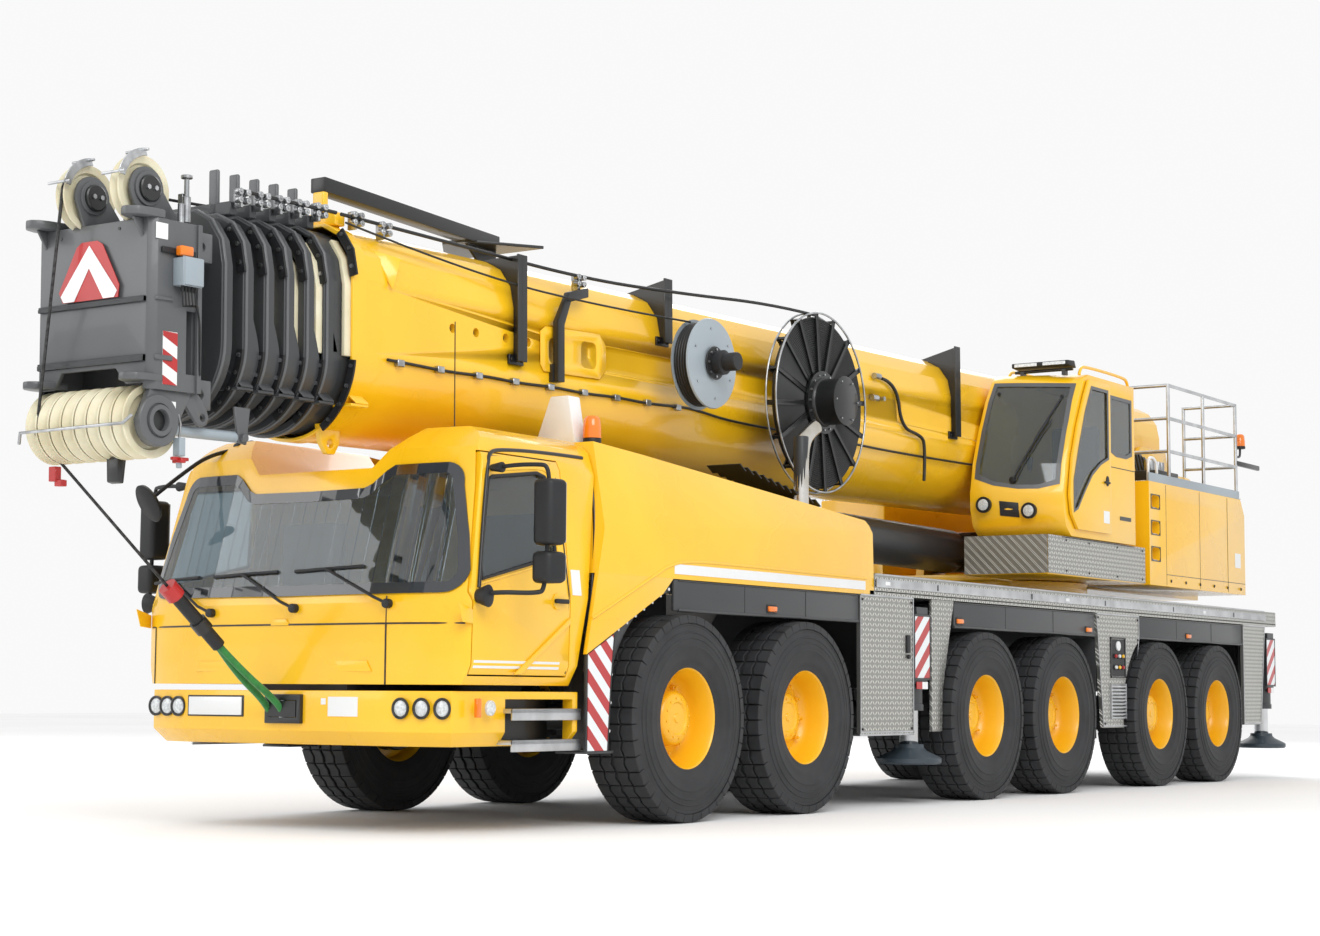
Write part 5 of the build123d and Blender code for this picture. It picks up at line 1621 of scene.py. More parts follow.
def carrier_cab():
    """Cab shell with its seams, strips, lamps, wipers, rails and roof fittings."""
    cab_shell()
    windscreen()
    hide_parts("carrier_cab_glass")
    across = [-1.36 + 2.73 * i / 14 for i in range(15)]
    tube_along("nose_seam", [(nose_x(y) + 0.001, y, 1.335) for y in across], 0.006, "black", "carrier",
               smooth=False)
    for y in (0.84, -1.30):
        tube_along("nose_split", [(nose_x(y) + 0.001, y, z) for z in (0.95, 1.335)], 0.006, "black",
                   "carrier", smooth=False)
    tube_along("nose_split_upper", [(nose_x(0.84) + 0.001, 0.84, 1.335),
                                    (nose_x(0.84) - 0.003, 0.84, 1.51)], 0.004,
               "black", "carrier", smooth=False)
    seat = on_nose("pressing", [(-0.80, 1.03), (0.74, 1.03), (0.70, 1.10), (-0.76, 1.10)], 0.0, 0.012)
    place(soften(seat, 0.005, 2, 35), M["yellow"], "carrier")
    handle = on_nose("nose_latch_lip", [(-0.12, 1.330), (0.04, 1.330), (0.02, 1.372), (-0.10, 1.372)],
                     -0.004, 0.014)
    place(soften(handle, 0.004, 2, 35), M["yellow"], "carrier")
    # wipers lie on the lower edge of the glass
    for i, (y, z, reach) in enumerate(((-0.66, 1.420, 0.48), (0.09, 1.440, 0.50), (0.86, 1.460, 0.54)), 1):
        tip = (y - reach, z + 0.235)
        base_x = nose_x(y) + 0.022
        arm = [(base_x, y, z), (base_x + 0.020, y - 0.10, z + 0.045),
               (screen_x(tip[0], tip[1]) + 0.045, tip[0], tip[1])]
        tube_along(f"wiper_arm_{i}", arm, 0.010, "plastic", "carrier", smooth=False)
        pivot = drum(f"wiper_pivot_{i}", "X", (base_x - 0.005, y, z), 0.030, 0.055, 20)
        place(soften(pivot, 0.008, 2, 40), M["plastic"], "carrier")
        ends = [(tip[0] - 0.28, tip[1] - 0.012), (tip[0] + 0.30, tip[1] + 0.010)]
        blade = [(screen_x(a, b) + 0.022, a, b) for a, b in (ends[0], tip, ends[1])]
        tube_along(f"wiper_blade_{i}", blade, 0.011, "plastic", "carrier", smooth=False)
    # roof: marker lamps, antenna, beacon, bracket, drip rails
    lamps = [block("lamp", (6.255, 0.83, 2.395), (6.300, 0.99, 2.455))]
    mirrored("roof_marker_lamps", lamps, "lens", "carrier", 0.012)
    tube_along("roof_antenna", [(6.02, 0.86, 2.62), (6.03, 0.86, 3.35)], 0.004, "black", "carrier",
               smooth=False)
    foot = drum("antenna_foot", "Z", (6.02, 0.86, 2.635), 0.035, 0.03, 16)
    place(soften(foot, 0.01, 2, 40), M["plastic"], "carrier")
    beacon_x, beacon_y = 4.76, 1.08
    base = drum("beacon_base", "Z", (beacon_x, beacon_y, 2.655), 0.065, 0.05, 28)
    place(soften(base, 0.008, 2, 40), M["plastic"], "carrier")
    dome = turned("beacon_dome", [(0.0, 0.16), (0.040, 0.155), (0.058, 0.135), (0.064, 0.08), (0.066, 0.0),
                                  (0.0, 0.0)],
                  (beacon_x, beacon_y, 2.68), "Z", steps=32)
    shade(dome, 40)
    place(dome, M["orange"], "carrier")
    cover = plate("roof_light_cover", [(4.70, 0.62, 2.60), (4.70, 1.00, 2.60), (4.74, 0.96, 2.98),
                                       (4.74, 0.80, 2.98)],
                  (0.14, 0, 0))
    place(soften(cover, 0.012, 2, 35), M["white"], "carrier")
    rail = [(6.44, cab_side_y(1.56) + 0.004, 1.56), (6.36, cab_side_y(1.9) + 0.006, 1.95),
            (6.25, cab_side_y(2.36) + 0.006, 2.35), (6.19, cab_side_y(2.44) + 0.010, 2.445),
            (6.05, cab_side_y(2.48) + 0.014, 2.475), (5.55, cab_side_y(2.50) + 0.014, 2.50),
            (5.12, cab_side_y(2.50) + 0.014, 2.50)]
    tube_along("drip_rail", rail, 0.014, "black", "carrier", twin=True)
    rear = [(5.30, CAB_HALF + 0.008, 1.05), (5.22, CAB_HALF + 0.008, 1.53),
            (5.05, cab_side_y(2.3) + 0.008, 2.30),
            (5.02, cab_side_y(2.56) - 0.01, 2.56)]
    tube_along("cab_rear_seal", rear, 0.012, "black", "carrier", twin=True)
    # small corner panel under the windscreen's end
    corner = [plate("corner", [(6.50, CAB_HALF - 0.004, 1.42), (6.64, CAB_HALF - 0.004, 1.46),
                               (6.60, CAB_HALF - 0.004, 1.34),
                               (6.50, CAB_HALF - 0.004, 1.33)], (0, 0.010, 0))]
    mirrored("cab_corner_panels", corner, "yellow", "carrier", 0.004)


def overhead_mirror():
    """Oval front mirror on a black arm over the right roof corner."""
    head = turned("front_view_mirror", [(0.0, -0.035), (0.09, -0.032), (0.135, -0.012), (0.145, 0.012),
                                        (0.130, 0.022), (0.0, 0.022)],
                  (0, 0, 0), "X", steps=32)
    head.data.transform(Matrix.Translation((6.80, -1.15, 2.17)) @ Matrix.Rotation(math.radians(35), 4, "Y"))
    head.data.transform(Matrix.Translation((6.80, -1.15, 2.17)) @ Matrix.Scale(0.62, 4, (0, 1, 0))
                        @ Matrix.Translation((-6.80, 1.15, -2.17)))
    shade(head, 50)
    place(head, M["plastic"], "carrier")
    tube_along("front_mirror_arm", [(6.12, -0.92, 2.585), (6.34, -1.00, 2.56), (6.62, -1.10, 2.34),
                                    (6.78, -1.15, 2.20)],
               0.014, "plastic", "carrier")
    boot = cone("front_mirror_boot", "X", (6.14, -0.92, 2.59), 0.065, 0.030, 0.16, 20)
    place(soften(boot, 0.008, 2, 40), M["plastic"], "carrier")


def cab_doors():
    """Door skins with window seals, handles, strips, labels and mirrors."""
    for side, s in (("left", 1), ("right", -1)):
        body = f"carrier_door_{side}"
        flip = s < 0

        def add(obj, finish, width=0.0):
            if flip:
                flipped(obj)
            if width:
                soften(obj, width, 2, 35)
            return place(obj, M[finish], body)

        def run(name, points, radius, finish, smooth=True, sides=8):
            return hose(name, [(x, s * y, z) for x, y, z in points], radius, M[finish], body, sides, smooth)

        window = [(5.585, 1.80), (5.70, 1.775), (6.395, 1.615), (6.40, 1.72), (6.25, 2.262), (6.20, 2.285),
                  (5.72, 2.345), (5.635, 2.325), (5.605, 2.27)]
        glass = plate(f"door_glass_{side}", [(x, cab_side_y(z) - 0.022, z) for x, z in window], (0, 0.006, 0))
        add(glass, "glass")
        seal = [(x, cab_side_y(z) + 0.000, z) for x, z in window]
        run(f"door_window_seal_{side}", seal + [seal[0]], 0.013, "plastic", False)
        frame_line = [(5.555, 1.765), (5.57, 2.30), (5.60, 2.365), (5.70, 2.385), (6.22, 2.325)]
        run(f"door_frame_bead_{side}", [(x, cab_side_y(z) - 0.002, z) for x, z in frame_line], 0.012,
            "yellow")
        run(f"door_belt_bead_{side}", [(x, cab_side_y(z) - 0.002, z)
                                       for x, z in ((6.42, 1.585), (5.70, 1.745), (5.555, 1.765))],
            0.011, "yellow", False)
        edge = [(5.47, 1.03), (5.47, 1.55), (5.50, 2.30), (5.54, 2.42), (5.62, 2.452), (6.20, 2.42)]
        run(f"door_gap_{side}", [(x, cab_side_y(z) + 0.001, z) for x, z in edge], 0.005, "black", False)
        crease = plate("crease", [(5.46, CAB_HALF - 0.006, 1.40), (5.46, CAB_HALF - 0.006, 1.355),
                                  (5.98, CAB_HALF - 0.016, 1.02), (6.06, CAB_HALF - 0.016, 1.02)],
                       (0, 0.018, 0))
        crease.name = f"door_crease_{side}"
        add(crease, "yellow", 0.006)
        grip = soften(block("grip", (5.515, CAB_HALF + 0.016, 1.487), (5.665, CAB_HALF + 0.044, 1.518)),
                      0.012, 3, 40)
        pan = drum("pan", "Y", (5.60, CAB_HALF + 0.002, 1.502), 0.055, 0.012, 28)
        grip.name, pan.name = f"door_handle_{side}", f"door_handle_pan_{side}"
        add(grip, "plastic")
        add(pan, "yellow", 0.003)
        strip_white = block(f"door_white_strip_{side}", (5.56, CAB_HALF - 0.030, 1.055),
                            (6.47, CAB_HALF - 0.004, 1.105))
        for vertex in strip_white.data.vertices:
            vertex.co.y = cab_side_y(vertex.co.z) + (0.003 if vertex.co.y > CAB_HALF - 0.02 else -0.01)
        add(strip_white, "white")
        label = block(f"door_blank_label_{side}", (5.33, CAB_HALF - 0.01, 1.55),
                      (5.43, CAB_HALF - 0.002, 1.72))
        for vertex in label.data.vertices:
            vertex.co.y = cab_side_y(vertex.co.z) + (0.004 if vertex.co.y > CAB_HALF - 0.005 else -0.005)
        if flip:
            flipped(label)
        place(label, M["white"], "carrier")
        # mirrors: rounded heads, their glass behind, bent arms in rubber boots
        for tag, z0, z1, x0, x1 in (("large", 1.83, 2.25, 6.10, 6.25), ("small", 1.59, 1.79, 6.10, 6.26)):
            head = block(f"mirror_{tag}_{side}", (x0, CAB_HALF + 0.235, z0), (x1, CAB_HALF + 0.445, z1))
            for vertex in head.data.vertices:
                if vertex.co.x > x1 - 0.01:
                    vertex.co.y += 0.035 if vertex.co.y < CAB_HALF + 0.3 else -0.035
            add(soften(head, 0.035, 4, 40), "plastic")
            pane = block(f"mirror_{tag}_glass_{side}", (x0 - 0.004, CAB_HALF + 0.255, z0 + 0.02),
                         (x0 + 0.01, CAB_HALF + 0.425, z1 - 0.02))
            add(pane, "mirror")
        run(f"mirror_upper_arm_{side}", [(6.24, CAB_HALF - 0.06, 2.33), (6.25, CAB_HALF + 0.09, 2.345),
                                         (6.20, CAB_HALF + 0.28, 2.345), (6.17, CAB_HALF + 0.335, 2.335),
                                         (6.17, CAB_HALF + 0.34, 2.24)], 0.014, "plastic")
        run(f"mirror_lower_arm_{side}", [(6.45, CAB_HALF + 0.01, 1.515), (6.44, CAB_HALF + 0.13, 1.53),
                                         (6.24, CAB_HALF + 0.30, 1.525), (6.19, CAB_HALF + 0.34, 1.55),
                                         (6.18, CAB_HALF + 0.34, 1.85)], 0.015, "plastic")
        for name, x, z, r in ((f"mirror_lower_boot_{side}", 6.455, 1.505, 0.055),
                              (f"mirror_upper_boot_{side}", 6.245, 2.335, 0.036)):
            boot = cone(name, "Y", (x, CAB_HALF + (0.045 if z < 2 else -0.02), z), r, r * 0.55, 0.10, 24)
            taller = Matrix.Scale(1.35 if z < 2 else 1.0, 4, (0, 0, 1))
            boot.data.transform(Matrix.Translation((x, 0, z)) @ taller @ Matrix.Translation((-x, 0, -z)))
            add(boot, "plastic", 0.008)


def bumper():
    """Bumper bar, lamps, blank plate, tow box, steps and corner markers."""
    bumper_form()
    front = CAB_FRONT - 0.020
    for s in (-1, 1):
        for i, y in enumerate((0.970, 1.110, 1.250)):
            x = front - 0.25 * max(0.0, y - 0.900) + 0.012
            tag = f"{'left' if s > 0 else 'right'}_{i + 1}"
            bezel = turned(f"lamp_bezel_{tag}",
                           [(0.050, 0.0), (0.068, 0.0), (0.068, 0.010), (0.060, 0.014), (0.050, 0.006)],
                           (x, s * y, 0.80), "X", steps=32, closed=True)
            shade(bezel, 35)
            place(bezel, M["black"], "carrier")
            bowl = turned(f"lamp_lens_{tag}", [(0.0, 0.016), (0.030, 0.013), (0.052, 0.004), (0.052, -0.01),
                                               (0.0, -0.01)],
                          (x, s * y, 0.80), "X", steps=32)
            shade(bowl, 60)
            place(bowl, M["lens"], "carrier")
    number = block("blank_number_plate", (front + 0.001, -0.86, 0.745), (front + 0.012, -0.38, 0.865))
    place(soften(number, 0.004, 2, 40), M["white"], "carrier")
    rim = block("number_plate_holder", (front - 0.004, -0.875, 0.735), (front + 0.006, -0.365, 0.875))
    place(soften(rim, 0.004, 1, 40), M["black"], "carrier")
    # black plate across the tow box's mouth: painted shade of the mouth's inside, in the box's own black
    mouth_shade_plate = block("tow_box_mouth", (front + 0.022, -0.118, 0.738), (front + 0.032, 0.118, 0.842))
    place(mouth_shade_plate, M["black"], "carrier")
    shell = block("tow_box_face", (front - 0.05, -0.155, 0.695), (front + 0.030, 0.155, 0.885))
    cut(shell, block("mouth", (front - 0.02, -0.12, 0.735), (front + 0.10, 0.12, 0.845)))
    place(soften(shell, 0.006, 2, 35), M["black"], "carrier")
    pin = drum("tow_pin", "Z", (front + 0.005, -0.02, 0.79), 0.022, 0.16, 16)
    place(pin, M["zinc"], "carrier")
    labels = [block("label", (front, 0.37, 0.745), (front + 0.003, 0.62, 0.870)),
              block("label", (front, 0.31, 0.82), (front + 0.003, 0.35, 0.86))]
    place(fuse("bumper_blank_labels", labels), M["white"], "carrier")
    marker = block("marker", (6.395, 1.372, 0.745), (6.425, 1.412, 0.865))
    mirrored("corner_markers", [marker], "orange", "carrier", 0.006)
    lamp = turned("corner_lamp", [(0.0, 0.030), (0.030, 0.027), (0.048, 0.014), (0.050, 0.0), (0.0, 0.0)],
                  (6.28, 1.385, 0.805), "Y", steps=28)
    mirrored("corner_lamps", [lamp], "lens", "carrier")
    # aluminium steps under each door
    treads = []
    for z in (0.570, 0.770):
        treads.append(block("tread", (5.33, 1.20, z), (6.08, 1.415, z + 0.030)))
        treads.append(block("lip", (5.33, 1.400, z - 0.045), (6.08, 1.415, z + 0.03)))
    mirrored("door_steps", treads, "aluminium", "carrier", 0.004)
    kick = [block("kick", (5.42, 1.19, 0.56), (6.04, 1.20, 0.90))]
    mirrored("door_step_backs", kick, "black", "carrier")


def hoods():
    """Side hoods with their raised folds, white strips, grilles and the exhaust."""
    hood_forms()
    refined("engine_and_exhaust", "frame", 0.01, 2, 25)
    strip_white = [block("strip", (1.46, 1.449, 1.745), (4.26, 1.4535, 1.815))]
    mirrored("hood_white_strips", strip_white, "white", "carrier")
    tube_along("hood_fold", [(5.26, 1.447, 1.40), (4.46, 1.447, 1.74), (4.36, 1.447, 1.79),
                             (4.10, 1.447, 1.845),
                             (3.4, 1.447, 1.848), (1.44, 1.447, 1.838)], 0.012, "yellow", "carrier",
               twin=True)
    slats = []
    for i in range(11):
        x = 1.70 + 0.115 * i
        z = 2.415 + 0.019 * i
        slats.append(plate("slat", [(x, 0.88, z), (x + 0.09, 0.88, z + 0.05), (x + 0.10, 0.88, z + 0.045),
                                    (x + 0.012, 0.88, z - 0.006)],
                           (0, 0.30, 0)))
    mirrored("hood_grille_slats", slats, "plastic", "carrier")
    stack = [(2.02, 1.18, 2.20), (2.02, 1.18, 2.66), (2.01, 1.18, 2.86), (1.93, 1.18, 2.98),
             (1.80, 1.18, 3.04)]
    tube_along("exhaust_pipe", stack, 0.062, "stainless", "carrier", 24)


carrier_cab()
overhead_mirror()
cab_doors()
bumper()
hoods()


# ------------------------------------------------------------------ carrier sides
SIDE = 1.450                     # the carrier's side panels
AXLE_1_X = 4.150
LINER_SWEEP = TYRE_RADIUS + 0.162    # clears the tyre at full lock
BEAM_X = {"front": 0.450, "rear": -8.250}    # middle of each left outrigger beam
BEAM_PITCH = 0.320               # the right beam lies this far ahead of the left one
BEAM_INSET = 0.018               # a beam's end behind the side panels
JACK_INSET = 0.135               # a jack's middle behind the side panels
FLOAT_Z = 0.330


def face_plate(name, points, thick=0.006, out=0.0):
    """A thin plate on the left side face, from (x, z) points."""
    return plate(name, [(x, SIDE + out, z) for x, z in points], (0, thick, 0))


def stripe_panels():
    """Dark curved liner ahead of the first wheel and the red and white film on its marker panel."""
    liner = plate("liner", [(4.200, 1.13, 1.700), (4.270, 1.13, 1.700), (4.400, 1.13, 1.590),
                            (4.960, 1.13, 1.315), (5.040, 1.13, 1.040),
                            (5.100, 1.13, 0.520), (5.010, 1.13, 0.520), (4.200, 1.13, 1.550)], (0, 0.285, 0))
    cut(liner, drum("sweep", "Y", (AXLE_1_X, 1.3, TYRE_RADIUS), LINER_SWEEP, 1.2, 64))
    mirrored("front_wheel_liner", [liner], "dark", "carrier", 0.006)
    board = face_plate("board", [(4.985, 1.312), (5.310, 1.158), (5.310, 0.510), (5.060, 0.510)], 0.025,
                       -0.030)
    mirrored("side_marker_board", [board], "dark", "carrier", 0.004)
    film = face_plate("film", [(5.005, 1.298), (5.300, 1.160), (5.300, 0.520), (5.072, 0.520)], 0.004, -0.004)
    mirrored("side_stripe_film", [film], "stripes", "carrier")
    edge = [(4.995, SIDE - 0.004, 1.300), (5.035, SIDE - 0.004, 1.04), (5.068, SIDE - 0.004, 0.515)]
    tube_along("side_stripe_edge", edge, 0.009, "black", "carrier", twin=True)
    shelf = [block("shelf", (5.00, 1.20, 0.500), (5.32, 1.452, 0.518))]
    mirrored("side_stripe_foot", shelf, "dark", "carrier", 0.004)


def arch_details():
    """Panels over the wheels with their rolled lower edge, rivets, seams and orange side lamps."""
    refined("arch_panels", "dark", 0.010, 2, 25)
    spans = ((1.56, 4.20), (-3.18, -0.14), (-7.30, -4.31))
    seams = []
    for x0, x1 in spans:
        tube_along("arch_lower_edge", [(x0, 1.440, 1.490), (x1, 1.440, 1.490)], 0.012, "dark", "carrier",
                   smooth=False, twin=True)
        tube_along("arch_upper_edge", [(x0, 1.444, 1.700), (x1, 1.444, 1.700)], 0.007, "black", "carrier",
                   smooth=False, twin=True)
        for f in (0.32, 0.66):
            x = x0 + (x1 - x0) * f
            seams.append(block("seam", (x - 0.003, 1.4445, 1.495), (x + 0.003, 1.447, 1.700)))
    mirrored("arch_panel_seams", seams, "black", "carrier")
    lamps, rims = [], []
    for x in (2.92, -0.24, -3.02, -5.65):
        lamps.append(soften(block("lamp", (x - 0.060, 1.440, 1.520), (x + 0.060, 1.466, 1.562)), 0.010, 3,
                            40))
        rims.append(block("rim", (x - 0.072, 1.438, 1.508), (x + 0.072, 1.450, 1.574)))
    mirrored("side_marker_lamps", lamps, "orange", "carrier")
    mirrored("side_marker_rims", rims, "plastic", "carrier", 0.004)
    spots = [(4.30 + 0.62 * i / 6, 1.635 - 0.300 * i / 6) for i in range(7)]
    spots += [(4.985 + 0.012 * i, 1.22 - 0.19 * i) for i in range(4)]
    rivets = [cone("rivet", "Y", (x, 1.424, z), 0.011, 0.006, 0.014, 10) for x, z in spots]
    mirrored("front_liner_rivets", rivets, "white", "carrier")
    flaps = []
    for x, z in ((-0.02, 0.52), (-3.26, 0.50)):
        flaps.append(block("flap", (x + 0.005, 1.06, z), (x + 0.017, 1.42, 1.46)))
    mirrored("mud_flaps", flaps, "rubber", "carrier", 0.003)


def deck_details():
    """Edge rail with its silver strip, tread panels' frames and bolts, ladders, step and latches."""
    edge = [block("edge", (-8.42, 1.425, 1.735), (1.30, 1.450, 1.880)),
            block("edge", (-8.42, -1.40, 1.735), (-8.40, 1.40, 1.82))]
    mirrored("deck_edge_rail", edge, "tread_plate", "carrier", 0.003)
    wedge = plate("wedge", [(0.285, 1.420, 0.60), (0.285, 1.420, 1.712), (-0.130, 1.420, 1.712),
                            (0.085, 1.420, 0.95), (0.100, 1.420, 0.60)], (0, 0.030, 0))
    mirrored("narrow_tread_panel", [wedge], "tread_plate", "carrier", 0.003)
    strip_parts = [block("strip", (-8.05, 1.4605, 1.775), (-1.705, 1.4650, 1.845)),
                   block("strip", (-1.695, 1.4605, 1.775), (1.29, 1.4650, 1.845))]
    mirrored("deck_silver_strip", strip_parts, "aluminium", "carrier", 0.0015)
    marks = [block("mark", (x - 0.012, 1.4645, 1.785), (x + 0.012, 1.4665, 1.835))
             for x in (-7.0, -5.2, -3.4, -1.70, 0.2)]
    mirrored("deck_strip_marks", marks, "black", "carrier")
    reflectors = [block("reflector", (x - 0.04, 1.4635, 1.795), (x + 0.04, 1.4675, 1.825))
                  for x in (-6.1, -2.5, 1.10)]
    mirrored("deck_reflectors", reflectors, "white", "carrier", 0.001)
    tube_along("deck_edge_bead", [(-8.05, 1.443, 1.880), (1.29, 1.443, 1.880)], 0.009, "aluminium",
               "carrier", smooth=False, twin=True)
    beads, rear_beads, bolts = [], [], []
    for points in (((0.63, 0.60), (0.63, 1.70), (1.54, 1.70), (1.54, 0.60)),
                   ((-3.36, 0.61), (-3.215, 1.70), (-4.28, 1.70), (-4.28, 1.50), (-4.065, 0.61)),
                   ((-7.32, 0.61), (-7.32, 1.70), (-8.03, 1.70), (-7.865, 0.61))):
        ring = [(x, SIDE + 0.003, z) for x, z in points]
        rear = points[0][0] < -7         # on the right, the rear beam comes out through this panel
        for a, b in zip(ring, ring[1:] + ring[:1]):
            move = (0, 0, 0.012) if abs(a[0] - b[0]) > 0.3 else (0.012, 0, 0)
            back = [tuple(p + q for p, q in zip(end, move)) for end in (b, a)]
            (rear_beads if rear else beads).append(plate("bead", [a, b] + back, (0, 0.004, 0)))
        middle = sum(x for x, z in points) / len(points)
        for x, z in () if rear else points:
            bolts.append(drum("bolt", "Y", (x + (0.03 if x < middle else -0.03), SIDE + 0.004,
                                            z + (0.03 if z < 1.2 else -0.03)), 0.010, 0.012, 8))
    mirrored("tread_panel_edges", beads, "aluminium", "carrier")
    place(fuse("rear_tread_panel_edges", rear_beads), M["aluminium"], "carrier")
    mirrored("tread_panel_bolts", bolts, "black", "carrier")
    # latch and lower step edge of the front panel
    latch = [soften(block("latch", (0.70, SIDE, 1.25), (0.76, SIDE + 0.016, 1.40)), 0.012, 3, 40),
             drum("lock", "Y", (0.73, SIDE + 0.012, 1.22), 0.018, 0.018, 16)]
    place(fuse("front_panel_latches", latch), M["plastic"], "carrier")
    hem = [block("hem", (0.62, 1.30, 0.575), (1.55, 1.452, 0.592))]
    mirrored("front_panel_hem", hem, "aluminium", "carrier", 0.003)
    # two ladders lie flat on the deck beside the turntable
    for tag, x0, y0, z0 in (("lower", -2.55, 1.16, 1.765), ("upper", -2.30, 1.15, 1.835)):
        bars = [block("rail", (x0, y0, z0), (x0 + 1.90, y0 + 0.028, z0 + 0.055)),
                block("rail", (x0, y0 + 0.25, z0), (x0 + 1.90, y0 + 0.278, z0 + 0.055))]
        bars += [drum("rung", "Y", (x0 + 0.14 + 0.27 * i, y0 + 0.139, z0 + 0.028), 0.016, 0.25, 10)
                 for i in range(7)]
        place(soften(fuse(f"deck_ladder_{tag}", bars), 0.004, 1, 50), M["aluminium"], "carrier")


def control_station():
    """Outrigger control in its recess: black panel, switches, knobs and the louvre beneath."""
    for side, s in (("left", 1), ("right", -1)):
        back = block(f"control_panel_{side}", (-3.895, s * 1.452 - 0.003, 1.105),
                     (-3.565, s * 1.452 + 0.003, 1.465))
        place(soften(back, 0.002, 1, 40), M["plastic"], "carrier")
        knobs, reds, yellows, whites = [], [], [], []
        for i in range(3):
            for j in range(2):
                x, z = -3.82 + 0.09 * i, 1.19 + 0.11 * j
                knobs.append(drum("bezel", "Y", (x, s * 1.459, z), 0.026, 0.012, 20))
                (reds if (i + j) % 3 == 0 else yellows if (i + j) % 3 == 1 else whites).append(
                    drum("knob", "Y", (x, s * 1.468, z), 0.017, 0.030, 16))
        gauge = turned("gauge", [(0.0, 0.0), (0.048, 0.0), (0.048, 0.016), (0.040, 0.018), (0.0, 0.010)],
                       (-3.72, 1.454, 1.40), "Y", steps=28)
        if s < 0:
            flipped(gauge)
        place(soften(fuse(f"control_bezels_{side}", knobs), 0.003, 1, 40), M["plastic"], "carrier")
        place(soften(fuse(f"control_knobs_red_{side}", reds), 0.005, 2, 40), M["red"], "carrier")
        place(soften(fuse(f"control_knobs_yellow_{side}", yellows), 0.005, 2, 40), M["yellow"], "carrier")
        place(soften(fuse(f"control_knobs_white_{side}", whites + [gauge]), 0.003, 2, 40), M["white"],
              "carrier")
    slats = [plate("slat", [(-3.90, SIDE, z), (-3.90, SIDE + 0.016, z - 0.012),
                            (-3.90, SIDE + 0.016, z + 0.002), (-3.90, SIDE + 0.002, z + 0.016)], (0.36, 0, 0))
             for z in [0.70 + 0.034 * i for i in range(10)]]
    slats += [block("post", (-3.91, SIDE, 0.68), (-3.895, SIDE + 0.018, 1.03)),
              block("post", (-3.545, SIDE, 0.68), (-3.53, SIDE + 0.018, 1.03))]
    mirrored("side_louvre", slats, "aluminium", "carrier")
    lip = []
    for x0, x1, z0, z1 in ((-3.915, -3.545, 1.470, 1.485), (-3.915, -3.545, 1.085, 1.100),
                           (-3.915, -3.900, 1.085, 1.485),
                           (-3.560, -3.545, 1.085, 1.485)):
        lip.append(block("lip", (x0, SIDE - 0.004, z0), (x1, SIDE + 0.010, z1)))
    mirrored("control_recess_frame", lip, "black", "carrier")


def outrigger_ends():
    """Beam ends with striped markers, reflectors and jack collars; chromed jack rods and dished floats."""
    for node in ("front_left", "front_right", "rear_left", "rear_right"):
        end, side = node.split("_")
        s = 1 if side == "left" else -1
        x = BEAM_X[end] + (0.0 if s > 0 else BEAM_PITCH)
        arm, leg = f"outrigger_{node}", f"jack_{node}"
        refined(arm, "dark", 0.008, 2, 30)
        tip = SIDE - BEAM_INSET

        def bar(name, x0, x1, z0, z1, thick=0.010, out=0.0, inner=0.0):
            y0, y1 = sorted((s * (tip + out - inner), s * (tip + out + thick)))
            return block(name, (x + x0, y0, z0), (x + x1, y1, z1))

        board = bar(f"beam_marker_{node}", -0.135, 0.135, 1.045, 1.565, 0.008, 0.004)
        place(soften(board, 0.004, 1, 40), M["stripes_fine"], arm)
        edges = [bar("edge", -0.145, 0.145, 1.562, 1.580, 0.016),
                 bar("edge", -0.145, 0.145, 1.030, 1.046, 0.016),
                 bar("edge", -0.147, -0.135, 1.030, 1.58, 0.016),
                 bar("edge", 0.135, 0.147, 1.030, 1.58, 0.016),
                 bar("bracket", -0.10, 0.10, 1.58, 1.640, 0.012, 0.0, 0.06)]
        place(soften(fuse(f"beam_marker_frame_{node}", edges), 0.003, 1, 40), M["dark"], arm)
        for tag, start, finish in (("low", -0.100, "white"), ("red", 0.000, "red")):
            film = bar(f"beam_{tag}_reflector_{node}", start, start + 0.100, 0.955, 1.015, 0.006, 0.004)
            place(film, M[finish], arm)
        y = s * (SIDE - JACK_INSET)
        cap = turned(f"jack_cap_{node}", [(0.0, 0.075), (0.060, 0.072), (0.095, 0.050), (0.108, 0.010),
                                          (0.108, 0.0), (0.0, 0.0)],
                     (x, y, 1.560), "Z", steps=28)
        shade(cap, 40)
        place(cap, M["dark"], arm)
        ring = turned(f"jack_gland_{node}",
                      [(0.085, 0.0), (0.122, 0.0), (0.122, 0.050), (0.110, 0.062), (0.085, 0.062)],
                      (x, y, 0.775), "Z", steps=28, closed=True)
        shade(ring, 35)
        place(ring, M["dark"], arm)
        dish = turned(f"jack_float_{node}",
                      [(0.0, 0.0), (0.255, 0.0), (0.270, 0.014), (0.270, 0.048), (0.255, 0.060),
                       (0.150, 0.110), (0.125, 0.135), (0.120, 0.165), (0.0, 0.165)],
                      (x, y, FLOAT_Z), "Z", steps=40)
        shade(dish, 30)
        place(dish, M["float"], leg)
        rod = turned(f"jack_rod_{node}", [(0.0, 0.0), (0.074, 0.0), (0.080, 0.008), (0.080, 1.06),
                                          (0.0, 1.06)],
                     (x, y, FLOAT_Z + 0.150), "Z", steps=32)
        shade(rod, 40)
        place(rod, M["chrome"], leg)
        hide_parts(leg)
        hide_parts(leg)


stripe_panels()
arch_details()
deck_details()
control_station()
outrigger_ends()


# ------------------------------------------------------------------ crane cab
CRANE_PROFILE = [(-4.320, 2.430), (-2.420, 2.430), (-2.300, 2.520), (-2.245, 2.680), (-2.240, 2.830),
                 (-2.300, 3.120),
                 (-2.430, 3.450), (-2.590, 3.760), (-2.740, 3.970), (-2.860, 4.040), (-4.320, 4.040)]


CRANE_INNER_Y, CRANE_OUTER_Y, CRANE_WALL = 0.580, 1.415, 0.045


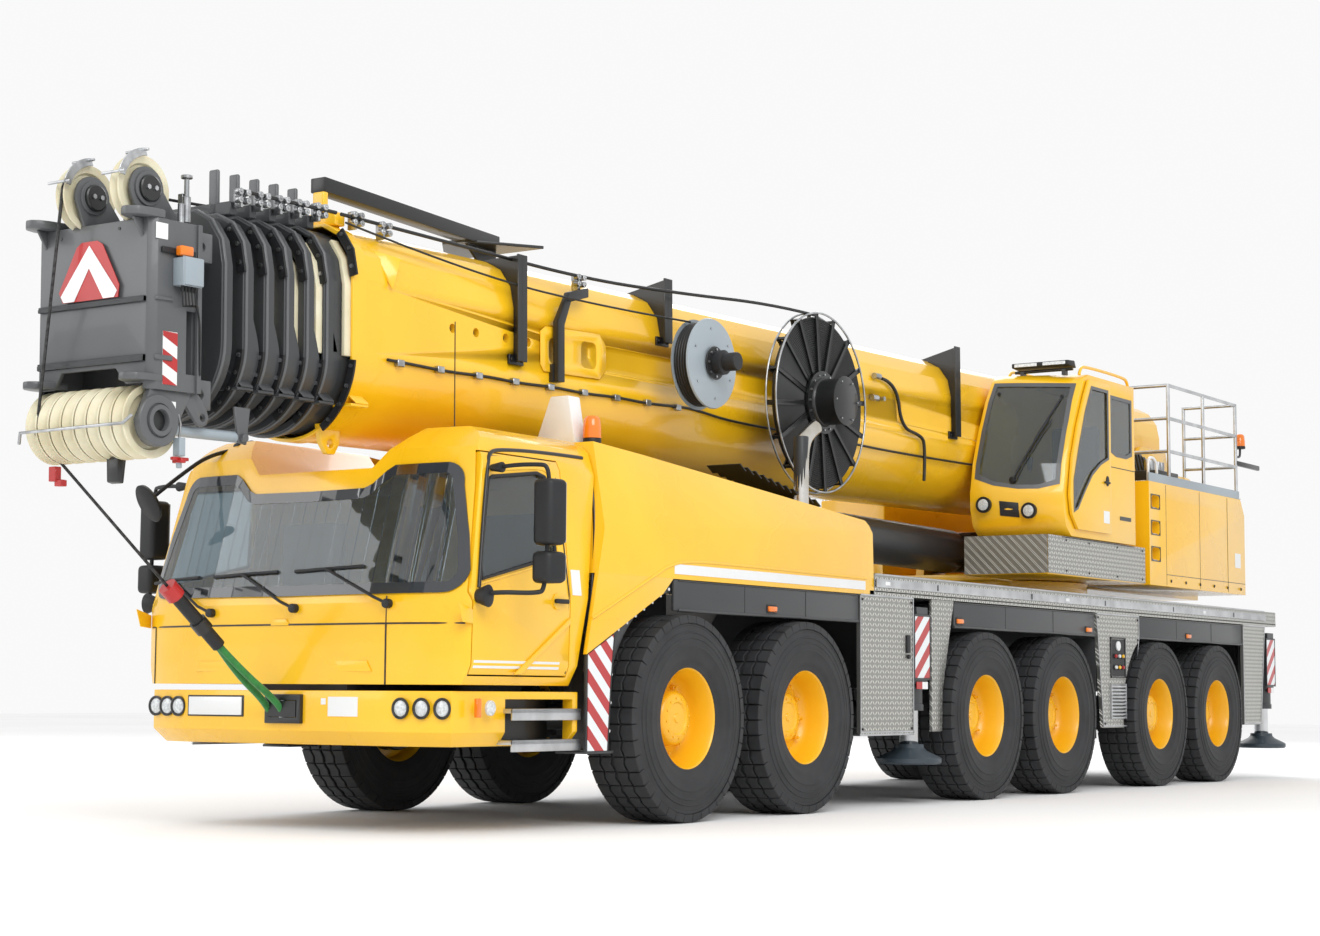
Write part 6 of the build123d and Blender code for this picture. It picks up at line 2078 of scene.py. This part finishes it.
def crane_slant(y):
    """How far the crane cab's bowed front falls back towards its outer side."""
    return 0.30 * max(0.0, (y - 0.62) / 0.80) ** 1.35


def crane_front(y, z):
    """The crane cab's front face at a height."""
    edge = CRANE_PROFILE[1:-1]
    for (x0, z0), (x1, z1) in zip(edge, edge[1:]):
        if z <= z1:
            return x0 + (x1 - x0) * (z - z0) / (z1 - z0) - crane_slant(y)
    return edge[-1][0] - crane_slant(y)


def crane_solid(name, shrink):
    """The cab's closed form, drawn in all round by a distance."""
    xs, zs = [p[0] for p in CRANE_PROFILE], [p[1] for p in CRANE_PROFILE]
    middle_x, middle_z = (min(xs) + max(xs)) / 2, (min(zs) + max(zs)) / 2
    fx, fz = 1 - 2 * shrink / (max(xs) - min(xs)), 1 - 2 * shrink / (max(zs) - min(zs))
    points = [(middle_x + (x - middle_x) * fx, middle_z + (z - middle_z) * fz) for x, z in CRANE_PROFILE]
    ys = [CRANE_INNER_Y + shrink, 0.68, 0.80, 0.92, 1.04, 1.16, 1.28, CRANE_OUTER_Y - shrink]
    obj = outline(name, [(x, ys[0], z) for x, z in points])
    edit(obj)
    bpy.ops.mesh.select_all(action="SELECT")
    for a, b in zip(ys, ys[1:]):
        bpy.ops.mesh.extrude_region_move(TRANSFORM_OT_translate={"value": (0, b - a, 0)})
    outward(obj)
    for vertex in obj.data.vertices:
        if vertex.co.x > -3.3:
            vertex.co.x -= crane_slant(vertex.co.y)
    return obj


def front_window(name, grow):
    """Tool of the front window's outline, drawn out by a distance."""
    g = grow
    points = [(0.625 - g, 2.990 - g), (0.80, 2.920 - g), (1.02, 2.885 - g), (1.20, 2.885 - g),
              (1.370 + g, 2.930 - g), (1.370 + g, 3.55), (1.355 + g, 3.93 + g), (0.625 - g, 3.95 + g)]
    return plate(name, [(-3.30, y, z) for y, z in points], (1.30, 0, 0))


def side_window(name, grow, y0, depth):
    """The door window's outline, drawn out by a distance and pulled out from y0."""
    g = grow
    points = [(-2.700 + g, 2.66 - g), (-2.80, 2.70 - g), (-2.95, 2.86 - g), (-3.15, 3.05 - g),
              (-3.36, 3.17 - g * 0.8),
              (-3.560 - g, 3.24 - g * 0.5), (-3.560 - g, 3.92 + g), (-3.15 + g * 0.6, 3.92 + g),
              (-2.99 + g, 3.66), (-2.83 + g, 3.30),
              (-2.70 + g, 2.96)]
    return plate(name, [(x, y0, z) for x, z in points], (0, depth, 0))


def rear_window(name, grow, y0, depth):
    """The rear side window's outline, drawn out by a distance and pulled out from y0."""
    g = grow
    points = [(-3.70 + g, 3.34 - g), (-3.84, 3.30 - g), (-4.10, 3.30 - g), (-4.24 - g, 3.34 - g),
              (-4.24 - g, 3.89 + g),
              (-3.70 + g, 3.89 + g)]
    return plate(name, [(x, y0, z) for x, z in points], (0, depth, 0))


def pane_of(name, tool, low, high):
    """Curved pane between two drawn-in copies of the cab's form."""
    skin = crane_solid(name, low)
    cut(skin, crane_solid("inner", high))
    cut(skin, tool, "INTERSECT")
    return skin


def crane_cab():
    """Shell with bowed glass, borders, door, wipers, lamps, roof rails, seat and joysticks."""
    shell = crane_solid("crane_cab_shell", 0.0)
    cut(shell, crane_solid("inner", CRANE_WALL))
    cut(shell, front_window("tool", 0.0))
    cut(shell, side_window("tool", 0.03, 1.20, 0.5))
    cut(shell, rear_window("tool", 0.0, 1.20, 0.5))
    soften(shell, 0.012, 3, 40)
    place(shell, M["yellow"], "crane_cab")
    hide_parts("crane_cab")
    glass = pane_of("crane_cab_front_glass", front_window("tool", 0.012), 0.006, 0.014)
    place(glass, M["glass"], "crane_cab")
    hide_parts("crane_cab_glass")
    place(pane_of("crane_cab_rear_glass", rear_window("tool", 0.012, 1.30, 0.3), 0.006, 0.014), M["glass"],
          "crane_cab")
    for name, tool, hole in (("crane_cab_front_border", front_window("tool", 0.010),
                              front_window("hole", -0.030)),
                             ("crane_cab_rear_border", rear_window("tool", 0.010, 1.30, 0.3),
                              rear_window("hole", -0.025, 1.2, 0.5))):
        ring = pane_of(name, tool, -0.003, 0.010)
        cut(ring, hole)
        place(ring, M["grey"], "crane_cab")
    # sliding door with its own window
    points = [(-3.620, 2.500), (-2.800, 2.500), (-2.660, 2.640), (-2.620, 2.820), (-2.690, 3.180),
              (-2.830, 3.520), (-3.000, 3.820), (-3.110, 3.985), (-3.620, 3.985)]
    door = plate("crane_cab_door_skin", [(x, 1.423, z) for x, z in points], (0, 0.030, 0))
    cut(door, side_window("tool", 0.0, 1.30, 0.3))
    soften(door, 0.008, 3, 40)
    place(door, M["yellow"], "crane_cab_door")
    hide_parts("crane_cab_door")
    place(side_window("crane_door_glass", 0.004, 1.434, 0.006), M["glass"], "crane_cab_door")
    border = side_window("crane_door_border", 0.006, 1.450, 0.006)
    cut(border, side_window("hole", -0.026, 1.30, 0.3))
    place(border, M["grey"], "crane_cab_door")
    handle = drum("crane_door_handle_pan", "Y", (-3.52, 1.455, 3.02), 0.050, 0.012, 28)
    narrow = Matrix.Scale(0.75, 4, (1, 0, 0))
    handle.data.transform(Matrix.Translation((-3.52, 0, 0)) @ narrow @ Matrix.Translation((3.52, 0, 0)))
    lever = soften(block("lever", (-3.55, 1.460, 2.99), (-3.42, 1.478, 3.012)), 0.008, 3, 40)
    place(soften(handle, 0.004, 2, 40), M["plastic"], "crane_cab_door")
    lever.name = "crane_door_lever"
    place(lever, M["plastic"], "crane_cab_door")
    place(block("crane_door_blank_label", (-3.56, 1.4525, 2.60), (-3.42, 1.4555, 2.72)), M["white"],
          "crane_cab_door")
    # dark strip on the cab's side: painted shade standing in for an open slot
    place(soften(block("crane_cab_rear_slot", (-4.20, 1.4135, 2.66), (-3.92, 1.4195, 2.70)), 0.002, 1, 40),
          M["dark"], "crane_cab")
    tube_along("crane_cab_belt_seam", [(-4.31, 1.4165, 3.18), (-3.64, 1.4165, 3.18)], 0.004, "black",
               "crane_cab", smooth=False)
    # twin wiper over the bowed glass
    arm = [(crane_front(0.98, 2.96) + 0.030, 0.98, 2.96), (crane_front(1.10, 3.28) + 0.045, 1.10, 3.28),
           (crane_front(1.22, 3.56) + 0.030, 1.22, 3.56)]
    tube_along("crane_wiper_arm", arm, 0.009, "plastic", "crane_cab")
    tube_along("crane_wiper_second_arm", [(a - 0.01, b + 0.03, c) for a, b, c in arm], 0.006, "plastic",
               "crane_cab")
    blade = [(crane_front(1.12 + 0.04 * i, 3.34 + 0.11 * i) + 0.016, 1.12 + 0.04 * i, 3.34 + 0.11 * i)
             for i in range(5)]
    tube_along("crane_wiper_blade", blade, 0.010, "plastic", "crane_cab")
    place(soften(drum("crane_wiper_pivot", "X", (crane_front(0.98, 2.96) + 0.02, 0.98, 2.96), 0.030, 0.06,
                      20), 0.008, 2, 40),
          M["plastic"], "crane_cab")
    for i, (y, z) in enumerate(((0.74, 2.72), (1.14, 2.66)), 1):
        x = crane_front(y, z) + 0.045
        can = turned(f"crane_lamp_can_{i}",
                     [(0.0, -0.05), (0.050, -0.045), (0.074, -0.01), (0.078, 0.030), (0.066, 0.034),
                      (0.0, 0.02)],
                     (x, y, z), "X", steps=32)
        shade(can, 40)
        place(can, M["plastic"], "crane_cab")
        lens = turned(f"crane_lamp_lens_{i}",
                      [(0.0, 0.040), (0.040, 0.036), (0.064, 0.028), (0.064, 0.018), (0.0, 0.018)],
                      (x, y, z), "X", steps=32)
        shade(lens, 60)
        place(lens, M["lens"], "crane_cab")
    vent_ring = ((0.86, 2.62), (1.03, 2.60), (1.03, 2.74), (0.86, 2.76))
    vent = plate("crane_cab_front_vent",
                 [(crane_front(y, z) + 0.002, y, z) for y, z in vent_ring], (0.010, 0, 0))
    place(soften(vent, 0.003, 1, 40), M["plastic"], "crane_cab")
    # roof: lamp bar, grab rails, top clips
    bar = [(-2.99, 0.72, 4.085), (-2.99, 1.33, 4.085)]
    tube_along("roof_lamp_bar", bar, 0.016, "black", "crane_cab", smooth=False)
    lamps, feet = [], []
    for y in (0.80, 1.24):
        feet.append(block("foot", (-3.03, y - 0.02, 4.03), (-2.97, y + 0.02, 4.09)))
    lamps.append(plate("housing", [(-3.10, 0.72, 4.105), (-2.90, 0.72, 4.120), (-2.90, 0.72, 4.165),
                                   (-3.06, 0.72, 4.175)], (0, 0.60, 0)))
    place(soften(fuse("roof_work_lamps", lamps), 0.008, 2, 35), M["plastic"], "crane_cab")
    place(fuse("roof_lamp_feet", feet), M["black"], "crane_cab")
    faces = [block("face", (-2.902, y - 0.12, 4.126), (-2.896, y + 0.12, 4.158)) for y in (0.87, 1.17)]
    place(soften(fuse("roof_work_lamp_lenses", faces), 0.002, 1, 40), M["lens"], "crane_cab")
    for i, y in enumerate((0.62, 1.37), 1):
        rail = [(-3.05, y, 4.03), (-3.07, y, 4.10), (-3.20, y, 4.13), (-4.15, y, 4.13), (-4.26, y, 4.10),
                (-4.28, y, 4.03)]
        tube_along(f"roof_grab_rail_{i}", rail, 0.016, "yellow", "crane_cab")
    clips = []
    for y, z in ((0.70, 3.84), (1.28, 3.80)):
        clips.append(drum("clip", "X", (crane_front(y, z) + 0.008, y, z), 0.018, 0.016, 16))
    place(soften(fuse("front_glass_clips", clips), 0.003, 1, 40), M["plastic"], "crane_cab")
    refined("crane_cab_seat", "cloth", 0.030, 3, 35)
    levers = []
    for y in (0.74, 1.26):
        levers.append(soften(cone("lever", "Z", (-3.26, y, 3.20), 0.022, 0.034, 0.14, 16), 0.010, 2, 40))
    place(fuse("joysticks", levers), M["plastic"], "crane_cab")


def cab_skirt():
    """Chequer-plate side and front of the frame under the crane cab, with its top plate and bolts."""
    z0, z1 = 2.055, 2.415
    faces = [plate("face", [(-4.530, 1.424, z0), (-2.150, 1.424, z0), (-2.150, 1.424, z1),
                            (-4.530, 1.424, z1)], (0, 0.006, 0))]
    corners = [(-2.146, 1.424), (-2.146, 0.566)]
    for (x0, y0), (x1, y1) in zip(corners, corners[1:]):
        faces.append(plate("face", [(x0 + 0.004, y0, z0), (x1 + 0.004, y1, z0), (x1 + 0.004, y1, z1),
                                    (x0 + 0.004, y0, z1)], (0.007, 0.002, 0)))
    place(fuse("cab_frame_tread_faces", faces), M["tread_plate"], "superstructure")
    top = plate("top", [(-4.25, 0.57, 2.400), (-2.19, 0.57, 2.400), (-2.27, 0.62, 2.400),
                        (-2.45, 1.43, 2.400), (-4.25, 1.43, 2.400)],
                (0, 0, 0.016))
    top.name = "cab_frame_top"
    place(soften(top, 0.004, 1, 35), M["aluminium"], "superstructure")
    bolts = []
    for x in (-4.45, -3.8, -3.1, -2.56):
        for z in (2.09, 2.38):
            bolts.append(drum("bolt", "Y", (x, 1.432, z), 0.010, 0.010, 8))
    place(fuse("cab_frame_bolts", bolts), M["black"], "superstructure")


# ------------------------------------------------------------------ superstructure
HOUSING_FOOT, HOUSING_TOP = 2.045, 3.115
STEP_HOLES = (2.300, 2.570, 2.840)
RAIL_HEIGHTS = (4.180, 3.830, 3.480)


def step_hole(z):
    """Tool for one rounded step hole in the housing's side."""
    return soften(block("hole", (-4.905, 1.33, z), (-4.675, 1.60, z + 0.135)), 0.045, 4, 40)


def housing():
    """Covered housings by the boom foot with step holes, seams, plugs, kick plate and tread top."""
    left = plate("left", [(-4.620, 0.70, HOUSING_FOOT), (-4.620, 0.70, HOUSING_TOP),
                          (-7.330, 0.70, HOUSING_TOP),
                          (-7.450, 0.70, 2.940), (-7.450, 0.70, HOUSING_FOOT)], (0, 0.745, 0))
    for z in STEP_HOLES:
        cut(left, step_hole(z))
    left.name = "side_housing_left"
    place(soften(left, 0.018, 3, 35), M["yellow"], "superstructure")
    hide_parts("side_housing")
    right = block("side_housing_right", (-7.450, -1.445, HOUSING_FOOT), (-2.900, -0.700, 2.900))
    inset(right, lambda c, n: n.y < -0.9, 0.05, -0.004)
    place(soften(right, 0.018, 3, 35), M["yellow"], "superstructure")
    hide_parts("side_housing")
    rims, treads = [], []
    for z in STEP_HOLES:
        treads.append(block("tread", (-4.90, 1.335, z), (-4.68, 1.43, z + 0.010)))
        ring = soften(block("rim", (-4.915, 1.4445, z - 0.010), (-4.665, 1.4485, z + 0.145)), 0.002, 1, 40)
        cut(ring, step_hole(z))
        rims.append(ring)
    place(fuse("step_hole_treads", treads), M["aluminium"], "superstructure")
    place(fuse("step_hole_rims", rims), M["black"], "superstructure")
    seams = [block("seam", (x - 0.003, 1.4440, 2.06), (x + 0.003, 1.4465, 3.10))
             for x in (-5.08, -6.05, -6.90)]
    seams += [block("seam", (x - 0.003, -1.4465, 2.06), (x + 0.003, -1.4440, 2.89))
              for x in (-4.1, -5.3, -6.5)]
    seams += [block("seam", (-7.44, 1.4440, 2.165), (-5.08, 1.4465, 2.171))]
    place(fuse("housing_seams", seams), M["black"], "superstructure")
    plugs = [drum("plug", "Y", (-5.2 - 0.42 * i, 1.447, 2.105), 0.016, 0.012, 16) for i in range(6)]
    plugs += [drum("plug", "Y", (-4.1 - 0.5 * i, -1.447, 2.105), 0.016, 0.012, 16) for i in range(6)]
    place(soften(fuse("housing_plugs", plugs), 0.003, 1, 40), M["plastic"], "superstructure")
    label = block("housing_blank_label", (-7.30, 1.4445, 2.34), (-7.12, 1.4470, 2.50))
    place(label, M["white"], "superstructure")
    for name, low, high, edge, finish in (
            ("housing_kick_plate", (-7.30, 1.425, 3.112), (-4.63, 1.445, 3.205), 0.004, "float_grey"),
            ("housing_tread_top", (-7.32, 0.705, 3.112), (-4.63, 1.424, 3.122), 0.002, "tread_plate"),
            ("right_tread_top", (-7.43, -1.440, 2.898), (-2.92, -0.705, 2.908), 0.002, "tread_plate")):
        place(soften(block(name, low, high), edge, 1, 40), M[finish], "superstructure")
    refined("superstructure_frame", "yellow", 0.008, 2, 30)


def railing():
    """Three tube rails on flanged posts round the platform over the left housing, and a grab rail."""
    y, inner, front, rear = 1.405, 0.80, -5.285, -7.310
    r, z0 = 0.019, HOUSING_TOP
    posts, feet = [], []
    for x, at in ((front, y), ((front + rear) / 2, y), (rear, y), (front, inner), (rear, inner)):
        tube = hose("railing_post", [(x, at, z0), (x, at, 4.195)], r, M["aluminium"], "superstructure", 12,
                    False)
        posts.append(tube)
        feet.append(block("foot", (x - 0.05, at - 0.035, z0), (x + 0.05, at + 0.035, z0 + 0.012)))
    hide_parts("platform_railing")
    place(soften(fuse("railing_feet", feet), 0.003, 1, 40), M["aluminium"], "superstructure")
    for z in RAIL_HEIGHTS:
        hose("railing_rail", [(front, inner, z), (front, y, z), (rear, y, z), (rear, inner, z)], r,
             M["aluminium"], "superstructure", 12, False)
    grab = [(-4.74, 1.39, 3.12), (-4.74, 1.39, 3.28), (-4.76, 1.39, 3.36), (-4.86, 1.39, 3.38),
            (-4.96, 1.39, 3.34), (-4.98, 1.39, 3.24), (-4.98, 1.39, 3.12)]
    hose("housing_grab_rail", grab, 0.016, M["white"], "superstructure", 10)


def platform_hydraulics():
    """Valve block, hoses and the yellow boom-foot cylinder behind the railing; beacon and rear bar."""
    base = soften(block("valve_block", (-6.35, 0.78, 3.12), (-5.75, 1.10, 3.34)), 0.012, 2, 40)
    place(base, M["black"], "superstructure")
    valves = [soften(drum("valve", "Z", (-6.26 + 0.105 * i, 0.94, 3.40), 0.030, 0.13, 16), 0.006, 2, 40)
              for i in range(5)]
    place(fuse("valve_spools", valves), M["zinc"], "superstructure")
    for i in range(6):
        x = -6.28 + 0.10 * i
        hose(f"valve_hose_{i + 1}", [(x, 0.86, 3.30), (x + 0.02, 0.80, 3.46 + 0.02 * i),
                                     (x - 0.25, 0.72, 3.50 + 0.02 * i), (x - 0.50, 0.69, 3.30),
                                     (x - 0.60, 0.69, 3.13)], 0.013, M["hose"], "superstructure", 8)
    tank = turned("pivot_lock_cylinder",
                  [(0.0, -0.34), (0.060, -0.34), (0.075, -0.32), (0.075, 0.28), (0.055, 0.30),
                   (0.055, 0.34), (0.0, 0.34)],
                  (-6.85, 0.86, 3.30), "X", steps=28)
    shade(tank, 35)
    place(tank, M["yellow"], "superstructure")
    legs = [block("leg", (-7.10, 0.80, 3.12), (-7.06, 0.92, 3.26)),
            block("leg", (-6.64, 0.80, 3.12), (-6.60, 0.92, 3.26))]
    place(soften(fuse("pivot_lock_cylinder_feet", legs), 0.003, 1, 40), M["yellow"], "superstructure")
    hose("beacon_stalk", [(-7.31, 1.405, 3.60), (-7.40, 1.405, 3.60), (-7.46, 1.405, 3.62),
                          (-7.46, 1.405, 3.70)], 0.014, M["black"],
         "superstructure", 10)
    dome = turned("rear_beacon", [(0.0, 0.14), (0.034, 0.135), (0.050, 0.118), (0.056, 0.06), (0.058, 0.0),
                                  (0.0, 0.0)], (-7.46, 1.405, 3.73),
                  "Z", steps=32)
    shade(dome, 40)
    place(dome, M["orange"], "superstructure")
    foot = soften(drum("rear_beacon_foot", "Z", (-7.46, 1.405, 3.715), 0.06, 0.03, 24), 0.006, 2, 40)
    place(foot, M["plastic"], "superstructure")
    bar = soften(block("rear_sensor_bar", (-8.05, 1.385, 3.50), (-7.30, 1.425, 3.555)), 0.008, 2, 40)
    place(bar, M["black"], "superstructure")


def hoist():
    """Winch drum wound with rope between its flanges."""
    refined("hoist_drum", "grey", 0.008, 2, 30)
    profile = [(0.262, -0.385)]
    for i in range(26):
        y = -0.370 + 0.0296 * i
        profile += [(0.275, y - 0.0148), (0.288, y - 0.007), (0.292, y), (0.288, y + 0.007)]
    profile += [(0.275, 0.385), (0.262, 0.385)]
    coil = turned("hoist_rope_layer", profile, (-7.75, 0, 2.64), "Y", steps=48, closed=True)
    shade(coil, 40)
    place(coil, M["rope"], "hoist_drum")


def luffing():
    """Luffing cylinder: dark barrel and chromed rod."""
    refined("luff_barrel", "dark", 0.010, 2, 30)
    refined("luff_rod", "chrome", 0.006, 2, 30)


crane_cab()
cab_skirt()
housing()
railing()
platform_hydraulics()
hoist()
luffing()


# ------------------------------------------------------------------ stage, light and camera
def studio():
    """A pale floor, a white surround and three large soft lamps."""
    scene = bpy.context.scene
    scene.view_settings.view_transform = "Standard"
    clear()
    bpy.ops.mesh.primitive_plane_add(size=120, location=(0, 0, 0))
    floor = bpy.context.object
    floor.name = "pale_floor"
    settle(floor)
    mat, tree, body, coords = new_material("pale_studio_floor", Roughness=0.9)
    mottle(tree, body, coords, "F6F6F6", "FAFAFA", 0.2, (0.85, 0.95))
    floor.data.materials.append(mat)
    world = bpy.data.worlds.new("white_surround")
    scene.world = world
    world.use_nodes = True
    sky = world.node_tree.nodes["Background"]
    sky.inputs["Color"].default_value = (1.0, 1.0, 1.0, 1.0)
    sky.inputs["Strength"].default_value = 0.95
    for name, spot, size, power in (
            ("key_lamp", (16, 16, 16), 12, 2600), ("fill_lamp", (22, -14, 10), 12, 900),
            ("back_lamp", (-18, -12, 14), 14, 1500)):
        lamp = bpy.data.lights.new(name, "AREA")
        lamp.size = size
        lamp.energy = power
        obj = bpy.data.objects.new(name, lamp)
        scene.collection.objects.link(obj)
        obj.location = spot
        obj.rotation_euler = (Vector((0, 0, 1.5)) - Vector(spot)).to_track_quat("-Z", "Y").to_euler()


def camera():
    """The camera stands ahead of the left front corner, just under a metre up."""
    yaw, pitch, roll = (math.radians(a) for a in (213.637, 5.5416, 0.3553))
    forward = Vector((math.cos(pitch) * math.cos(yaw), math.cos(pitch) * math.sin(yaw), math.sin(pitch)))
    right = forward.cross(Vector((0, 0, 1))).normalized()
    up = right.cross(forward)
    side = math.cos(roll) * right + math.sin(roll) * up
    top = math.cos(roll) * up - math.sin(roll) * right
    data = bpy.data.cameras.new("camera")
    data.lens = 63.54
    data.sensor_width = 36
    data.clip_end = 200
    obj = bpy.data.objects.new("camera", data)
    bpy.context.scene.collection.objects.link(obj)
    place_matrix = Matrix((side, top, -forward)).transposed().to_4x4()
    obj.matrix_world = Matrix.Translation((18.003, 10.465, 0.900)) @ place_matrix
    bpy.context.scene.camera = obj


studio()
camera()
